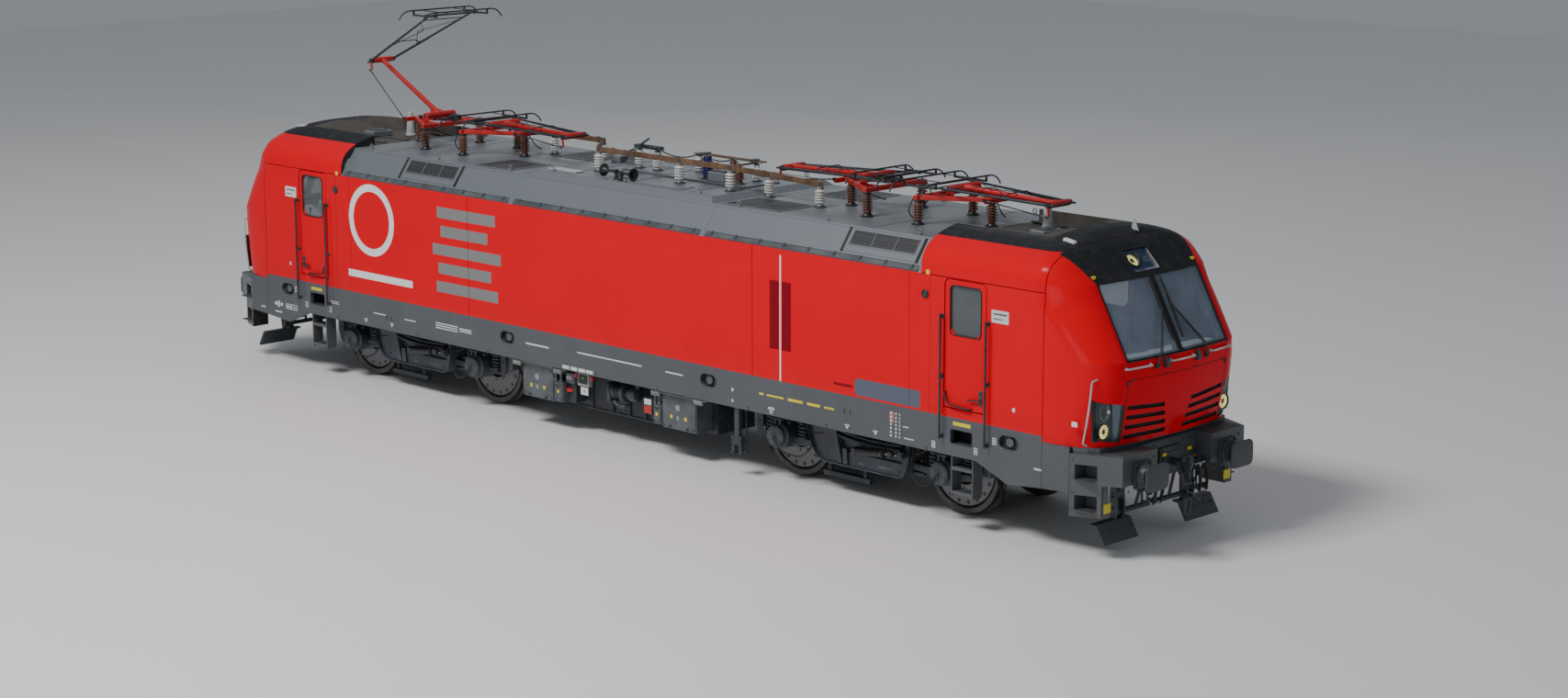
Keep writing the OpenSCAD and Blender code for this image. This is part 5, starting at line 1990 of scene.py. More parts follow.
@dataclass
class NoseFittings:
    """Wipers, grab rails, small boxes, lamps and roof gear of both noses."""

    shape: CabShape = field(default_factory=CabShape)

    def build(self) -> None:
        """Make the wipers and the fittings."""
        wiper = Form("wiper_arms")
        gear = Form("nose_gear")
        roof = Form("cab_roof_gear")
        for end in ENDS:
            with wiper.at(end), gear.at(end), roof.at(end):
                for side in (1, -1):
                    self.wiper(wiper, side)
                    self.rails(gear, side)
                self.top(roof)
        wiper.done("carbody", ("wipers",))
        gear.done("carbody")
        roof.done("carbody")

    def on(self, y: float, z: float, out: float = 0.0) -> Vector:
        """A point a distance out from the surface."""
        return self.shape.surface(y, z) + self.shape.out(y, z) * out

    def wiper(self, form: Form, side: int) -> None:
        """One wiper: spindle, double arm and blade.

        Args:
            form: the piece that it adds to.
            side: 1 for the left, -1 for the right.
        """
        foot = self.on(side * 0.506, 2.355, 0.0)
        form.lathe(
            [(0.030, -0.01), (0.030, 0.014), (0.020, 0.020), (0.020, 0.046), (0.010, 0.052), (0, 0.052)],
            Look.BLACK, foot, (1, 0, 0), 24
        )
        knee = self.on(side * 0.440, 2.50, 0.056)
        for shift_y in (-0.020, 0.020):
            start = foot + Vector((0.040, shift_y, 0))
            tip = self.on(side * 0.110, 2.985, 0.044) + Vector((0, shift_y * 0.4, 0))
            form.tube(bend([start, knee + Vector((0, shift_y, 0)), tip], 0.05), 0.0085, Look.BLACK, 8)
        low, high = self.on(side * 0.104, 2.625, 0.018), self.on(side * 0.112, 3.335, 0.018)
        form.tube([low.lerp(high, i / 6) for i in range(7)], 0.0135, Look.RUBBER, 8)
        form.tube(
            [
                low.lerp(high, t) + self.shape.out(0.1, 2.9) * (0.022 - abs(t - 0.5) * 0.02)
                for t in (0.12, 0.3, 0.5, 0.7, 0.88)
            ],
            0.008, Look.BLACK, 8
        )
        joint = low.lerp(high, 0.52)
        form.block(
            joint - Vector((0.004, 0.018, 0.03)), joint + Vector((0.022, 0.018, 0.03)), Look.BLACK, 0.004
        )
        nozzle = self.on(side * 0.36, 2.40, 0.0)
        form.lathe([(0.012, -0.005), (0.012, 0.012), (0, 0.018)], Look.BLACK, nozzle, (1, 0, 0.4), 12)

    def rails(self, form: Form, side: int) -> None:
        """Grab rails, boxes and handles on one half of the nose.

        Args:
            form: the piece that it adds to.
            side: 1 for the left, -1 for the right.
        """
        for y0, y1 in ((1.045, 0.615), (0.224, 0.0)):
            count = 8
            line = [self.on(side * (y0 + (y1 - y0) * i / count), 2.393, 0.046) for i in range(count + 1)]
            spots = [self.on(side * y0, 2.393)]
            if y1:
                spots.append(self.on(side * y1, 2.393))
            form.tube(bend([spots[0], *line, *spots[1:]], 0.03), 0.0120, Look.PALE, 12)
            for spot in spots:
                form.lathe(
                    [(0.024, -0.004), (0.024, 0.005), (0.016, 0.010), (0, 0.010)], Look.PALE, spot, (1, 0, 0),
                    16
                )
        box = self.on(side * 0.322, 2.385)
        form.block(box + Vector((-0.02, -0.036, -0.066)), box + Vector((0.050, 0.036, 0.066)), Look.TANK, 0.010)
        form.block(box + Vector((0.048, -0.026, -0.050)), box + Vector((0.053, 0.026, 0.050)), Look.DARK, 0.004)
        latch = self.on(side * 0.99, 2.20, 0.0)
        form.block(
            latch + Vector((-0.02, -0.02, -0.03)), latch + Vector((0.012, 0.02, 0.03)), Look.BLACK, 0.004
        )
        form.bolts(
            (
                (self.on(side * y, 2.235 + dz), self.shape.out(side * y, 2.235 + dz)) for y in (0.325, 0.915)
                for dz in (-0.012, 0.018)
            ),
            0.011, Look.DARK
        )
        line = [self.on(side * (1.378 + 0.016 * i / 10), 2.262 - 0.80 * i / 10, 0.055) for i in range(11)]
        ends = [self.on(side * 1.346, 2.276), self.on(side * 1.368, 1.425)]
        form.tube(bend([ends[0], *line, ends[1]], 0.04), 0.0125, Look.PALE, 12)
        spot = self.on(side * 1.0, 3.442)
        form.block(
            spot + Vector((-0.03, -0.030, -0.026)), spot + Vector((0.005, 0.030, 0.030)), Look.YELLOW, 0.003
        )

    def top(self, form: Form) -> None:
        """The aerial post, fin, wedge and well fittings of one cab roof.

        Args:
            form: the piece that it adds to.
        """
        form.lathe(
            [(0.085, 0), (0.085, 0.02), (0.070, 0.04), (0.058, 0.20), (0.042, 0.37), (0.034, 0.38), (0, 0.38)],
            Look.PALE, (CAB_X + 0.560, 0.330, DECK_Z), sides=32
        )
        form.bolts(
            (
                ((CAB_X + 0.560 + 0.07 * math.cos(a), 0.330 + 0.07 * math.sin(a), DECK_Z + 0.018), (0, 0, 1))
                for a in (0.8, 2.4, 3.9, 5.5)
            ),
            0.009
        )
        fin = [(-0.060, 0.0), (0.060, 0.0), (0.028, 0.060), (-0.002, 0.155), (-0.030, 0.150), (-0.050, 0.060)]
        with form.at(shift(8.075, 0.360, self.shape.crown - 0.065)):
            form.prism(fin, -0.014, 0.014, Look.PALE, chamfer=0.008)
        wedge = [(7.885, 3.815), (8.080, 3.800), (8.060, 3.838), (7.900, 3.866)]
        form.prism(wedge, -0.870, -0.790, Look.WHITE, chamfer=0.008)
        for y in (-0.55, -0.1, 0.62):
            form.block(
                (CAB_X + 0.10, y - 0.05, DECK_Z), (CAB_X + 0.95, y + 0.05, DECK_Z + 0.018), Look.FLOOR_WELL,
                0.006
            )
        form.tube(
            bend(
                [(6.20, 0.55, DECK_Z + 0.03), (6.62, 0.50, DECK_Z + 0.03), (6.655, 0.36, DECK_Z + 0.05)], 0.08
            ),
            0.012, Look.RUBBER, 8
        )
        form.block((6.85, -0.28, DECK_Z), (7.10, 0.12, DECK_Z + 0.09), Look.ROOF, 0.012)
        form.block((6.89, -0.20, DECK_Z + 0.09), (7.06, 0.04, DECK_Z + 0.105), Look.DARK, 0.006)


# ---------------------------------------------------------------------------
# Body sides and ends
# ---------------------------------------------------------------------------
@dataclass
class Doors:
    """The four cab doors, their furniture and the handrails beside them."""

    pane: tuple[Flat, Flat] = ((DOOR_X + 0.090, 2.550), (DOOR_X + DOOR_W - 0.080, 3.190))
    skin: float = 0.045

    def build(self) -> None:
        """Make each door on its own body, then the rails."""
        for end_name, end in (("front", STILL), ("rear", MIRROR_X)):
            for side_name, side in (("left", STILL), ("right", MIRROR_Y)):
                form = Form(f"door_leaf_{end_name}_{side_name}")
                with form.at(end, side):
                    self.leaf(form)
                body = f"door_{end_name}_{side_name}"
                form.done(body, (body,))
        self.rails()

    def leaf(self, form: Form) -> None:
        """One door: frame, panel, window, seals, handle, lever and barrels.

        Args:
            form: the piece that it adds to.
        """
        out = HALF_W
        outer = dense(door_line(0.0), 0.3)
        lo, hi = self.pane
        hole = fitted(rect(lo, hi, 0.060, 6), outer)
        form.prism(outer, out - self.skin, out, Look.BODY, hole=hole, chamfer=0.004)
        form.tube(
            [(u, out + 0.001, v) for u, v in dense(rect(lo, hi, 0.060, 6), 0.2)], 0.009, Look.RUBBER, 8, True
        )
        form.prism(
            rect((lo[0] - 0.004, lo[1] - 0.004), (hi[0] + 0.004, hi[1] + 0.004), 0.060), out - 0.030,
            out - 0.020, Look.DOOR_GLASS
        )
        form.prism(
            rect((DOOR_X + 0.05, 1.66), (DOOR_X + DOOR_W - 0.05, 2.47), 0.03), out - 0.001, out + 0.002,
            Look.BODY, chamfer=0.001
        )
        x, z = 7.127, 1.785
        form.block((x - 0.032, out - 0.002, z - 0.100), (x + 0.032, out + 0.008, z + 0.105), Look.DARK, 0.006)
        form.lathe(
            [(0.022, 0), (0.022, 0.026), (0.014, 0.030), (0, 0.030)], Look.RAIL, (x, out + 0.006, z - 0.03),
            (0, 1, 0), 20
        )
        form.tube(
            bend(
                [
                    (x, out + 0.034, z - 0.03), (x - 0.10, out + 0.040, z - 0.03),
                    (x - 0.192, out + 0.036, z - 0.045)
                ],
                0.03
            ),
            0.0115, Look.BLACK, 10
        )
        form.lathe(
            [(0.013, 0), (0.013, 0.012), (0, 0.014)], Look.BLACK, (x, out + 0.006, z + 0.062), (0, 1, 0), 16
        )
        curve = bend(
            [
                (6.540, out + 0.004, 1.790), (6.545, out + 0.045, 1.787), (6.600, out + 0.045, 1.650),
                (6.965, out + 0.045, 1.622), (6.978, out + 0.004, 1.620)
            ],
            0.05
        )
        form.tube(curve, 0.0125, Look.BLACK, 10)
        for z0 in (1.855, 2.930):
            with form.at(shift(DOOR_X + 0.010, HALF_W - 0.066, z0)):
                form.lathe(
                    [
                        (0.0088, -0.045), (0.015, -0.045), (0.016, -0.043), (0.016, 0.043), (0.015, 0.045),
                        (0.0088, 0.045)
                    ],
                    Look.DARK, sides=20, ring=True
                )
                form.block((0.012, 0.0, -0.044), (0.030, 0.020, 0.044), Look.DARK)
        form.tube(
            [(u, out - 0.012, v) for u, v in dense(inset(door_line(0.0), 0.003), 0.5)], 0.006, Look.RUBBER, 6,
            True
        )
        form.block(
            (DOOR_X + 0.04, out - 0.055, 1.63), (DOOR_X + DOOR_W - 0.04, out - 0.046, 2.44), Look.LINING, 0.003
        )

    def rails(self) -> None:
        """Handrails beside the doors with their feet."""
        form = Form("door_handrails")
        for _ in form.each(CORNERS):
            for x in (DOOR_X - 0.030, DOOR_X + DOOR_W + 0.045):
                y = HALF_W + 0.060
                path = bend([(x, HALF_W, 1.200), (x, y, 1.200), (x, y, 2.770), (x, HALF_W, 2.770)], 0.045, 6)
                form.tube(path, 0.0155, Look.RAIL, 14)
                for z in (1.200, 1.985, 2.770):
                    form.lathe(
                        [(0.034, -0.002), (0.034, 0.005), (0.030, 0.009), (0.017, 0.011), (0, 0.011)],
                        Look.RAIL, (x, HALF_W, z), (0, 1, 0), 20
                    )
                    form.bolts(
                        (((x, HALF_W + 0.008, z + s * 0.024), (0, 1, 0)) for s in (-1, 1)), 0.005, Look.RAIL
                    )
                form.rod((x, HALF_W, 1.985), (x, y, 1.985), 0.010, Look.RAIL)
                for z in (1.175, 2.795):
                    form.lathe(
                        [(0, -0.012), (0.014, -0.008), (0.016, 0), (0.014, 0.008), (0, 0.012)], Look.RAIL,
                        (x, y, z), (0, 0, 1), 12
                    )
                    form.rod((x, y, z), (x, y, z + (0.05 if z < 2 else -0.05)), 0.0150, Look.RAIL)
        form.done("carbody", ("handrails",))


def fitted(outline: Sequence[Flat], guide: Sequence[Flat]) -> list[Flat]:
    """Points on an outline, one for each corner of a guide outline, at the same bearing.

    Args:
        outline: the inner outline.
        guide: the outer outline.

    Returns:
        As many points as the guide has.
    """
    middle = Vector((sum(p[0] for p in outline) / len(outline), sum(p[1] for p in outline) / len(outline)))
    out = []
    for point in guide:
        ray = (Vector(point) - middle).normalized()
        best = 0.0
        for a, b in zip(outline, [*outline[1:], outline[0]]):
            one, edge = Vector(a) - middle, Vector(b) - Vector(a)
            down = ray.x * edge.y - ray.y * edge.x
            if abs(down) > 1e-12:
                reach = (one.x * edge.y - one.y * edge.x) / down
                share = (one.x * ray.y - one.y * ray.x) / down
                if reach > best and -1e-6 <= share <= 1 + 1e-6:
                    best = reach
        out.append(tuple(middle + ray * best))
    return out


@dataclass
class SillDetail:
    """Recesses, covers, blank plates, lamps and small marks of both long sides."""

    def build(self) -> None:
        """Make the details of both sides."""
        form = Form("side_details")
        marks = Form("side_plates")
        for side in (turn("Z", 180), STILL):
            with form.at(side), marks.at(side):
                self.covers(form)
                self.plates(marks)
                self.lamps(form)
        for _ in form.each(CORNERS):
            self.step(form)
            self.panel_bolts(form)
        form.done("carbody", ("door_steps",))
        marks.done("carbody")
        self.lifting_eyes()

    def covers(self, form: Form) -> None:
        """Dark backs of the oval holes with their pins, on the side that faces -Y.

        Args:
            form: the piece that it adds to.
        """
        for x, z in ((7.595, 1.290), (-7.595, 1.290), (2.145, 1.265), (-2.145, 1.265)):
            form.prism(
                rect((x - 0.19, z - 0.12), (x + 0.19, z + 0.12), 0.1), -HALF_W + 0.056, -HALF_W + 0.064,
                Look.BLACK
            )
            form.lathe(
                [(0.062, 0), (0.062, 0.030), (0.054, 0.036), (0.030, 0.036), (0.026, 0.030), (0, 0.030)],
                Look.UNDER, (x, -HALF_W + 0.062, z), (0, -1, 0), 28
            )
            line = [
                (u, -HALF_W - 0.001, v) for u,
                v in rect((x - 0.160, z - 0.093), (x + 0.160, z + 0.093), 0.0925, 7)
            ]
            form.tube(line, 0.006, Look.SILL, 8, True)
        for x, z in ((4.804, 1.245), (-4.98, 1.165)):
            for dx in (-0.055, 0.055):
                slot = rect((x + dx - 0.012, z - 0.035), (x + dx + 0.012, z + 0.035), 0.011, 4)
                form.prism(slot, -HALF_W - FILM, -HALF_W + 0.004, Look.BLACK)
        for x in (-6.30, -4.30, -2.62, -0.2, 1.10, 2.92, 4.40, 6.20):
            form.block((x - 0.016, -HALF_W - 0.012, 0.962), (x + 0.016, -HALF_W + 0.03, 1.02), Look.SILL, 0.004)

    @staticmethod
    def mark(
        form: Form, outline: Sequence[Flat], tone: Look = Look.WHITE, proud: float = FILM,
        hole: Sequence[Flat] | None = None,
    ) -> None:
        """One flat mark on the side that faces -Y.

        Args:
            form: the piece it joins.
            outline: its corners as along and up.
            tone: its finish.
            proud: how far it stands off the wall.
            hole: the corners of an opening in it.
        """
        form.prism(outline, -HALF_W - proud, -HALF_W + FILM_BACK, tone, hole=hole)

    def plates(self, form: Form) -> None:
        """Blank plates and small plain marks on the side that faces -Y.

        Args:
            form: the piece that it adds to.
        """
        white = (
            (-1.726, -1.211, 1.228, 1.252), (-0.583, 0.790, 1.255, 1.275), (1.284, 1.641, 1.250, 1.270),
            (3.32, 3.44, 1.048, 1.076), (2.61, 2.65, 1.19, 1.235), (2.612, 2.648, 1.04, 1.076),
            (-7.966, -7.905, 0.985, 1.035), (-7.885, -7.825, 0.960, 1.058), (-7.805, -7.745, 0.985, 1.035),
            (-7.955, -7.78, 0.868, 0.893), (-8.34, -8.225, 0.900, 0.922), (-6.478, -6.246, 1.236, 1.246),
            (-6.478, -6.246, 1.208, 1.218), (-7.112, -7.078, 1.075, 1.125), (-6.495, -6.460, 1.080, 1.122),
            (-7.385, -7.355, 1.285, 1.340), (-5.37, -5.06, 1.192, 1.208), (-4.594, -4.32, 1.192, 1.208),
            (-7.64, -7.585, 0.975, 1.020), (-7.56, -7.50, 0.975, 1.020), (-7.475, -7.385, 0.990, 1.004),
            (8.610, 8.700, 1.672, 1.736), (7.652, 7.696, 1.700, 1.754), (-7.52, -7.48, 1.690, 1.744),
            (-3.828, -3.30, 1.175, 1.192), (-3.828, -3.30, 1.212, 1.229), (-3.828, -3.30, 1.249, 1.266),
            (-3.26, -2.98, 1.195, 1.215), (-3.26, -2.98, 1.230, 1.250), (5.80, 5.90, 1.203, 1.217),
            (5.82, 5.99, 1.053, 1.067), (8.02, 8.14, 1.02, 1.045),
        )
        self.table(form)
        for x0, x1, z0, z1 in white:
            self.mark(form, rect((x0, z0), (x1, z1), 0.004, 2))
        for x0, x1 in ((-0.910, -0.765), (-0.735, -0.590), (-0.560, -0.415), (-0.395, -0.248)):
            self.mark(form, rect((x0, 0.985), (x1, 1.035), 0.005, 2), proud=0.002)
        yellow = (
            (3.150, 3.235, 1.225, 1.255), (3.30, 3.62, 1.228, 1.252), (3.70, 3.98, 1.222, 1.258),
            (4.06, 4.30, 1.222, 1.258), (4.38, 4.56, 1.226, 1.254), (6.665, 6.962, 1.372, 1.420),
            (-6.965, -6.68, 1.362, 1.408)
        )
        for x0, x1, z0, z1 in yellow:
            self.mark(form, rect((x0, z0), (x1, z1), 0.004, 2), Look.YELLOW, 0.0016)
        for x0, x1 in ((7.290, 7.575), (-7.575, -7.290)):
            board = rect((x0, 2.800), (x1, 2.965), 0.012, 4)
            form.prism(board, -HALF_W - 0.004, -HALF_W + FILM_BACK, Look.WHITE, chamfer=0.002)
            self.mark(form, rect((x0 + 0.03, 2.905), (x1 - 0.03, 2.925), 0.004, 2), Look.UNDER, 0.005)
            self.mark(form, rect((x0 + 0.03, 2.845), (x1 - 0.09, 2.860), 0.004, 2), Look.UNDER, 0.005)

    def table(self, form: Form) -> None:
        """Blank cells, small boxes and lifting-point marks along the sill that faces -Y.

        Args:
            form: the piece that it adds to.
        """
        for i in range(7):
            z = 1.372 - 0.050 * i
            for x, wide in ((5.575, 0.030), (5.665, 0.024), (5.735, 0.016)):
                self.mark(form, rect((x, z - 0.028), (x + wide, z), 0.003, 2), proud=0.0018)
            if i < 3:
                self.mark(form, rect((5.566, z - 0.036), (5.640, z + 0.008), 0.003, 2), Look.PINK)
        small = (
            (3.381, 1.04), (6.334, 1.065), (7.053, 1.09), (7.363, 1.274), (-7.095, 1.100), (-6.478, 1.101),
            (-7.370, 1.312)
        )
        for x, z in small:
            hole = rect((x - 0.022, z - 0.036), (x + 0.022, z + 0.036), 0.003, 2)
            self.mark(form, rect((x - 0.031, z - 0.045), (x + 0.031, z + 0.045), 0.003, 2), hole=hole)
            self.mark(form, rect((x - 0.010, z - 0.022), (x + 0.010, z + 0.022), 0.003, 2))
        frame = rect((-7.650, 0.966), (-7.374, 1.032), 0.003, 2)
        self.mark(form, rect((-7.661, 0.956), (-7.363, 1.042), 0.003, 2), hole=frame)
        for x, z in ((4.799, 1.036), (5.313, 1.037), (-5.560, 1.045), (-4.910, 1.055)):
            self.mark(form, [(x - 0.030, z + 0.018), (x, z - 0.026), (x + 0.030, z + 0.018)])
            self.mark(form, rect((x - 0.045, z + 0.026), (x + 0.045, z + 0.038), 0.002, 2))

    def lamps(self, form: Form) -> None:
        """Round side lamps and small yellow plates near the shoulders.

        Args:
            form: the piece that it adds to.
        """
        for x, z in ((6.170, 3.017), (-6.249, 3.042)):
            form.lathe(
                [(0.058, -0.004), (0.058, 0.012), (0.050, 0.020), (0.044, 0.020), (0.040, 0.012), (0, 0.016)],
                Look.BLACK, (x, -HALF_W, z), (0, -1, 0), 28
            )
            form.lathe(
                [(0.038, 0.010), (0.032, 0.024), (0.018, 0.031), (0, 0.033)], Look.LAMP_GLASS, (x, -HALF_W, z),
                (0, -1, 0), 24
            )
            spot = rect((x + 0.010, 3.275), (x + 0.070, 3.335), 0.006, 2)
            form.prism(spot, -HALF_W - 0.0016, -HALF_W + 0.004, Look.YELLOW)

    def step(self, form: Form) -> None:
        """One ladder below a door, and the tread and the black back, sides and top of the sill's foot hole, which are
        painted shade.

        Args:
            form: the piece that it adds to.
        """
        x0, x1 = 6.6195, 6.9945
        y0, y1 = HALF_W - 0.210, HALF_W - 0.020
        for x in (x0, x1 - 0.020):
            side = [(y0 + 0.03, 0.430), (y1, 0.430), (y1, 0.975), (y0, 0.975), (y0, 0.470)]
            with form.at(shift(x, 0, 0)):
                form.prism(side, 0.0, 0.020, Look.SILL, "yz", 0.003)
            form.bolts(
                (
                    ((x + (0.020 if x > x0 else 0.0), HALF_W - 0.06, z), (1 if x > x0 else -1, 0, 0))
                    for z in (0.90, 0.95)
                ),
                0.010
            )
        for z in (0.470, 0.790):
            form.block((x0 + 0.018, y0, z), (x1 - 0.018, y1, z + 0.030), Look.TREAD, 0.004)
            form.block(
                (x0 + 0.018, y1 - 0.006, z - 0.012), (x1 - 0.018, y1 + 0.003, z + 0.034), Look.SILL, 0.003
            )
        form.block((x0 - 0.02, HALF_W - 0.24, 1.100), (x1 + 0.02, HALF_W - 0.055, 1.122), Look.TREAD, 0.004)
        # The black back, sides and top of the foot hole are painted shade in the recess.
        form.block((x0 - 0.02, HALF_W - 0.25, 1.10), (x1 + 0.02, HALF_W - 0.235, 1.345), Look.BLACK, 0.004)
        for x in (x0 - 0.030, x1 + 0.018):
            form.block((x, HALF_W - 0.25, 1.10), (x + 0.012, HALF_W - 0.055, 1.345), Look.BLACK, 0.003)
        form.block((x0 - 0.02, HALF_W - 0.25, 1.335), (x1 + 0.02, HALF_W - 0.055, 1.345), Look.BLACK, 0.003)
        line = [(u, HALF_W + 0.001, v) for u, v in dense(rect((6.6205, 1.123), (6.9935, 1.320), 0.030, 4), 0.2)]
        form.tube(line, 0.005, Look.SILL, 6, True)

    def panel_bolts(self, form: Form) -> None:
        """Bolt heads along the foot of the sill near the ends."""
        form.bolts((((x, HALF_W, 1.42), (0, 1, 0)) for x in (7.25, 7.42, 8.04, 8.22, 8.50)), 0.009, Look.SILL)
        form.bolts(
            (((x, HALF_W, z), (0, 1, 0)) for x in (8.20, 8.52) for z in (0.86, 1.10, 1.32)), 0.009, Look.SILL
        )

    def lifting_eyes(self) -> None:
        """Eye bolts along both edges of the roof."""
        eye = Form("roof_eyes")
        ring = [
            (math.cos(a) * 0.032, 0, 0.052 + math.sin(a) * 0.032)
            for a in (math.tau * i / 20 for i in range(20))
        ]
        eye.tube(ring, 0.009, Look.ROOF, 8, True)
        eye.lathe([(0.026, 0), (0.026, 0.008), (0.014, 0.014), (0.012, 0.024), (0, 0.024)], Look.ROOF, sides=16)
        places = [
            shift(x, s * (DECK_HALF - 0.055), DECK_Z) for x in (-5.75, -4.10, -2.42, 2.42, 4.10, 5.75)
            for s in (-1, 1)
        ]
        places += [shift(x, s * (DECK_HALF - 0.15), MIDDLE_Z) for x in (-1.55, 0.0, 1.55) for s in (-1, 1)]
        Copies.make(eye, places, "carbody")


@dataclass
class EndGear:
    """Buffers, draw hooks, hoses, guards and headstock furniture of both ends."""

    buffer_y: float = 0.875
    buffer_z: float = 1.060

    def build(self) -> None:
        """Make the gear of both ends."""
        for name, nodes, makers in (
            ("buffer_set", ("buffers",), (self.buffers,)),
            ("draw_set", ("draw_gear",), (self.hook, self.hoses)),
            ("guard_set", ("rail_guards",), (self.guards,)),
            ("headstock_trim", (), (self.trim,)),
        ):
            form = Form(name)
            for _ in form.each(ENDS):
                for maker in makers:
                    maker(form)
            form.done("carbody", nodes)

    def buffers(self, form: Form) -> None:
        """Two buffers with flange, housing, plunger and plate.

        Args:
            form: the piece that it adds to.
        """
        for side in (-1, 1):
            y, z = side * self.buffer_y, self.buffer_z
            form.prism(
                rect((y - 0.170, z - 0.170), (y + 0.170, z + 0.170), 0.03), 9.220, 9.250, Look.DARK, "yz", 0.005
            )
            profile = [
                (0.150, 0), (0.150, 0.016), (0.136, 0.028), (0.132, 0.085), (0.140, 0.088), (0.140, 0.112),
                (0.128, 0.118), (0.118, 0.120), (0.104, 0.120), (0.100, 0.122), (0.098, 0.188), (0.112, 0.198),
                (0.122, 0.206), (0, 0.206)
            ]
            form.lathe([(0, 0), *profile], Look.DARK, (9.250, y, z), (1, 0, 0), 44)
            form.bolts(
                (((9.250, y + sy * 0.138, z + sz * 0.138), (1, 0, 0)) for sy in (-1, 1) for sz in (-1, 1)),
                0.022
            )
            rings = []
            for x, cut, bulge in (
                (9.452, 0.012, 0), (9.458, 0.0, 0), (9.474, 0.0, 0), (9.482, 0.006, 0.0), (9.4855, 0.030, 0.002)
            ):
                flat = rect((-0.225 + cut, -0.170 + cut), (0.225 - cut, 0.170 - cut), 0.085 - cut * 0.5, 8)
                rings.append([(x + bulge * (1 - (u / 0.225) ** 2), y + u, z + v) for u, v in flat])
            form.loft(rings, Look.DARK)
            for s in (-1, 1):
                rib = [(9.440, z + 0.02), (9.455, z + 0.02), (9.455, z + 0.135), (9.438, z + 0.10)]
                form.prism(rib, y + s * 0.10 - 0.008, y + s * 0.10 + 0.008, Look.DARK)

    def hook(self, form: Form) -> None:
        """The draw hook with its guide plate and screw coupling.

        Args:
            form: the piece that it adds to.
        """
        form.block((8.960, -0.215, 0.870), (9.005, 0.215, 1.230), Look.DARK, 0.008)
        form.block((8.990, -0.150, 0.930), (9.020, 0.150, 1.170), Look.DARK, 0.006)
        form.bolts((((9.005, s * 0.18, z), (1, 0, 0)) for s in (-1, 1) for z in (0.90, 1.05, 1.20)), 0.020)
        hook = [
            (9.00, 1.00), (9.19, 1.00), (9.215, 0.965), (9.27, 0.955), (9.325, 0.985), (9.350, 1.045),
            (9.345, 1.115), (9.318, 1.160), (9.290, 1.150), (9.296, 1.100), (9.270, 1.052), (9.225, 1.062),
            (9.214, 1.115), (9.175, 1.120), (9.12, 1.095), (9.00, 1.090)
        ]
        form.prism(hook, -0.034, 0.034, Look.BOGIE, chamfer=0.010)
        form.rod((9.165, -0.075, 1.045), (9.165, 0.075, 1.045), 0.024, Look.DARK, 18)
        for y in (-0.058, 0.058):
            link = [(9.165, y, 1.045), (9.235, y * 1.2, 0.93), (9.262, y * 1.1, 0.80)]
            form.tube(bend(link, 0.08), 0.017, Look.DARK, 12)
            form.lathe(
                [(0.030, -0.014), (0.038, -0.010), (0.038, 0.010), (0.030, 0.014)], Look.DARK,
                (9.165, y * 1.18, 1.045), (0, 1, 0), 20
            )
            form.lathe(
                [(0.028, -0.014), (0.034, -0.010), (0.034, 0.010), (0.028, 0.014)], Look.DARK,
                (9.262, y * 1.1, 0.79), (0, 1, 0), 20
            )
        form.rod((9.262, -0.085, 0.79), (9.262, 0.085, 0.79), 0.020, Look.DARK, 16)
        screw = [Vector((9.262, 0, 0.79)), Vector((9.285, 0, 0.60))]
        form.tube(
            [screw[0].lerp(screw[1], i / 20) for i in range(21)],
            [0.019 if i % 2 else 0.015 for i in range(21)], Look.RAIL, 12
        )
        form.tube(bend([(9.27, 0, 0.70), (9.33, 0.05, 0.66), (9.37, 0.10, 0.60)], 0.03), 0.012, Look.DARK, 10)
        form.lathe(
            [(0, -0.03), (0.024, -0.02), (0.028, 0), (0.024, 0.02), (0, 0.03)], Look.DARK, (9.37, 0.10, 0.60),
            (1, 1, -1), 16
        )
        bow = bend(
            [
                (9.285, -0.05, 0.60), (9.295, -0.055, 0.50), (9.27, -0.05, 0.40), (9.27, 0.05, 0.40),
                (9.295, 0.055, 0.50), (9.285, 0.05, 0.60)
            ],
            0.06
        )
        form.tube(bow, 0.016, Look.DARK, 12)
        form.rod((9.285, -0.075, 0.60), (9.285, 0.075, 0.60), 0.021, Look.DARK, 16)

    def hoses(self, form: Form) -> None:
        """Air hoses with cocks, heads and small lamps' sockets.

        Args:
            form: the piece that it adds to.
        """
        for y, out, tone in (
            (0.36, 0.14, Look.SIGNAL), (0.50, 0.10, Look.DARK), (-0.36, 0.14, Look.SIGNAL),
            (-0.50, 0.10, Look.DARK)
        ):
            side = 1 if y > 0 else -1
            form.rod((8.94, y, 0.985), (9.05, y, 0.985), 0.024, Look.DARK, 16)
            form.lathe(
                [(0.034, -0.03), (0.040, -0.022), (0.040, 0.022), (0.034, 0.03), (0, 0.03)], Look.DARK,
                (9.07, y, 0.985), (1, 0, 0), 20
            )
            form.tube(
                bend([(9.07, y, 1.02), (9.075, y, 1.055), (9.115, y + side * 0.02, 1.075)], 0.02), 0.008, tone,
                10
            )
            path = bend(
                [
                    (9.10, y, 0.985), (9.17, y, 0.955), (9.19, y + side * 0.03, 0.76),
                    (9.16, y + side * 0.05, 0.60), (9.12, y + side * out * 0.6, 0.63)
                ],
                0.12, 7
            )
            form.tube(path, 0.021, Look.RUBBER, 12)
            head = Vector(path[-1])
            form.lathe(
                [(0.024, -0.02), (0.032, 0), (0.036, 0.035), (0.030, 0.05), (0, 0.052)], Look.DARK, head,
                Vector((-0.5, 0, 0.7)), 18
            )
            form.block((8.985, head.y - 0.016, 0.600), (9.000, head.y + 0.016, 0.960), Look.DARK, 0.003)
            form.block(
                (8.985, head.y - 0.020, 0.612), (head.x + 0.010, head.y + 0.020, 0.632), Look.DARK, 0.003
            )
            for at in (0.10, 0.92):
                spot = path[int(at * (len(path) - 1))]
                form.lathe(
                    [(0.0245, -0.012), (0.0255, -0.010), (0.0255, 0.010), (0.0245, 0.012)], Look.PALE, spot,
                    (0.2, 0, -1), 16
                )
        for y in (-0.26, 0.26):
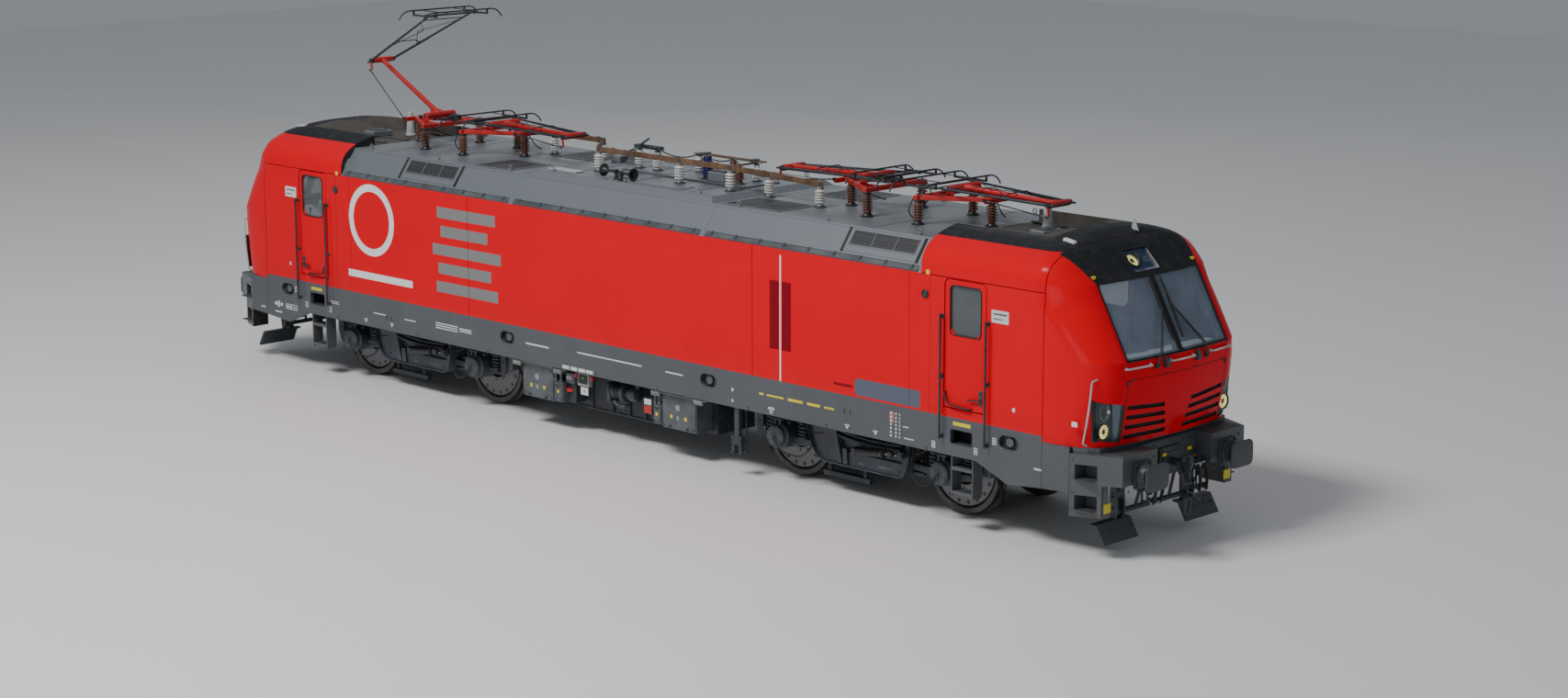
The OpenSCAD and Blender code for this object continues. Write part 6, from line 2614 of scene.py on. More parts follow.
            form.block((8.955, y - 0.05, 0.82), (9.03, y + 0.05, 0.90), Look.BLACK, 0.012)
            form.lathe(
                [(0.036, 0), (0.036, 0.03), (0.028, 0.035), (0, 0.035)], Look.BLACK, (9.03, y, 0.86), (1, 0, 0),
                20
            )
            form.block((9.018, y + 0.06, 1.13), (9.030, y + 0.14, 1.17), Look.YELLOW, 0.003)
        for side in (-1, 1):
            cable = sag((9.02, side * 0.28, 0.86), (9.02, side * 0.55, 0.80), 0.14)
            form.tube(cable, 0.012, Look.RUBBER, 8)
            form.block((8.97, side * 0.60 - 0.05, 0.755), (9.04, side * 0.60 + 0.05, 0.85), Look.BLACK, 0.010)

    def guards(self, form: Form) -> None:
        """Rail guards on curved brackets and the cross tube between them.

        Args:
            form: the piece that it adds to.
        """
        for side in (-1, 1):
            plate = [
                (8.665, 0.380), (8.775, 0.380), (8.915, 0.140), (8.890, 0.130), (8.870, 0.132), (8.745, 0.350),
                (8.665, 0.355)
            ]
            form.prism(plate, side * 0.500, side * 1.180, Look.DARK, chamfer=0.006)
            bracket = [
                (8.700, 0.960), (8.790, 0.960), (8.775, 0.70), (8.800, 0.50), (8.770, 0.370), (8.690, 0.370),
                (8.672, 0.52), (8.672, 0.75)
            ]
            for y in (0.640, 0.790):
                form.prism(bracket, side * y - 0.014, side * y + 0.014, Look.DARK, chamfer=0.004)
            form.block((8.690, side * 0.64, 0.40), (8.720, side * 0.79, 0.62), Look.DARK, 0.004)
            form.bolts(
                (
                    ((x, side * 0.815, z), (0, side, 0)) for x,
                    z in ((8.715, 0.52), (8.715, 0.66), (8.735, 0.80))
                ),
                0.018
            )
            form.bolts((((8.835, side * y, 0.285), (0.86, 0, 0.5)) for y in (0.56, 0.72, 0.95, 1.10)), 0.016)
            web = [(8.690, 0.375), (8.760, 0.375), (8.850, 0.215), (8.790, 0.26)]
            for y in (0.56, 0.90, 1.12):
                form.prism(web, side * y - 0.008, side * y + 0.008, Look.DARK)
            form.rod((8.72, side * 0.80, 0.70), (8.98, side * 0.64, 0.93), 0.020, Look.DARK, 12)
        form.rod((8.720, -0.80, 0.455), (8.720, 0.80, 0.455), 0.034, Look.DARK, 20)
        for y in (-0.35, 0.35):
            form.rod((8.72, y, 0.455), (8.86, y * 0.9, 0.96), 0.022, Look.DARK, 12)

    def trim(self, form: Form) -> None:
        """Treads, edge beads, blank plates and bolts on the headstock boxes.

        Args:
            form: the piece that it adds to.
        """
        for side in (-1, 1):
            for z in (0.990, 0.602):
                form.block(
                    (8.655, side * (HALF_W - 0.255), z + 0.008), (8.915, side * (HALF_W - 0.012), z + 0.020),
                    Look.TREAD, 0.004
                )
            form.block((8.60, side * 0.57, 1.325), (9.20, side * 1.22, 1.333), Look.TREAD, 0.003)
            form.prism(
                [(8.975, 0.56), (8.978, 0.56), (8.978, 0.90), (8.975, 0.90)], side * 1.25, side * 1.32,
                Look.SILL
            )
            form.block((8.972, side * 1.165, 0.582), (8.982, side * 1.305, 0.704), Look.YELLOW, 0.002)
            form.bolts(
                (((9.220, side * y, z), (1, 0, 0)) for y in (0.62, 1.13) for z in (0.88, 1.24)), 0.016,
                Look.SILL
            )
            form.bolts(
                (((8.62, side * (HALF_W - 0.008), z), (0, side, 0)) for z in (0.62, 0.84, 1.04, 1.26)), 0.010,
                Look.SILL
            )
            form.block((8.95, side * 0.60, 1.235), (8.985, side * 0.72, 1.315), Look.BLACK, 0.006)
        form.block((8.960, -0.54, 1.235), (8.972, 0.54, 1.322), Look.DARK, 0.004)
        form.bolts((((8.972, y, 1.28), (1, 0, 0)) for y in (-0.46, -0.30, 0.30, 0.46)), 0.014)
        form.rod((8.985, -0.52, 0.955), (8.985, 0.52, 0.955), 0.014, Look.DARK, 12)


# ---------------------------------------------------------------------------
# Running gear
# ---------------------------------------------------------------------------
BOGIE_X = 4.750
AXLE_Z = 0.625
HALF_BASE = 1.500
FRAME_IN = 0.950
FRAME_OUT = 1.130
BOX_OUT = 1.319
SPRING_Y = 1.040


@dataclass
class Wheelsets:
    """The four wheelsets: axle, two wheels with brake discs, and journal ends."""

    inner: float = 0.680
    outer: float = 0.815
    tread: float = 0.625

    def build(self) -> None:
        """Make one piece for each wheelset body."""
        for number, x in enumerate((6.250, 3.250, -3.250, -6.250), 1):
            form = Form(f"wheels_{number}")
            with form.at(shift(x, 0, AXLE_Z)):
                axle = [(0.095, -0.66), (0.082, -0.60), (0.082, 0.60), (0.095, 0.66)]
                form.lathe([(0, -0.66), *axle, (0, 0.66)], Look.WHEEL, direction=(0, 1, 0), sides=40)
                for side in SIDES:
                    with form.at(side):
                        self.wheel(form)
            form.done(f"wheelset_{number}", (f"wheelset_{number}",), 28.0)

    def wheel(self, form: Form) -> None:
        """One wheel with tyre, web, hub, bolted disc and journal end.

        Args:
            form: the piece that it adds to.
        """
        r, a, b = self.tread, self.inner, self.outer
        tyre = [
            (r - 0.080, a + 0.004), (r - 0.004, a), (r + 0.020, a), (r + 0.028, a + 0.006),
            (r + 0.030, a + 0.014), (r + 0.028, a + 0.022), (r + 0.012, a + 0.032), (r + 0.002, a + 0.042),
            (r, a + 0.06), (r - 0.002, b - 0.006), (r - 0.008, b), (r - 0.070, b), (r - 0.080, b - 0.010)
        ]
        form.lathe(tyre, Look.TREADED, direction=(0, 1, 0), sides=96, ring=True)
        web = [
            (r - 0.079, b - 0.012), (r - 0.100, b - 0.045), (0.42, b - 0.075), (0.24, b - 0.060),
            (0.172, b - 0.012), (0.160, b + 0.028), (0.150, b + 0.030), (0.150, a - 0.012), (0.172, a + 0.004),
            (0.25, a + 0.040), (0.42, a + 0.042), (r - 0.079, a + 0.008)
        ]
        form.lathe(web, Look.WHEEL, direction=(0, 1, 0), sides=72, ring=True)
        disc = [
            (0.235, b - 0.058), (0.235, b - 0.018), (0.242, b - 0.012), (0.512, b - 0.012), (0.520, b - 0.018),
            (0.520, b - 0.060)
        ]
        form.lathe(disc, Look.WHEEL, direction=(0, 1, 0), sides=72, ring=True)
        for radius, count, size in ((0.468, 18, 0.019), (0.275, 12, 0.013)):
            for i in range(count):
                angle = math.tau * i / count
                spot = (radius * math.cos(angle), b - 0.0125, radius * math.sin(angle))
                profile = [
                    (size * 1.5, -0.001), (size * 1.5, 0.0015), (size * 1.25, 0.0022), (size, 0.0010),
                    (0, 0.0005)
                ]
                form.lathe(profile, Look.BLACK, spot, (0, 1, 0), 14)
        stub = [
            (0.148, b + 0.028), (0.120, b + 0.045), (0.080, b + 0.060), (0.079, BOX_OUT - 0.042),
            (0, BOX_OUT - 0.040)
        ]
        form.lathe([(0, b + 0.02), *stub], Look.WHEEL, direction=(0, 1, 0), sides=36)


@dataclass
class Bogie:
    """One bogie: frame, axle boxes, springs, dampers, brakes, cables and motors."""

    name: str
    x: float

    def build(self) -> None:
        """Make the bogie's pieces on its body."""
        body = f"bogie_{self.name}"
        place = shift(self.x, 0, 0)
        frame = Form(f"bogie_girders_{self.name}")
        gear = Form(f"bogie_gear_{self.name}")
        lines = Form(f"bogie_lines_{self.name}")
        with frame.at(place), gear.at(place), lines.at(place):
            self.cross_parts(frame)
            for side in (STILL, turn("Z", 180)):
                with frame.at(side), gear.at(side), lines.at(side):
                    self.girder(frame)
                    self.middle(gear)
                    self.cables(lines)
                    for half in ENDS:
                        with frame.at(half), gear.at(half), lines.at(half):
                            self.axle_box(frame)
                            self.corner_gear(gear)
        frame.done(body, (f"bogie_frame_{self.name}",))
        gear.done(body)
        lines.done(body)
        self.springs(body, place)
        self.motors(body, place)

    def girder(self, form: Form) -> None:
        """The side girder that faces -Y, as a welded box with flanges.

        Args:
            form: the piece that it adds to.
        """
        top = [
            (2.200, 1.090), (1.000, 1.090), (0.800, 0.800), (-0.800, 0.800), (-1.000, 1.090), (-2.200, 1.090)
        ]
        low = [
            (-2.200, 0.950), (-1.050, 0.950), (-0.850, 0.560), (0.850, 0.560), (1.050, 0.950), (2.200, 0.950)
        ]
        smooth = [tuple(p.xz) for p in bend([(u, 0, v) for u, v in top], 0.12)]
        under = [tuple(p.xz) for p in bend([(u, 0, v) for u, v in low], 0.12)]
        form.prism([*smooth, *under], -FRAME_IN - 0.012, -FRAME_OUT + 0.012, Look.BOGIE)
        for line, lift in ((smooth, -0.010), (under, 0.010)):
            rings = [
                [
                    (u, y, v + dv) for y,
                    dv in ((-FRAME_OUT, -0.008), (-FRAME_OUT, 0.008), (-FRAME_IN, 0.008), (-FRAME_IN, -0.008))
                ] for u,
                v in ((p[0], p[1] + lift) for p in line)
            ]
            form.loft(rings, Look.BOGIE)
        self.apron(form)
        for s in (-1, 1):
            form.block((s * 2.195, -FRAME_OUT, 0.955), (s * 2.212, -FRAME_IN, 1.085), Look.BOGIE, 0.004)
            form.bolts((((s * 2.07, -FRAME_OUT + 0.010, z), (0, -1, 0)) for z in (0.985, 1.055)), 0.016)

    def apron(self, form: Form) -> None:
        """The deep plate below the girder that faces -Y, with its legs, flange and strut.

        Args:
            form: the piece that it adds to.
        """
        outer = [
            (-1.00, 0.945), (-0.945, 0.72), (-0.87, 0.53), (-0.72, 0.400), (0.74, 0.400), (0.82, 0.50),
            (0.875, 0.66), (0.90, 0.930)
        ]
        inner = [(0.80, 0.930), (0.76, 0.64), (0.72, 0.590), (-0.30, 0.590), (-0.36, 0.62), (-0.47, 0.945)]
        form.prism([*outer, *inner], -FRAME_OUT - 0.004, -FRAME_OUT - 0.032, Look.BOGIE, chamfer=0.005)
        line = bend(
            [
                (-1.0, 0, 0.93), (-0.945, 0, 0.72), (-0.87, 0, 0.53), (-0.72, 0, 0.402), (0.74, 0, 0.402),
                (0.82, 0, 0.50), (0.875, 0, 0.66), (0.90, 0, 0.93)
            ],
            0.10
        )
        rings = [
            [
                (p.x, y, p.z + dz) for y,
                dz in ((-1.205, -0.008), (-1.205, 0.008), (-1.020, 0.008), (-1.020, -0.008))
            ]
            for p in line
        ]
        form.loft(rings, Look.BOGIE)
        form.block((-0.70, -1.118, 0.405), (0.72, -1.030, 0.580), Look.TANK, 0.004)
        strut = [(-0.50, 0.900), (-0.44, 0.900), (-0.325, 0.430), (-0.405, 0.430)]
        form.prism(strut, -1.165, -1.215, Look.BOGIE, chamfer=0.010)
        form.prism(
            [(-0.335, 0.640), (-0.255, 0.640), (-0.235, 0.420), (-0.315, 0.420)], -1.165, -1.200, Look.BOGIE,
            chamfer=0.006
        )
        form.bolts(
            (
                ((x, -FRAME_OUT - 0.032, z), (0, -1, 0)) for x,
                z in ((-0.80, 0.86), (-0.62, 0.86), (-0.66, 0.50), (0.66, 0.47), (0.84, 0.84))
            ),
            0.016
        )

    def cross_parts(self, form: Form) -> None:
        """The end beams and the middle cross member with its round hole.

        Args:
            form: the piece that it adds to.
        """
        for s in (-1, 1):
            form.block((s * 2.110, -FRAME_IN, 0.950), (s * 2.200, FRAME_IN, 1.090), Look.BOGIE, 0.010)
        for s in (-1, 1):
            form.block((s * 0.150, -FRAME_IN, 0.580), (s * 0.300, FRAME_IN, 0.800), Look.BOGIE, 0.010)
            form.block((-0.300, s * 0.150, 0.580), (0.300, s * FRAME_IN, 0.800), Look.BOGIE, 0.010)
        ring = [(0.142, 0.562), (0.142, 0.798), (0.170, 0.798), (0.20, 0.79), (0.20, 0.575), (0.175, 0.562)]
        form.lathe(ring, Look.BOGIE, sides=48, ring=True)

    def axle_box(self, form: Form) -> None:
        """One axle box with bolted cover and its arm, at +X on the -Y side.

        Args:
            form: the piece that it adds to.
        """
        with form.at(shift(HALF_BASE, 0, AXLE_Z)):
            hole = 0.084
            outer = [
                (hole, -FRAME_IN + 0.024), (0.176, -FRAME_IN + 0.024), (0.190, -FRAME_IN + 0.010),
                (0.190, -1.225), (0.180, -1.240), (0.168, -1.246), (0.168, -1.262), (0.160, -1.266),
                (0.160, -1.300), (0.146, -1.314), (0.120, -BOX_OUT), (0.062, -BOX_OUT), (0.056, -1.312),
                (0, -1.312)
            ]
            body = [(r, -y) for r, y in outer]
            inner = [(0, 1.289), (hole, 1.287)]
            form.lathe([*body, *inner], Look.BOGIE, direction=(0, -1, 0), sides=48, ring=True)
            form.bolts(
                (
                    ((0.128 * math.cos(a), -1.314, 0.128 * math.sin(a)), (0, -1, 0))
                    for a in (math.tau * (i + 0.5) / 6 for i in range(6))
                ),
                0.017
            )
            form.lathe(
                [(0.052, 0), (0.052, 0.004), (0.045, 0.006), (0, 0.006)], Look.DARK, (0, -1.3125, 0),
                (0, -1, 0), 24
            )
            arm = [
                (0.0, 0.0), (-0.30, -0.015), (-0.60, 0.000), (-0.80, 0.065), (-0.830, 0.018), (-0.80, -0.038),
                (-0.60, -0.085), (-0.25, -0.125), (0.0, -0.155)
            ]
            form.prism(arm, -FRAME_IN - 0.022, -FRAME_OUT + 0.022, Look.BOGIE, chamfer=0.012)
            form.lathe(
                [(0.062, 0), (0.062, 0.20), (0.050, 0.214), (0.030, 0.214), (0.026, 0.208), (0, 0.208)],
                Look.BOGIE, (-0.760, -FRAME_IN + 0.015, 0.018), (0, -1, 0), 32
            )
            form.lathe(
                [(0.020, 0), (0.020, 0.018), (0, 0.020)], Look.RAIL, (-0.760, -FRAME_IN - 0.190, 0.018),
                (0, -1, 0), 6
            )
            form.block(
                (-0.118, -FRAME_OUT - 0.018, 0.130), (0.118, -FRAME_IN + 0.018, 0.205), Look.BOGIE, 0.010
            )
            form.lathe(
                [(0.106, 0.198), (0.106, 0.212), (0.060, 0.216), (0, 0.216)], Look.BOGIE, (0, -SPRING_Y, 0),
                sides=32
            )
            lug = [
                (0.05, -0.010), (0.36, -0.010), (0.415, -0.035), (0.400, -0.070), (0.20, -0.110), (0.05, -0.130)
            ]
            form.prism(lug, -0.960, -1.120, Look.BOGIE, chamfer=0.006)
            for x in (-0.300, 0.300):
                form.lathe(
                    [(0.112, -0.020), (0.112, 0.004), (0.070, 0.010), (0.060, 0.060), (0, 0.060)], Look.BOGIE,
                    (x, -SPRING_Y, 0), sides=28
                )
                form.lathe(
                    [(0, 0.275), (0.060, 0.275), (0.112, 0.300), (0.112, 0.326), (0, 0.326)], Look.BOGIE,
                    (x, -SPRING_Y, 0), sides=28
                )
            for x in (-0.045, 0.045):
                form.block((x - 0.016, -1.262, 0.150), (x + 0.016, -1.225, 0.235), Look.BOGIE, 0.005)
            form.block((-0.085, -1.255, 0.215), (0.085, -FRAME_OUT + 0.02, 0.245), Look.BOGIE, 0.006)
        form.lathe(
            [(0.100, 0.926), (0.100, 0.950), (0, 0.950)], Look.BOGIE, (HALF_BASE, -SPRING_Y, 0), sides=32
        )

    def corner_gear(self, form: Form) -> None:
        """Dampers, guards, sand pipe and brake shoe at one wheel, +X and -Y.

        Args:
            form: the piece that it adds to.
        """
        x = HALF_BASE
        guard = [
            (x + 0.44, 0.94), (x + 0.56, 0.94), (x + 0.56, 0.62), (x + 0.52, 0.50), (x + 0.46, 0.48),
            (x + 0.44, 0.60)
        ]
        form.prism(guard, -1.075, -1.095, Look.BOGIE, chamfer=0.005)
        form.bolts((((x + 0.50, -1.095, z), (0, -1, 0)) for z in (0.72, 0.86)), 0.016)
        pipe = bend(
            [
                (x + 0.56, -0.96, 0.93), (x + 0.60, -0.90, 0.70), (x + 0.635, -0.78, 0.40),
                (x + 0.600, -0.75, 0.215)
            ],
            0.10
        )
        form.tube(pipe, 0.019, Look.RUBBER, 10)
        form.block((x + 0.535, -1.05, 0.62), (x + 0.66, -0.90, 0.86), Look.UNDER, 0.014)
        shoe = []
        for i in range(9):
            angle = math.radians(150 + 40 * i / 8)
            shoe.append((x + 0.672 * math.cos(angle), AXLE_Z + 0.672 * math.sin(angle)))
        for i in range(8, -1, -1):
            angle = math.radians(150 + 40 * i / 8)
            shoe.append((x + 0.735 * math.cos(angle), AXLE_Z + 0.735 * math.sin(angle)))
        form.prism(shoe, -0.70, -0.80, Look.WHEEL, chamfer=0.004)
        hang = [(x - 0.74, 0.80), (x - 0.70, 0.80), (x - 0.715, 0.56), (x - 0.76, 0.56)]
        form.prism(hang, -0.73, -0.77, Look.BOGIE, chamfer=0.006)
        form.rod((x - 0.745, -0.82, 0.60), (x - 0.745, -0.68, 0.60), 0.022, Look.RAIL, 14)
        form.block((x - 0.95, -0.93, 0.60), (x - 0.76, -0.72, 0.78), Look.UNDER, 0.020)
        form.lathe(
            [(0.080, 0), (0.088, 0.012), (0.088, 0.10), (0.070, 0.125), (0, 0.13)], Look.UNDER,
            (x - 0.855, -0.92, 0.69), (0, -1, 0), 28
        )

    def middle(self, form: Form) -> None:
        """Parts between the wheels on the side that faces -Y.

        Args:
            form: the piece that it adds to.
        """
        self.damper(form, (-0.06, -1.250, 0.650), (0.78, -1.250, 0.735), 0.055)
        for x, z in ((-0.06, 0.650), (0.78, 0.735)):
            form.block(
                (x - 0.035, -1.285, z - 0.050), (x + 0.035, -FRAME_OUT - 0.01, z + 0.050), Look.BOGIE, 0.010
            )
        form.lathe(
            [(0.040, 0), (0.046, 0.008), (0.046, 0.060), (0.036, 0.070), (0, 0.070)], Look.RAIL,
            (0.66, -1.285, 0.735), (0, -1, 0.1), 20
        )
        form.prism(rect((-0.06, 0.455), (0.04, 0.485), 0.006, 2), -1.160, -1.1635, Look.DUST)
        form.prism(rect((0.30, 0.470), (0.56, 0.495), 0.006, 2), -1.160, -1.1635, Look.DUST)
        bar = [(-1.03, 0.100), (-1.00, 0.085), (-0.19, 0.085), (-0.16, 0.100), (-0.16, 0.165), (-1.03, 0.165)]
        form.prism(bar, -0.745, -0.835, Look.BOGIE, chamfer=0.008)
        for x in (-0.93, -0.27):
            form.block((x - 0.030, -0.815, 0.160), (x + 0.030, -0.765, 0.405), Look.BOGIE, 0.006)
            form.block((x - 0.040, -1.100, 0.385), (x + 0.040, -0.755, 0.425), Look.BOGIE, 0.006)
            form.bolts((((x, -0.815, 0.22), (0, -1, 0)),), 0.020)
        form.tube(
            bend(
                [(-0.18, -0.80, 0.15), (-0.10, -0.82, 0.13), (-0.07, -0.90, 0.25), (-0.10, -1.02, 0.40)], 0.08
            ),
            0.011, Look.RUBBER, 8
        )
        form.block((-0.95, -0.98, 0.430), (0.95, -0.90, 0.470), Look.BOGIE, 0.006)
        for y, z, r in ((-1.180, 0.870, 0.020), (-1.205, 0.815, 0.014), (-1.165, 0.790, 0.024)):
            form.tube(sag((-0.42, y, z), (0.74, y, z - 0.03), 0.035), r, Look.TANK, 10)
        for s in (-1, 1):
            spot = (s * 0.350, -SPRING_Y, 0)
            form.lathe([(0.112, 0.800), (0.112, 0.818), (0.070, 0.824), (0, 0.824)], Look.BOGIE, spot, sides=32)
            form.lathe(
                [(0, 1.300), (0.060, 1.300), (0.104, 1.308), (0.104, 1.3295), (0, 1.3295)], Look.BOGIE, spot,
                sides=32
            )
            form.lathe([(0.050, 0.82), (0.050, 1.305), (0, 1.305)], Look.RUBBER, spot, sides=24)

    def damper(self, form: Form, start: Point, end: Point, radius: float) -> None:
        """A hydraulic damper between two eyes.

        Args:
            form: where it is added.
            start: eye on the body side of the tube.
            end: eye on the rod.
            radius: radius of its outer tube.
        """
        a, b = Vector(start), Vector(end)
        along = b - a
        length = along.length
        profile = [
            (0, 0.04), (radius * 0.6, 0.045), (radius, 0.06), (radius, length * 0.60),
            (radius * 0.9, length * 0.61), (radius * 0.42, length * 0.615), (0, length * 0.62)
        ]
        form.lathe(profile, Look.BLACK, a, along, 24)
        form.lathe(
            [
                (0, length * 0.5), (radius * 0.34, length * 0.5), (radius * 0.34, length * 0.93),
                (0, length * 0.93)
            ],
            Look.CHROME, a, along, 16
        )
        form.lathe(
            [
                (0, length * 0.60), (radius * 1.15, length * 0.605), (radius * 1.2, length * 0.62),
                (radius * 1.2, length * 0.64), (radius * 0.4, length * 0.645), (0, length * 0.645)
            ],
            Look.DARK, a, along, 24
        )
        for spot in (a, b):
            form.lathe(
                [(0.018, -0.030), (0.036, -0.026), (0.038, 0), (0.036, 0.026), (0.018, 0.030)], Look.DARK, spot,
                (0, 1, 0), 20
            )
            form.lathe(
                [(0, -0.042), (0.013, -0.040), (0.013, 0.040), (0, 0.042)], Look.RAIL, spot, (0, 1, 0), 12
            )
        form.rod(a, a + along.normalized() * 0.06, radius * 0.5, Look.DARK)
        form.rod(b, b - along.normalized() * 0.06, radius * 0.42, Look.DARK)

    def cables(self, form: Form) -> None:
        """Slack cables to the axle boxes and along the girder on the side that faces -Y.

        Args:
            form: the piece that it adds to.
        """
        for s in (-1, 1):
            x = s * HALF_BASE
            path = bend(
                [
                    (x, -1.315, 0.625), (x, -1.350, 0.600), (x - s * 0.16, -1.330, 0.430),
                    (x - s * 0.44, -1.250, 0.385), (x - s * 0.60, -1.180, 0.55), (x - s * 0.56, -1.150, 0.98)
                ],
                0.16, 7
            )
            form.tube(path, 0.0115, Look.RUBBER, 8)
            form.lathe(
                [(0.022, -0.012), (0.022, 0.012), (0.012, 0.022), (0, 0.022)], Look.BLACK, (x, -1.318, 0.640),
                (0, -1, 0), 16
            )
            form.tube(
                sag((x - s * 0.50, -1.145, 1.00), (s * 0.55, -1.150, 0.800), 0.05), 0.0105, Look.RUBBER, 8
            )
            form.tube(sag((x - s * 0.20, -1.145, 0.98), (s * 0.72, -1.155, 0.780), 0.10), 0.014, Look.RUBBER, 8)
        form.tube(
            [(x, -1.142, 0.782 + 0.006 * math.sin(x * 30)) for x in [-0.72 + 0.06 * i for i in range(25)]],
            0.010, Look.RUBBER, 8
        )
        for x in (-0.55, -0.18, 0.22, 0.58):
            form.block((x - 0.012, -1.158, 0.770), (x + 0.012, -1.128, 0.800), Look.DARK, 0.003)

    def springs(self, body: str, place: Matrix) -> None:
        """The primary and secondary coil springs.

        Args:
            body: the moving body it rides on.
            place: the turn and shift to its place.
        """
        spots = [sx * HALF_BASE + dx for sx in (-1, 1) for dx in (-0.300, 0.300)]
        low = [place @ shift(x, sy * SPRING_Y, AXLE_Z + 0.024) for x in spots for sy in (-1, 1)]
        Coil(0.090, 0.0180, 5.0, 0.258, Look.DARK).make(f"axle_springs_{self.name}", low, body)
        high = [place @ shift(sx * 0.350, sy * SPRING_Y, 0.838) for sx in (-1, 1) for sy in (-1, 1)]
        piece = Coil(0.100, 0.020, 7.0, 0.455, Look.DARK).make(f"body_springs_{self.name}", high, body)
        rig.replaces(piece, f"bogie_springs_{self.name}")

    def motors(self, body: str, place: Matrix) -> None:
        """Traction motors with ribs and gear cases.

        Args:
            body: the moving body it rides on.
            place: the turn and shift to its place.
        """
        form = Form(f"motor_detail_{self.name}")
        with form.at(place):
            for end in ENDS:
                with form.at(end, shift(HALF_BASE - 0.690, 0, AXLE_Z + 0.060)):
                    for i in range(9):
                        y = -0.50 + 0.125 * i
                        form.lathe(
                            [(0.300, y - 0.014), (0.338, y - 0.010), (0.338, y + 0.010), (0.300, y + 0.014)],
                            Look.DARK, direction=(0, 1, 0), sides=40, ring=True
                        )
                    case = [
                        (-0.05, -0.20), (0.66, -0.30), (0.86, -0.10), (0.86, 0.02), (0.62, 0.16), (0.0, 0.30),
                        (-0.20, 0.05)
                    ]
                    form.prism(case, 0.44, 0.60, Look.BOGIE, chamfer=0.015)
        form.done(body)


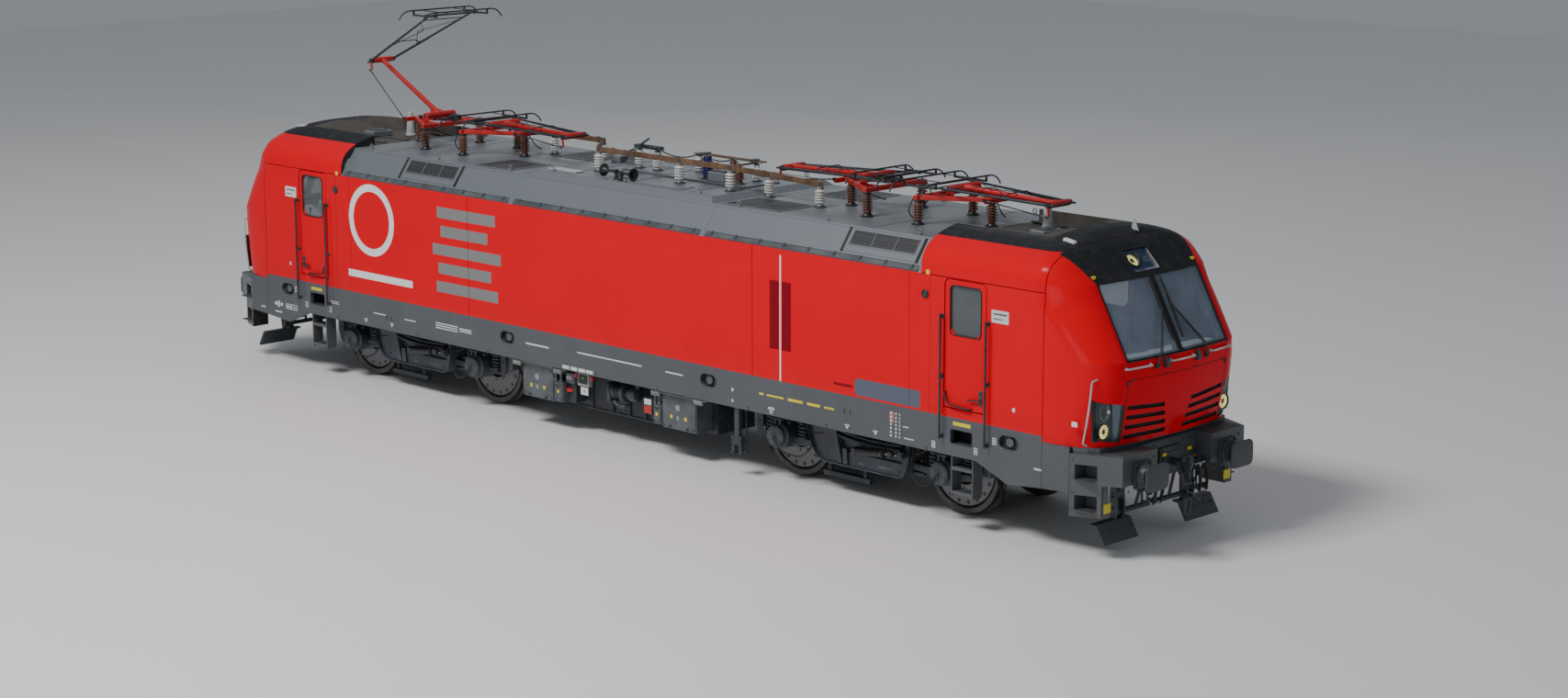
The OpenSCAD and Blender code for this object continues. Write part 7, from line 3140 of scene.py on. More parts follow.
# ---------------------------------------------------------------------------
# Under the floor
# ---------------------------------------------------------------------------
@dataclass
class Underfloor:
    """Boxes, tank, pump and brackets between the bogies."""

    face: float = 1.400
    tank: float = 1.080
    half: float = 1.930

    def build(self) -> None:
        """Make the boxes of both sides and the tank's outside."""
        boxes = Form("underfloor_cases")
        tank = Form("tank_detail")
        with boxes.at(STILL):
            self.side(boxes)
        with boxes.at(turn("Z", 180)):
            self.side(boxes)
        for _ in tank.each((STILL, turn("Z", 180))):
            self.recess(tank)
        posts = Form("hanger_posts")
        for _ in posts.each((STILL, turn("Z", 180))):
            self.post(posts)
        posts.done("carbody")
        boxes.done("carbody", ("underfloor_boxes",))
        tank.done("carbody")

    def side(self, form: Form) -> None:
        """The boxes and hangers of the side that faces -Y.

        Args:
            form: the piece that it adds to.
        """
        self.case(form, -1.940, -1.236, 0.410, 0.912, True)
        self.case(form, 1.088, 1.785, 0.415, 0.905, True)
        self.case(form, -1.233, -1.047, 0.424, 0.733, False)
        self.case(form, 0.900, 1.066, 0.437, 0.732, False)
        for x in (-1.987, -1.079, 1.024, 1.895):
            self.claw(form, x)
        for x in (-1.14, 0.983):
            spot = rect((x - 0.024, 0.562), (x + 0.024, 0.606), 0.004, 2)
            form.prism(spot, -self.face - 0.0015, -self.face + 0.004, Look.YELLOW)
            form.lathe(
                [(0.018, 0), (0.018, 0.004), (0, 0.004)], Look.BLACK, (x, -self.face, 0.66), (0, -1, 0), 16
            )
        form.block((-1.040, -1.340, 0.720), (-0.850, -1.10, 0.885), Look.UNDER, 0.010)
        for i, x in enumerate((-1.005, -0.965, -0.925)):
            form.block(
                (x - 0.010, -1.343, 0.775), (x + 0.010, -1.338, 0.83 + 0.01 * (i % 2)), Look.WHITE, 0.001
            )
        form.block((-1.030, -1.300, 0.430), (-0.860, -1.10, 0.720), Look.TANK, 0.012)
        form.lathe(
            [(0.060, 0), (0.060, 0.045), (0.052, 0.050), (0, 0.050)], Look.SIGNAL, (-0.98, -1.290, 0.595),
            (0, 0, 1), 24
        )
        form.block((-1.030, -1.3015, 0.600), (-0.930, -1.298, 0.632), Look.SIGNAL, 0.001)
        form.block((0.700, -1.390, 0.555), (0.868, -1.350, 0.780), Look.UNDER, 0.006)
        form.block((0.712, -1.3925, 0.565), (0.856, -1.388, 0.670), Look.SIGNAL, 0.001)
        form.block((0.712, -1.3925, 0.690), (0.856, -1.388, 0.770), Look.WHITE, 0.001)

    def post(self, form: Form) -> None:
        """The short post behind a bogie with its foot block, claws and thin rod.

        Args:
            form: the piece that it adds to.
        """
        form.block((2.600, -1.450, 0.530), (2.690, -1.380, 1.040), Look.DARK, 0.008)
        form.block((2.545, -1.465, 0.420), (2.750, -1.370, 0.550), Look.TANK, 0.010)
        form.block((2.555, -1.455, 0.295), (2.600, -1.375, 0.425), Look.DARK, 0.008)
        form.block((2.695, -1.455, 0.295), (2.740, -1.375, 0.425), Look.DARK, 0.008)
        form.prism(
            [(2.530, 0.295), (2.610, 0.295), (2.600, 0.322), (2.530, 0.322)], -1.455, -1.375, Look.DARK,
            chamfer=0.004
        )
        form.rod((2.810, -1.415, 0.310), (2.810, -1.415, 1.035), 0.011, Look.RUBBER, 10)
        form.rod((2.720, -1.415, 0.335), (2.819, -1.415, 0.335), 0.010, Look.DARK, 10)
        form.bolts((((x, -1.465, 0.485), (0, -1, 0)) for x in (2.580, 2.715)), 0.012)

    def claw(self, form: Form, x: float) -> None:
        """A pale forked bracket that hangs a box from the sole bar.

        Args:
            form: the piece that it adds to.
            x: the place along the body.
        """
        y = -self.face - 0.055
        form.block((x - 0.085, y - 0.022, 0.905), (x + 0.085, -self.face + 0.05, 0.945), Look.CLAW, 0.006)
        for dx in (-0.066, -0.022, 0.022, 0.066):
            form.block((x + dx - 0.013, y - 0.018, 0.868), (x + dx + 0.013, y + 0.014, 0.912), Look.CLAW, 0.005)
        form.block(
            (x - 0.050, -self.face - 0.010, 0.855), (x + 0.050, -self.face + 0.06, 0.915), Look.DARK, 0.006
        )

    def case(self, form: Form, x0: float, x1: float, z0: float, z1: float, wide: bool) -> None:
        """One hung box with its door, hinge, brackets and blank marks.

        Args:
            form: the piece that it adds to.
            x0: its start along.
            x1: its end along.
            z0: its foot.
            z1: its top.
            wide: whether it is the wide kind.
        """
        y0, y1 = -self.tank, -self.face
        outline = rect((x0, z0), (x1, z1), 0.018, 3)
        form.prism(outline, y0, y1 + 0.014, Look.UNDER, chamfer=0.004)
        form.prism(
            rect((x0 + 0.014, z0 + 0.014), (x1 - 0.014, z1 - 0.016), 0.014, 3), y1 + 0.015, y1, Look.UNDER,
            chamfer=0.005
        )
        form.rod((x0 + 0.02, y1 + 0.008, z1 - 0.006), (x1 - 0.02, y1 + 0.008, z1 - 0.006), 0.009, Look.DARK, 12)
        if wide:
            count = round((x1 - x0) / 0.035)
            for i in range(count):
                x = x0 + 0.012 + (x1 - x0 - 0.024) * i / count
                form.block((x, y1 - 0.004, z1 - 0.012), (x + 0.018, y1 + 0.03, z1 + 0.020), Look.CLAW, 0.002)
        for x in (x0 + 0.022, x1 - 0.058):
            form.block((x, -1.398, z1 - 0.01), (x + 0.036, -1.380, 1.325), Look.UNDER, 0.004)
            form.block((x - 0.006, -1.402, z1 - 0.002), (x + 0.042, -1.36, z1 + 0.030), Look.UNDER, 0.004)
            form.bolts((((x + 0.018, -1.398, z1 + 0.06), (0, -1, 0)),), 0.010, Look.RAIL)
        corners = [(x, z) for x in (x0 + 0.045, x1 - 0.045) for z in (z0 + 0.045, z1 - 0.055)]
        form.bolts((((x, y1, z), (0, -1, 0)) for x, z in corners), 0.013, Look.RAIL)
        if not wide:
            return
        middle = (x0 + x1) / 2
        form.lathe(
            [(0.046, 0), (0.046, 0.0025), (0, 0.003)], Look.CLAW, (middle - 0.02, y1, z0 + 0.325), (0, -1, 0),
            28
        )
        form.prism(
            rect((middle - 0.045, z0 + 0.145), (middle + 0.005, z0 + 0.205), 0.004, 2), y1 - 0.0015, y1 + 0.002,
            Look.CLAW
        )
        for dx in (-0.15, 0.14):
            spot = rect((middle + dx - 0.026, z0 + 0.158), (middle + dx + 0.026, z0 + 0.208), 0.004, 2)
            form.prism(spot, y1 - 0.002, y1 + 0.002, Look.YELLOW)
        for x in (x0 + 0.17, x1 - 0.17):
            form.block(
                (x - 0.022, y1 - 0.010, z0 + 0.020), (x + 0.022, y1 + 0.004, z0 + 0.062), Look.DARK, 0.004
            )
            form.lathe(
                [(0.014, 0), (0.014, 0.012), (0, 0.014)], Look.RAIL, (x, y1 - 0.008, z0 + 0.041), (0, -1, 0), 16
            )
        form.tube(
            bend(
                [
                    (x1 - 0.10, y0 - 0.05, z1), (x1 - 0.10, y0 - 0.05, z1 + 0.09),
                    (x1 - 0.02, y0 - 0.02, z1 + 0.20)
                ],
                0.06
            ),
            0.018, Look.RUBBER, 10
        )

    def recess(self, form: Form) -> None:
        """The ribbed tank, pump, lamp panel and small plates of the side that faces -Y.

        Args:
            form: the piece that it adds to.
        """
        for x in (-0.720, -0.270, 0.085, 0.435, 0.830):
            form.block(
                (x - 0.014, -self.tank - 0.030, 0.340), (x + 0.014, -self.tank + 0.01, 1.28), Look.TANK, 0.004
            )
        for z in (0.352, 1.26):
            form.block(
                (-0.96, -self.tank - 0.024, z - 0.012), (0.86, -self.tank + 0.01, z + 0.012), Look.TANK, 0.004
            )
        pump = (-0.090, -1.265, 0.742)
        profile = [
            (0, 0), (0.110, 0), (0.118, 0.010), (0.118, 0.034), (0.098, 0.040), (0.094, 0.070), (0.094, 0.255),
            (0.112, 0.262), (0.140, 0.268), (0.140, 0.318), (0.128, 0.330), (0.085, 0.336), (0.080, 0.400),
            (0.104, 0.406), (0.112, 0.430), (0.112, 0.520), (0.098, 0.548), (0.060, 0.560), (0, 0.562)
        ]
        form.lathe(profile, Look.BOGIE, pump, (1, 0, 0.03), 40)
        for i in range(6):
            form.lathe(
                [
                    (0.092, 0.085 + 0.026 * i), (0.101, 0.088 + 0.026 * i), (0.101, 0.096 + 0.026 * i),
                    (0.092, 0.099 + 0.026 * i)
                ],
                Look.BOGIE, pump, (1, 0, 0.03), 32, ring=True
            )
        form.block((-0.150, -1.340, 0.560), (-0.085, -1.10, 0.860), Look.BOGIE, 0.016)
        form.bolts((((-0.118, -1.340, z), (0, -1, 0)) for z in (0.59, 0.83)), 0.018)
        form.tube(
            bend([(-0.02, -1.30, 0.60), (0.04, -1.30, 0.54), (0.16, -1.28, 0.53), (0.20, -1.20, 0.56)], 0.05),
            0.026, Look.BOGIE, 12
        )
        form.tube(
            bend([(0.44, -1.265, 0.84), (0.46, -1.25, 1.02), (0.40, -1.15, 1.18), (0.30, -1.08, 1.22)], 0.10),
            0.044, Look.TANK, 14
        )
        form.block((-0.725, -1.385, 0.735), (-0.480, -1.30, 0.935), Look.CLAW, 0.008)
        form.block((-0.700, -1.388, 0.775), (-0.505, -1.383, 0.915), Look.BLACK, 0.004)
        form.block((-0.635, -1.390, 0.845), (-0.575, -1.387, 0.870), Look.GREEN, 0.001)
        form.block((-0.665, -1.380, 0.610), (-0.505, -1.362, 0.722), Look.WHITE, 0.004)
        form.block((-0.600, -1.3815, 0.655), (-0.560, -1.379, 0.680), Look.SIGNAL, 0.001)
        for x in (-0.775, -0.430):
            form.block((x - 0.026, -1.380, 0.845), (x + 0.026, -1.340, 0.900), Look.SIGNAL, 0.003)
            form.block((x - 0.012, -1.37, 0.89), (x + 0.012, -1.35, 1.325), Look.UNDER, 0.003)
        form.block((-0.70, -1.36, 0.92), (-0.50, -1.345, 1.10), Look.UNDER, 0.003)
        for y, z, r in ((-1.18, 1.20, 0.022), (-1.24, 1.16, 0.016), (-1.13, 1.10, 0.028)):
            form.tube(
                [(x, y, z - 0.010 * (1 - math.cos(x * 5))) for x in [-0.94 + 0.06 * i for i in range(31)]], r,
                Look.RUBBER if r < 0.02 else Look.DARK, 10
            )


# ---------------------------------------------------------------------------
# Roof
# ---------------------------------------------------------------------------
PIVOTS = (-5.490, -3.930, 3.930, 5.490)
KNEE_SIDE = (-1, 1, -1, 1)
SLOPE = Vector((0.296, 0.410)).normalized()


def pot(ribs: int, height: float, radius: float) -> list[Flat]:
    """Profile of a shedded insulator: foot, sheds and cap.

    Args:
        ribs: how many sheds.
        height: total height.
        radius: radius of the sheds.

    Returns:
        Pairs of radius and height.
    """
    foot = 0.038
    pitch = (height - 2 * foot) / ribs
    core = radius * 0.58
    out: list[Flat] = [(0, 0), (core * 1.05, 0), (core * 1.05, foot * 0.7), (core, foot)]
    for i in range(ribs):
        base = foot + i * pitch
        out += [
            (core, base + pitch * 0.30), (radius * 0.93, base + pitch * 0.36), (radius, base + pitch * 0.44),
            (radius * 0.99, base + pitch * 0.66), (radius * 0.90, base + pitch * 0.76),
            (core, base + pitch * 0.84)
        ]
    return [*out, (core, height - foot), (core * 1.05, height - foot * 0.7), (core * 1.05, height), (0, height)]


@dataclass
class Roof:
    """Hood dressing: gutters, vents, hatches, ribs and joints."""

    def build(self) -> None:
        """Make the roof's sheet parts."""
        form = Form("roof_dressing")
        for side in (STILL, turn("Z", 180)):
            with form.at(side):
                self.gutter(form)
                self.vents(form)
                self.hatches(form)
                self.middle(form)
        form.done("carbody", ("roof_trim",))
        self.ribs()

    def slope(self, up: float, out: float = 0.0) -> Flat:
        """A point of the near slope as side and height: distance up it and out of it."""
        return -HALF_W + SLOPE.x * up - SLOPE.y * out, WALL_TOP + SLOPE.y * up + SLOPE.x * out

    def strip(self, form: Form, x0: float, x1: float, section: Sequence[Flat], look: Look) -> None:
        """A bar along the near slope with a section given up and out of it."""
        form.prism([self.slope(u, o) for u, o in section], x0, x1, look, "yz", 0.003)

    def gutter(self, form: Form) -> None:
        """The rain rail along the foot of the slope with its brackets, and a thin black strip above it that is a
        painted shadow line.

        Args:
            form: the piece that it adds to.
        """
        for x0, x1 in ((-6.03, -2.09), (-1.97, 1.97), (2.09, 6.03)):
            section = [
                (0.004, -0.002), (0.078, -0.002), (0.080, 0.006), (0.030, 0.010), (0.026, 0.026),
                (0.010, 0.026), (0.004, 0.010)
            ]
            self.strip(form, x0, x1, section, Look.UNDER)
            # A thin black strip just above the rail: a painted shadow line.
            self.strip(
                form, x0, x1, [(0.080, -0.002), (0.090, -0.002), (0.090, 0.003), (0.080, 0.003)], Look.BLACK
            )
            count = 9
            for i in range(count):
                x = x0 + 0.12 + (x1 - x0 - 0.24) * i / (count - 1)
                self.strip(
                    form, x - 0.022, x + 0.022,
                    [(0.012, 0.004), (0.098, 0.002), (0.098, 0.010), (0.032, 0.026), (0.012, 0.027)], Look.DARK
                )
        self.strip(
            form, -6.09, 6.09, [(0.478, -0.004), (0.502, -0.004), (0.502, 0.006), (0.478, 0.006)], Look.ROOF
        )
        for x in (-2.03, 2.03):
            self.strip(
                form, x - 0.012, x + 0.012, [(0.02, -0.002), (0.48, -0.002), (0.48, 0.004), (0.02, 0.004)],
                Look.ROOF
            )

    def vents(self, form: Form) -> None:
        """Two vents on the near slope: frame, mesh and side bars.

        Args:
            form: the piece that it adds to.
        """
        for x in (5.280, -4.060):
            half = 0.680
            for end in (x - half, x + half - 0.036):
                self.strip(
                    form, end, end + 0.036, [(0.120, -0.002), (0.478, -0.002), (0.478, 0.018), (0.120, 0.018)],
                    Look.BLACK
                )
            self.strip(
                form, x - half + 0.03, x + half - 0.03,
                [(0.130, -0.004), (0.474, -0.004), (0.474, 0.006), (0.130, 0.006)], Look.ROOF
            )
            for low, high in ((0.222, 0.236), (0.440, 0.454)):
                self.strip(
                    form, x - half + 0.085, x + half - 0.085,
                    [(low, 0.0), (high, 0.0), (high, 0.014), (low, 0.014)], Look.ROOF
                )
            self.strip(
                form, x - half + 0.095, x + half - 0.095,
                [(0.230, 0.0), (0.446, 0.0), (0.446, 0.008), (0.230, 0.008)], Look.VENT
            )
            for i in range(5):
                up = 0.250 + 0.040 * i
                self.strip(
                    form, x - half + 0.095, x + half - 0.095,
                    [(up, 0.008), (up + 0.005, 0.008), (up + 0.007, 0.012), (up + 0.002, 0.012)], Look.TANK
                )
            for dx in (-0.585, -0.20, 0.20, 0.573):
                self.strip(
                    form, x + dx, x + dx + 0.012, [(0.222, 0.0), (0.454, 0.0), (0.454, 0.014), (0.222, 0.014)],
                    Look.ROOF
                )

    def hatches(self, form: Form) -> None:
        """Framed mesh hatches on the deck.

        Args:
            form: the piece that it adds to.
        """
        for x0, x1, y0, y1 in ((2.06, 3.14, -1.135, -0.37), (-3.30, -2.45, -1.165, -0.32)):
            z = DECK_Z
            form.prism(
                rect((x0, y0), (x1, y1), 0.02, 3), z, z + 0.012, Look.ROOF, "xy", 0.004,
                hole=rect((x0 + 0.035, y0 + 0.035), (x1 - 0.035, y1 - 0.035), 0.01, 3)
            )
            form.block(
                (x0 + 0.030, y0 + 0.030, z + 0.001), (x1 - 0.030, y1 - 0.030, z + 0.006), Look.GRID, 0.001
            )
            form.block(
                ((x0 + x1) / 2 - 0.012, y0 + 0.03, z + 0.004), ((x0 + x1) / 2 + 0.012, y1 - 0.03, z + 0.011),
                Look.ROOF, 0.002
            )
            form.bolts(
                (
                    ((x, y, z + 0.011), (0, 0, 1)) for x in (x0 + 0.018, (x0 + x1) / 2, x1 - 0.018)
                    for y in (y0 + 0.018, y1 - 0.018)
                ),
                0.008, Look.ROOF
            )

    def middle(self, form: Form) -> None:
        """Edges, joints and lids of the raised middle of the roof.

        Args:
            form: the piece that it adds to.
        """
        for x in (-1.30, -0.02, 1.30):
            form.block(
                (x - 0.020, -1.115, MIDDLE_Z - 0.002), (x + 0.020, 0.0, MIDDLE_Z + 0.006), Look.ROOF, 0.003
            )
        form.block((-1.85, -1.122, MIDDLE_Z - 0.002), (1.85, -1.100, MIDDLE_Z + 0.008), Look.ROOF, 0.003)
        form.prism(
            rect((0.25, -1.02), (1.10, -0.72), 0.04, 4), MIDDLE_Z - 0.002, MIDDLE_Z + 0.012, Look.ROOF, "xy",
            0.004
        )
        form.bolts(
            (((x, y, MIDDLE_Z + 0.012), (0, 0, 1)) for x in (0.29, 0.675, 1.06) for y in (-0.985, -0.755)),
            0.008, Look.ROOF
        )
        form.block((-1.78, -0.98, MIDDLE_Z), (-1.16, -0.80, MIDDLE_Z + 0.022), Look.PALE, 0.006)
        for x in (-5.4, -2.1, 2.1, 4.9):
            form.block(
                (x - 0.014, -DECK_HALF + 0.02, DECK_Z - 0.002), (x + 0.014, 0.0, DECK_Z + 0.005), Look.ROOF,
                0.002
            )

    def ribs(self) -> None:
        """Copies of a low rib down both ends of the raised middle."""
        rib = Form("middle_ribs")
        rib.prism(
            [(-0.055, -0.046), (0.050, 0.034), (0.046, 0.042), (-0.062, -0.038)], -0.012, 0.012, Look.ROOF
        )
        places = []
        for flip in (STILL, turn("Z", 180)):
            places += [flip @ shift(-1.90, -0.96 + 0.12 * i, 3.729) for i in range(17)]
        Copies.make(rib, places, "carbody")


@dataclass
class RoofGear:
    """Busbar, insulators, switches, arrester, horns and cables on the roof."""

    def build(self) -> None:
        """Make every piece of the roof's high-voltage line."""
        self.insulators()
        self.busbars()
        self.switches()
        self.horns()

    def supports(self) -> list[tuple[float, float, float, float]]:
        """Place and height of each busbar insulator: x, y, foot and height."""
        knee = 6.095 - 2.165 - 1.620
        middle = knee - 0.360
        high = [(-middle + 0.880, -0.600), (middle * 0.33, -0.600), (middle * 0.86, -0.600)]
        low = [(knee - 0.180, -0.280), (knee + 0.940, -0.420), (-knee + 0.110, 0.500), (-knee - 1.000, 0.500)]
        return [(x, y, MIDDLE_Z, 0.290) for x, y in high] + [(x, y, DECK_Z, 0.280) for x, y in low]

    def insulators(self) -> None:
        """Pale busbar insulators as copies of one pot."""
        template = Form("busbar_pots")
        template.lathe([(r, h + 0.02) for r, h in pot(5, 0.262, 0.074)], Look.WHITE_POT, sides=36)
        template.lathe(
            [(0, 0), (0.086, 0), (0.086, 0.012), (0.060, 0.020), (0.052, 0.032), (0, 0.034)], Look.DARK,
            sides=32
        )
        template.lathe(
            [(0, 0.262), (0.048, 0.262), (0.048, 0.276), (0.030, 0.282), (0, 0.282)], Look.DARK, sides=28
        )
        template.bolts(
            (((0.070 * math.cos(a), 0.070 * math.sin(a), 0.010), (0, 0, 1)) for a in (0.8, 2.4, 3.9, 5.5)),
            0.008
        )
        places = [(shift(x, y, z), (1.0, 1.0, h / 0.282)) for x, y, z, h in self.supports()]
        Copies.make(template, places, "carbody", ("busbar_insulators",))

    def busbars(self) -> None:
        """The flat brown bar with its clamps and flexible joints."""
        knee = 6.095 - 2.165 - 1.620
        middle = knee - 0.360
        line = [(-knee - 1.060, 0.500, 3.970), (-knee + 0.150, 0.500, 3.970), (-middle + 0.840, -0.600, 4.055),
                (middle * 0.9, -0.600, 4.055), (knee - 0.220, -0.280, 3.970), (knee + 0.980, -0.420, 3.970)]
        form = Form("busbar_line")
        for a, b in zip(line, line[1:]):
            start, end = Vector(a), Vector(b)
            along = (end - start).normalized()
            side = Vector((-along.y, along.x, 0)).normalized() * 0.007
            rings = []
            for point in (start - along * 0.004, end + along * 0.004):
                rings.append(
                    [
                        point + side, point + side + Vector((0, 0, 0.074)),
                        point + side * 0.5 + Vector((0, 0, 0.080)), point - side * 0.5 + Vector((0, 0, 0.080)),
                        point - side + Vector((0, 0, 0.074)), point - side
                    ]
                )
            form.loft(rings, Look.COPPER)
            for share in (0.12, 0.88):
                spot = start.lerp(end, share) + Vector((0, 0, 0.04))
                with form.at(aim(spot, side)):
                    form.block((-0.03, -0.05, -0.014), (0.03, 0.05, 0.014), Look.COPPER, 0.004)
                    form.bolts(
                        (((u, v, 0.014), (0, 0, 1)) for u in (-0.016, 0.016) for v in (-0.03, 0.03)), 0.009,
                        Look.RAIL
                    )
        for point in line:
            form.rod(
                Vector(point) - Vector((0, 0, 0.004)), Vector(point) + Vector((0, 0, 0.084)), 0.013,
                Look.COPPER, 16
            )
        for x, y, z, h in self.supports():
            form.block(
                (x - 0.045, y - 0.016, z + h - 0.006), (x + 0.045, y + 0.016, z + h + 0.012), Look.DARK, 0.004
            )
            for s in (-1, 1):
                form.block(
                    (x - 0.026, y + s * 0.009, z + h + 0.008), (x + 0.026, y + s * 0.015, z + h + 0.066),
                    Look.DARK, 0.002
                )
        form.done("carbody", ("busbar",))

    def switches(self) -> None:
        """Breaker, arrester, knife switches and their plates."""
        knee = 6.095 - 2.165 - 1.620
        middle = knee - 0.360
        form = Form("roof_switches")
        for lo, hi in (((0.0, -0.300), (middle * 0.85, 0.420)), ((-middle * 0.5, -0.240), (-0.030, 0.340))):
            form.prism(rect(lo, hi, 0.03, 4), MIDDLE_Z, MIDDLE_Z + 0.026, Look.ROOF, "xy", 0.006)
            corners = [
                (x, y) for x in (lo[0] + 0.05, (lo[0] + hi[0]) / 2, hi[0] - 0.05)
                for y in (lo[1] + 0.05, hi[1] - 0.05)
            ]
            form.bolts((((x, y, MIDDLE_Z + 0.026), (0, 0, 1)) for x, y in corners), 0.010)
        base = MIDDLE_Z + 0.026
        for x in (-0.78, -0.39):
            self.stand(form, (x, -0.060, base), 0.284, 0.074, Look.WHITE_POT)
        self.stand(form, (middle * 0.37, -0.120, base), 0.334, 0.104, Look.BLUE_POT, 6)
        self.stand(form, (middle * 0.55, 0.060, base), 0.284, 0.074, Look.BROWN_POT)
        self.stand(form, (0.16, 0.260, base), 0.250, 0.066, Look.WHITE_POT)
        self.stand(form, (1.42, 0.180, base), 0.250, 0.066, Look.WHITE_POT)
        self.stand(form, (1.42, -0.160, base), 0.250, 0.066, Look.BROWN_POT)
        top = base + 0.300
        for y in (-0.020, -0.090):
            form.block((-0.86, y - 0.008, top), (-0.30, y + 0.008, top + 0.052), Look.DARK, 0.004)
        form.rod((-0.78, -0.06, top + 0.03), (-0.30, -0.32, top + 0.20), 0.016, Look.DARK, 14)
        form.rod((-0.39, -0.13, top + 0.03), (-0.39, 0.02, top + 0.03), 0.020, Look.RAIL, 14)
        form.rod((-0.36, -0.06, base + 0.02), (-0.62, 0.16, top - 0.02), 0.014, Look.DARK, 12)
        form.block((0.10, 0.20, top - 0.034), (1.50, 0.235, top - 0.014), Look.COPPER, 0.004)
        form.block((0.10, 0.275, top - 0.034), (1.50, 0.31, top - 0.014), Look.COPPER, 0.004)
        for x in (0.30, 1.30):
            form.block((x - 0.05, 0.19, top - 0.040), (x + 0.05, 0.32, top + 0.004), Look.DARK, 0.006)
        form.rod((1.42, -0.16, top - 0.03), (1.42, 0.20, top - 0.03), 0.014, Look.RAIL, 14)
        form.rod((middle * 0.55, 0.06, top + 0.01), (1.42, -0.16, top - 0.02), 0.012, Look.COPPER, 12)
        form.block((0.86, -0.26, base), (1.20, -0.10, base + 0.14), Look.ROOF, 0.012)
        form.block((0.90, -0.22, base + 0.14), (1.16, -0.14, base + 0.16), Look.DARK, 0.006)
        form.lathe(
            [(0, 0), (0.12, 0), (0.12, 0.02), (0.085, 0.05), (0.080, 0.17), (0.05, 0.20), (0, 0.20)],
            Look.UNDER, (-1.36, 0.34, MIDDLE_Z), sides=32
        )
        form.block((-1.70, 0.20, MIDDLE_Z), (-1.50, 0.56, MIDDLE_Z + 0.10), Look.ROOF, 0.012)
        for a, b, drop in (
            ((middle * 0.37, -0.12, top + 0.06), (middle * 0.33, -0.60, 4.10), 0.10),
            ((-0.78, -0.06, top + 0.03), (-1.07, -0.60, 4.10), 0.09),
            ((1.42, -0.16, top - 0.02), (middle * 0.86, -0.60, 4.10), 0.08),
            ((middle * 0.55, 0.06, top + 0.01), (0.30, 0.22, top - 0.02), 0.07),
            ((-0.39, -0.06, top + 0.03), (0.16, 0.26, top - 0.03), 0.09),
        ):
            form.tube(sag(a, b, drop), 0.0095, Look.RUBBER, 8)
        form.done("carbody", ("roof_switchgear",))

    def stand(self, form: Form, at: Point, height: float, radius: float, look: Look, ribs: int = 5) -> None:
        """One insulator with foot and cap.

        Args:
            form: the piece that it adds to.
            at: the middle of its foot.
            height: its height.
            radius: the radius.
            look: the finish.
            ribs: how many ribs.
        """
        form.lathe(
            [(0, 0), (radius * 1.1, 0), (radius * 1.1, 0.012), (radius * 0.7, 0.024), (0, 0.026)], Look.DARK,
            at, sides=28
        )
        form.lathe([(r, h + 0.018) for r, h in pot(ribs, height - 0.030, radius)], look, at, sides=34)
        form.lathe(
            [
                (0, height - 0.014), (radius * 0.62, height - 0.014), (radius * 0.62, height),
                (radius * 0.3, height + 0.010), (0, height + 0.010)
            ],
            Look.DARK, at, sides=24
        )

    def horns(self) -> None:
        """The pair of horns with their stands and air line."""
        form = Form("roof_horns")
        for i, flip in ((0, 1), (1, -1)):
            x, y = -0.150 - 0.170 * i, -1.000 + 0.060 * i
            form.lathe(
                [(0, 0), (0.050, 0), (0.050, 0.010), (0.026, 0.020), (0.024, 0.10), (0, 0.10)], Look.BLACK,
                (x, y, MIDDLE_Z), sides=24
            )
            trumpet = [
                (0, -0.02), (0.034, -0.02), (0.034, 0.03), (0.018, 0.04), (0.022, 0.14), (0.034, 0.20),
                (0.056, 0.24), (0.092, 0.258), (0.095, 0.262), (0.088, 0.262), (0.050, 0.244), (0.028, 0.20),
                (0, 0.15)
            ]
            form.lathe(trumpet, Look.BLACK, (x, y, MIDDLE_Z + 0.110), (flip, 0, 0), 32)
            form.tube(
                bend(
                    [
                        (x, y, MIDDLE_Z + 0.05), (x - 0.05, y + 0.12, MIDDLE_Z + 0.02),
                        (x - 0.1, y + 0.22, MIDDLE_Z + 0.012)
                    ],
                    0.05
                ),
                0.010, Look.RUBBER, 8
            )
        form.done("carbody", ("horns_antennas",))


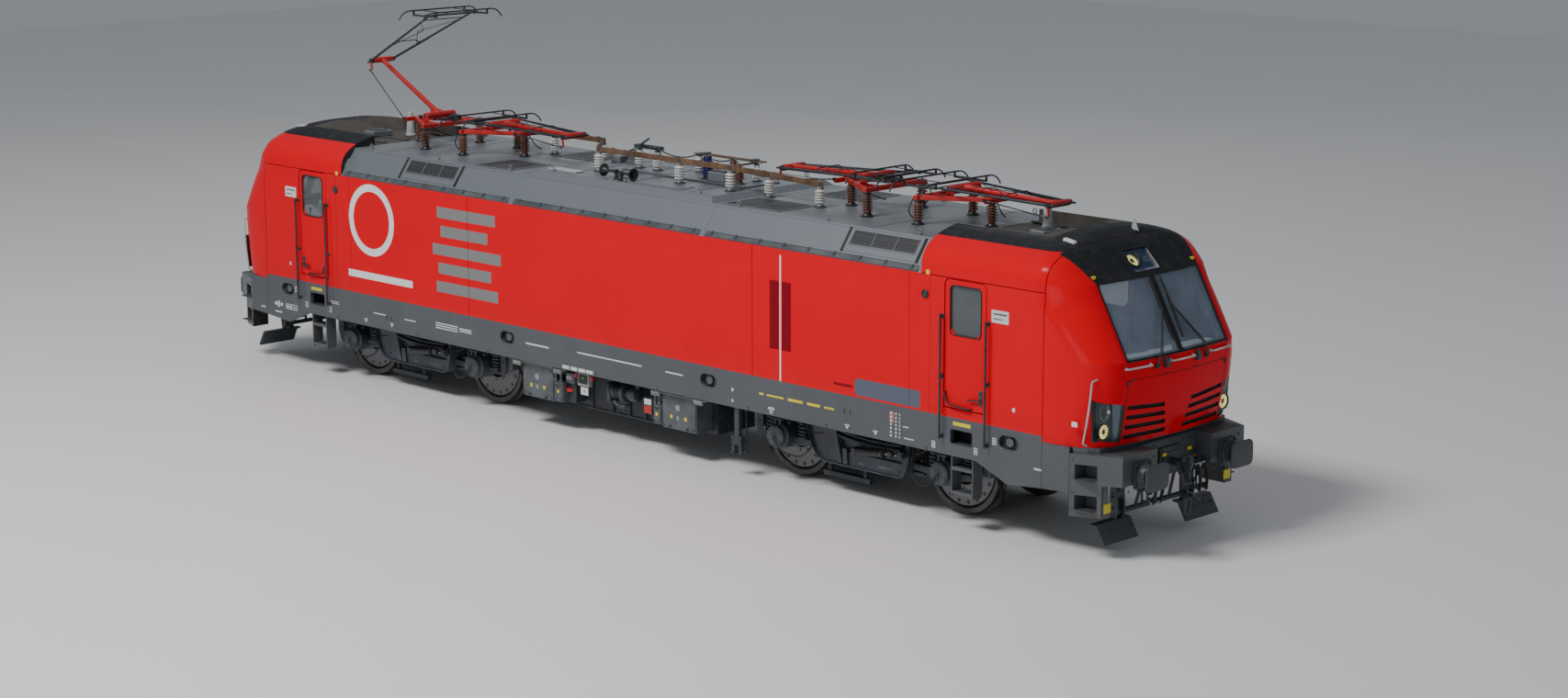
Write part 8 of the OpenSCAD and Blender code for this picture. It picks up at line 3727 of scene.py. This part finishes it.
# ---------------------------------------------------------------------------
# Pantographs
# ---------------------------------------------------------------------------
@dataclass
class Pantograph:
    """One pantograph: frame, insulators, lower arm, upper arm, coupling rod and head."""

    number: int
    lower: float = 1.620
    upper: float = 1.950
    bow_gap: float = 0.560

    def __post_init__(self) -> None:
        """Settle the angles of the modelled position."""
        self.angle = 27.9 if self.number == 1 else -1.5
        self.fold = 2.0 + 0.8 * (self.angle + 1.5)
        self.rod_angle = -5.6 + 1.555 * (self.angle + 1.5)
        self.base = shift(PIVOTS[self.number - 1], 0, 4.160) @ (
            MIRROR_X if KNEE_SIDE[self.number - 1] < 0 else STILL
        )
        self.bow_half = 0.700 if self.number == 3 else 0.800

    def knee(self) -> Matrix:
        """Placement of the knee."""
        a = math.radians(self.angle)
        return shift(self.lower * math.cos(a), 0, self.lower * math.sin(a))

    def build(self) -> None:
        """Make the moving pieces, each on its own body."""
        n = self.number
        for name, maker in (
            ("lower_arm", self.lower_arm), ("upper_arm", self.upper_arm), ("coupling_rod", self.rod),
            ("head", self.head)
        ):
            form = Form(f"pan_{name}_{n}")
            with form.at(self.base):
                maker(form)
            form.done(f"{name}_{n}", (f"{name}_{n}",))

    def frame(self, form: Form) -> None:
        """The fixed frame on its three insulators.

        Args:
            form: the piece that it adds to.
        """
        low, high = -0.140, -0.080
        pair, single, wide = -0.320, 0.490, 0.550

        def beam(a: Flat, b: Flat, width: float) -> None:
            """One hollow-looking bar between two places.

            Args:
                a: the first end.
                b: the second end.
                width: its width.
            """
            start, end = Vector((*a, 0)), Vector((*b, 0))
            length = (end - start).length
            with form.at(
                shift(a[0], a[1], 0), turn("Z", math.degrees(math.atan2(end.y - start.y, end.x - start.x)))
            ):
                form.block((0, -width / 2, low), (length, width / 2, high), Look.PAN_RED, 0.006)
                form.block(
                    (0.01, -width / 2 + 0.012, high - 0.002), (length - 0.01, width / 2 - 0.012, high + 0.003),
                    Look.PAN_RED, 0.002
                )

        beam((pair, -wide - 0.060), (pair, wide + 0.060), 0.080)
        for s in (-1, 1):
            beam((pair, s * wide), (single + 0.060, s * 0.030), 0.070)
            beam((0.0, s * 0.280), (pair + 0.030, s * 0.280), 0.040)
        beam((0.575, -0.232), (0.575, 0.232), 0.060)
        for s in (-1, 1):
            lug = [
                (-0.075, low), (0.075, low), (0.050, 0.020), (0.030, 0.045), (-0.030, 0.045), (-0.050, 0.020)
            ]
            form.prism(lug, s * 0.266, s * 0.294, Look.PAN_RED, chamfer=0.004)
            form.lathe(
                [
                    (0.013, -0.020), (0.030, -0.020), (0.032, -0.016), (0.032, 0.016), (0.030, 0.020),
                    (0.013, 0.020)
                ],
                Look.DARK, (0, s * 0.280, 0), (0, 1, 0), 24, ring=True
            )
            form.rod((0.310, s * 0.140, low), (0.310, s * 0.140, -0.035), 0.022, Look.RUBBER, 20)
            form.lathe([(0.030, 0), (0.030, 0.01), (0, 0.012)], Look.DARK, (0.310, s * 0.140, -0.036), sides=20)
            form.tube(
                [
                    (
                        -0.30 + 0.22 * i / 30, s * 0.085 + 0.024 * math.cos(i * 1.25),
                        -0.055 + 0.024 * math.sin(i * 1.25)
                    )
                    for i in range(31)
                ],
                0.005, Look.DARK, 6
            )
            form.rod((-0.33, s * 0.085, -0.055), (-0.06, s * 0.085, -0.050), 0.009, Look.DARK, 10)
        form.rod((0.575, -0.290, -0.086), (0.575, -0.222, -0.086), 0.0100, Look.DARK, 16)
        form.block((0.545, -0.250, -0.120), (0.605, -0.234, -0.066), Look.PAN_RED, 0.004)
        form.lathe(
            [(0, 0), (0.045, 0), (0.048, 0.01), (0.048, 0.20), (0.040, 0.215), (0, 0.215)], Look.PAN_DARK,
            (-0.25, 0.20, -0.045), (1, 0, 0), 28
        )
        for x, y in ((pair, -wide), (pair, wide), (single, 0.0)):
            form.lathe(
                [(0.062, low - 0.006), (0.062, low + 0.002), (0.050, low + 0.006), (0, low + 0.006)], Look.DARK,
                (x, y, 0), sides=28
            )
            form.bolts((((x, y, high), (0, 0, 1)),), 0.020)
        for s in (-1, 1):
            ends = (
                Vector((-0.345, s * 0.59, -0.085)), Vector((-0.42, s * 0.66, -0.30)),
                Vector((-0.36, s * 0.50, -0.455))
            )
            form.tube(bend(ends, 0.12, 6), 0.0085, Look.RUBBER, 8)
        form.tube(sag((0.56, 0.0, -0.09), (0.30, 0.50, -0.42), 0.05), 0.0085, Look.RUBBER, 8)

    def lower_arm(self, form: Form) -> None:
        """The tapered lower arm between its two cross tubes.

        Args:
            form: the piece that it adds to.
        """
        with form.at(turn("Y", -self.angle)):
            form.lathe(
                [(0, -0.255), (0.046, -0.255), (0.050, -0.250), (0.050, 0.250), (0.046, 0.255), (0, 0.255)],
                Look.PAN_RED, direction=(0, 1, 0), sides=32
            )
            form.lathe(
                [(0, -0.300), (0.0115, -0.300), (0.0115, 0.300), (0, 0.300)], Look.RAIL, direction=(0, 1, 0),
                sides=20
            )
            form.lathe(
                [
                    (0, 0.0), (0.050, 0.02), (0.050, 0.10), (0.040, 0.16), (0.033, self.lower - 0.14),
                    (0.040, self.lower - 0.06), (0.040, self.lower - 0.02), (0, self.lower)
                ],
                Look.PAN_RED, direction=(1, 0, 0), sides=32
            )
            for s in (-1, 1):
                gusset = [(0.035, s * 0.042), (0.20, s * 0.035), (0.035, s * 0.17)]
                form.prism(gusset, -0.006, 0.006, Look.PAN_RED, "xy")
            with form.at(shift(self.lower, 0, 0)):
                form.lathe(
                    [(0, -0.195), (0.042, -0.195), (0.045, -0.190), (0.045, 0.190), (0.042, 0.195), (0, 0.195)],
                    Look.PAN_RED, direction=(0, 1, 0), sides=32
                )
                form.lathe(
                    [(0, -0.245), (0.0115, -0.245), (0.0115, 0.245), (0, 0.245)], Look.RAIL,
                    direction=(0, 1, 0), sides=20
                )
            form.tube(
                [(0.18 + 1.28 * i / 12, 0.0, 0.006 * i / 12 - 0.044) for i in range(13)], 0.005, Look.PAN_DARK,
                8
            )

    def upper_arm(self, form: Form) -> None:
        """Two tapered tubes from the knee to the head's pin, with stays and lever.

        Args:
            form: the piece that it adds to.
        """
        with form.at(self.knee(), turn("Y", -(180 - self.fold))):
            for s in (-1, 1):
                form.lathe(
                    [
                        (0.0135, 0.200), (0.034, 0.200), (0.036, 0.203), (0.036, 0.237), (0.034, 0.240),
                        (0.0135, 0.240)
                    ],
                    Look.PAN_DARK, (0, 0, 0), (0, s, 0), 28, ring=True
                )
                a, b = Vector((0.030, s * 0.222, 0)), Vector((self.upper - 0.02, s * 0.413, 0))
                form.tube(
                    [a, a.lerp(b, 0.05), a.lerp(b, 0.95), b], [0.0195, 0.0200, 0.0150, 0.0145], Look.PAN_DARK,
                    20
                )
                form.rod((-0.100, s * 0.220, 0), (-0.030, s * 0.220, 0), 0.0135, Look.PAN_DARK, 16)
                c = a.lerp(b, 0.30)
                d = Vector((self.upper * 0.58, -s * 0.06, -0.044))
                form.tube([c, c.lerp(d, 0.5), d], 0.006, Look.PAN_DARK, 10)
                e = a.lerp(b, 0.86)
                form.tube([d, d.lerp(e, 0.5), e], 0.006, Look.PAN_DARK, 10)
            form.rod((-0.080, -0.228, 0), (-0.080, 0.228, 0), 0.0108, Look.PAN_DARK, 16)
            form.lathe(
                [(0, -0.480), (0.0155, -0.480), (0.0155, 0.480), (0, 0.480)], Look.PAN_DARK, (self.upper, 0, 0),
                (0, 1, 0), 20
            )
            for share, half, rise in ((0.36, 0.290, 0.046), (0.90, 0.392, 0.0)):
                x = self.upper * share
                path = [(x, -half, 0), (x, 0.10 - half, -rise), (x, half - 0.10, -rise), (x, half, 0)]
                form.tube(path, 0.0085, Look.PAN_DARK, 14)
            with form.at(shift(0, -0.240, 0), turn("Y", -104)):
                plate = [
                    (0.0, -0.016), (0.130, -0.014), (0.150, -0.006), (0.150, 0.006), (0.130, 0.014),
                    (0.0, 0.016)
                ]
                form.prism(
                    [(u + 0.030 * (u == 0), v) for u, v in plate], 0.0005, 0.0235, Look.PAN_RED, chamfer=0.004
                )
            form.tube(sag((0.10, 0.21, 0.02), (0.92, 0.30, 0.02), 0.0), 0.006, Look.RUBBER, 8)

    def rod(self, form: Form) -> None:
        """The thin coupling rod with its two eyes.

        Args:
            form: the piece that it adds to.
        """
        with form.at(shift(0.575, 0, -0.086), turn("Y", -self.rod_angle)):
            for x, hole in ((0.0, 0.0112), (1.080, 0.0)):
                ring = [(0.021, -0.0118), (0.022, -0.010), (0.022, -0.002), (0.021, -0.0002)]
                eye = [(hole, -0.0118), *ring, (hole, -0.0002)]
                form.lathe(eye, Look.DARK, (x, -0.262, 0), (0, 1, 0), 24, ring=bool(hole))
            form.rod((0.018, -0.268, 0), (1.064, -0.268, 0), 0.0088, Look.PAN_DARK, 14)
            for x in (0.06, 0.98):
                form.lathe(
                    [(0.0088, 0), (0.012, 0.004), (0.012, 0.045), (0.0088, 0.05)], Look.DARK, (x, -0.268, 0),
                    (1, 0, 0), 6
                )

    def head(self, form: Form) -> None:
        """The collector head: two bows with strips and horns on side rails.

        Args:
            form: the piece that it adds to.
        """
        a = math.radians(self.fold)
        with form.at(self.knee(), shift(-self.upper * math.cos(a), 0, self.upper * math.sin(a))):
            gap = self.bow_gap / 2
            for s in (-1, 1):
                form.lathe(
                    [
                        (0.0172, 0.4655), (0.026, 0.4655), (0.028, 0.468), (0.028, 0.483), (0.026, 0.485),
                        (0.0172, 0.485)
                    ],
                    Look.PAN_DARK, (0, 0, 0), (0, s, 0), 24, ring=True
                )
                rail = [
                    (-gap, -0.010), (-gap + 0.03, -0.014), (gap - 0.03, -0.014), (gap, -0.010), (gap, 0.010),
                    (gap - 0.03, 0.014), (-gap + 0.03, 0.014), (-gap, 0.010)
                ]
                form.prism(rail, s * 0.496, s * 0.514, Look.PAN_DARK, chamfer=0.003)
                form.prism(
                    [
                        (-0.018, -0.026), (0.018, -0.026), (0.024, 0.0), (0.018, 0.026), (-0.018, 0.026),
                        (-0.024, 0.0)
                    ],
                    s * 0.484, s * 0.499, Look.PAN_DARK, chamfer=0.003
                )
                for t in (-1, 1):
                    post = [
                        (t * gap - 0.012, -0.012), (t * gap + 0.012, -0.012), (t * gap + 0.008, 0.062),
                        (t * gap - 0.008, 0.062)
                    ]
                    form.prism(post, s * 0.492, s * 0.518, Look.PAN_DARK, chamfer=0.003)
                    coil = [
                        (
                            t * gap + 0.017 * math.cos(i * 0.9), s * 0.505 + 0.017 * math.sin(i * 0.9),
                            -0.004 + 0.052 * i / 34
                        )
                        for i in range(35)
                    ]
                    form.tube(coil, 0.0028, Look.RAIL, 6)
            flat = self.bow_half - 0.220
            for t in (-1, 1):
                x = t * gap
                form.block((x - 0.017, -flat, 0.0585), (x + 0.017, flat, 0.068), Look.PAN_DARK, 0.002)
                form.block(
                    (x - 0.0145, -flat + 0.01, 0.067), (x + 0.0145, flat - 0.01, 0.0795), Look.CARBON, 0.003
                )
                for s in (-1, 1):
                    arc = []
                    for i in range(15):
                        angle = math.radians(90 - 62 * i / 14)
                        arc.append(
                            (x, s * (flat + 0.239 * math.cos(angle)), 0.069 - 0.239 + 0.239 * math.sin(angle))
                        )
                    start = (x, s * (flat - 0.05), 0.069)
                    form.tube([start, *arc], 0.0105, Look.PAN_DARK, 14)
                    form.lathe(
                        [(0, -0.001), (0.0108, 0), (0.0108, 0.006), (0, 0.008)], Look.RUBBER, arc[-1],
                        Vector(arc[-1]) - Vector(arc[-2]), 14
                    )
            for y in (-0.30, 0.30):
                form.rod((-gap, y, 0.054), (gap, y, 0.054), 0.007, Look.PAN_DARK, 12)


@dataclass
class Pantographs:
    """All four pantographs with their shared fixed parts."""

    def build(self) -> None:
        """Make the frames in one piece, the insulators as copies, and the moving parts."""
        frames = Form("pan_frames")
        spots = []
        for number in (1, 2, 3, 4):
            pan = Pantograph(number)
            with frames.at(pan.base):
                pan.frame(frames)
            spots += [
                (pan.base @ Vector((x, y, 0))) for x, y in ((-0.320, -0.550), (-0.320, 0.550), (0.490, 0.0))
            ]
            pan.build()
        frames.done("carbody", ("pantograph_frames",))
        template = Form("pan_pots")
        template.lathe([(r, h + 0.022) for r, h in pot(6, 0.296, 0.077)], Look.BROWN_POT, sides=36)
        template.lathe(
            [(0, 0), (0.090, 0), (0.090, 0.012), (0.064, 0.022), (0.054, 0.038), (0, 0.040)], Look.BLACK,
            sides=32
        )
        template.lathe(
            [(0, 0.306), (0.052, 0.306), (0.056, 0.318), (0.056, 0.3285), (0, 0.3285)], Look.BLACK, sides=28
        )
        template.bolts(
            (((0.074 * math.cos(a), 0.074 * math.sin(a), 0.010), (0, 0, 1)) for a in (0.8, 2.4, 3.9, 5.5)),
            0.009
        )
        Copies.make(template, [shift(p.x, p.y, DECK_Z) for p in spots], "carbody", ("pantograph_insulators",))


# ---------------------------------------------------------------------------
# Stage and camera
# ---------------------------------------------------------------------------
@dataclass(frozen=True)
class Studio:
    """Pale floor, soft lights and the three-quarter camera."""

    floor_half: float = 60.0
    location: Point = (31.272, -29.475, 10.095)
    angles: Point = (78.3873, 0.031, 44.6218)
    lens: float = 68.498
    shift: Flat = (-0.00126, -0.0027)

    def build(self) -> None:
        """Make the stage."""
        self.floor()
        self.light("key", (0.0, -20.5, 28.0), (0.0, 0.0, 2.0), 12.0, 8800.0, (1.0, 0.985, 0.96))
        self.light("fill", (30.0, 6.0, 14.0), (6.0, 0.0, 2.0), 12.0, 220.0, (0.93, 0.96, 1.0))
        self.light("rim", (-22.0, 20.0, 18.0), (0.0, 0.0, 3.0), 14.0, 450.0, (0.95, 0.97, 1.0))
        self.light("low", (10.0, -20.0, 3.0), (2.0, 0.0, 1.0), 8.0, 300.0, (1.0, 0.98, 0.95))
        self.sky()
        self.camera()

    def floor(self) -> None:
        """A pale floor."""
        paint = Paint("studio_floor")
        cloud = paint.noise(0.35, detail=3.0)
        shade = paint.blend(cloud.ease(0.3, 0.7) * 0.4, (0.85, 0.855, 0.86), (0.81, 0.82, 0.83))
        material = paint.finish(shade, 0.62)
        half = self.floor_half
        mesh = bpy.data.meshes.new("floor")
        mesh.from_pydata(
            [(-half, -half, 0), (half, -half, 0), (half, half, 0), (-half, half, 0)], [], [(0, 1, 2, 3)]
        )
        mesh.materials.append(material)
        floor = bpy.data.objects.new("floor", mesh)
        put(floor)
        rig.stage(floor)

    def light(self, name: str, at: Point, to: Point, size: float, power: float, colour: Rgb) -> None:
        """One soft light.

        Args:
            name: its name.
            at: where it hangs.
            to: what it faces.
            size: its width.
            power: its power in watts.
            colour: its colour.
        """
        lamp = bpy.data.lights.new(name, "AREA")
        lamp.shape = "RECTANGLE"
        lamp.size, lamp.size_y = size, size * 0.6
        lamp.energy = power
        lamp.color = colour
        obj = bpy.data.objects.new(name, lamp)
        obj.location = at
        obj.rotation_euler = (Vector(to) - Vector(at)).to_track_quat("-Z", "Y").to_euler()
        put(obj)

    def sky(self) -> None:
        """Even surrounding light."""
        world = bpy.data.worlds.new("studio")
        world.use_nodes = True
        back = world.node_tree.nodes["Background"]
        back.inputs["Color"].default_value = (0.86, 0.90, 0.96, 1.0)
        back.inputs["Strength"].default_value = 0.28
        bpy.context.scene.world = world

    def camera(self) -> None:
        """The camera."""
        data = bpy.data.cameras.new("camera")
        data.lens = self.lens
        data.sensor_width = 36.0
        data.shift_x, data.shift_y = self.shift
        data.clip_end = 300.0
        obj = bpy.data.objects.new("camera", data)
        obj.location = self.location
        obj.rotation_euler = [math.radians(a) for a in self.angles]
        put(obj)
        bpy.context.scene.camera = obj


# ---------------------------------------------------------------------------
# Carried-over nodes
# ---------------------------------------------------------------------------
KEPT = {
    "side_wall_left": Look.BODY,
    "side_wall_right": Look.BODY,
    "sill_left": Look.SILL,
    "sill_right": Look.SILL,
    "underframe": Look.UNDER,
    "headstocks": Look.SILL,
    "roof_hood": Look.ROOF,
    "transformer": Look.TANK,
    "traction_motors_front": Look.DARK,
    "traction_motors_rear": Look.DARK,
    "door_hinges": Look.DARK,
}

SLOT_LOOKS = {
    "red_paint": Look.BODY,
    "grey_paint": Look.SILL,
    "roof_grey": Look.ROOF,
    "dark_metal": Look.BLACK,
    "dark_steel": Look.BOGIE,
    "wheel_steel": Look.WHEEL,
    "bright_steel": Look.RAIL,
    "glass": Look.GLASS,
    "cab_lining": Look.LINING,
    "seat_fabric": Look.SEAT,
    "copper": Look.COPPER,
    "pale_ceramic": Look.WHITE_POT,
    "brown_ceramic": Look.BROWN_POT,
    "pantograph_red": Look.PAN_RED,
}


def dress(frame: dict) -> None:
    """Give every carried-over node a finish of this file.

    Args:
        frame: the loaded frame.
    """
    slot_of = {item["node"]: item["material_slot"] for item in frame["record"]["subparts"]}
    for name, piece in frame["nodes"].items():
        look = KEPT.get(name) or SLOT_LOOKS.get(slot_of.get(name, ""), Look.DARK)
        if not piece.data.materials:
            piece.data.materials.append(None)
        for place in piece.material_slots:
            place.material = look.material()


def extent() -> list[list[float]]:
    """The object's box as plain lists."""
    return [[round(float(v), 4) for v in corner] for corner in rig.bounds()]


def main() -> None:
    """Build the locomotive and its stage, and note the size before and after."""
    logging.basicConfig(level=logging.INFO, format="%(name)s %(message)s")
    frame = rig.load()
    start = extent()
    dress(frame)
    Studio().build()
    parts = (
        CabShell(), CabInside(), NoseFittings(), Doors(), SillDetail(), EndGear(), Wheelsets(),
        Bogie("front", BOGIE_X), Bogie("rear", -BOGIE_X), Underfloor(), Roof(), RoofGear(), Pantographs(),
    )
    for part in parts:
        part.build()
    with open("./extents.json", "w", encoding="utf-8") as out:
        json.dump({"start": start, "end": extent()}, out)


if __name__ == "__main__":
    main()
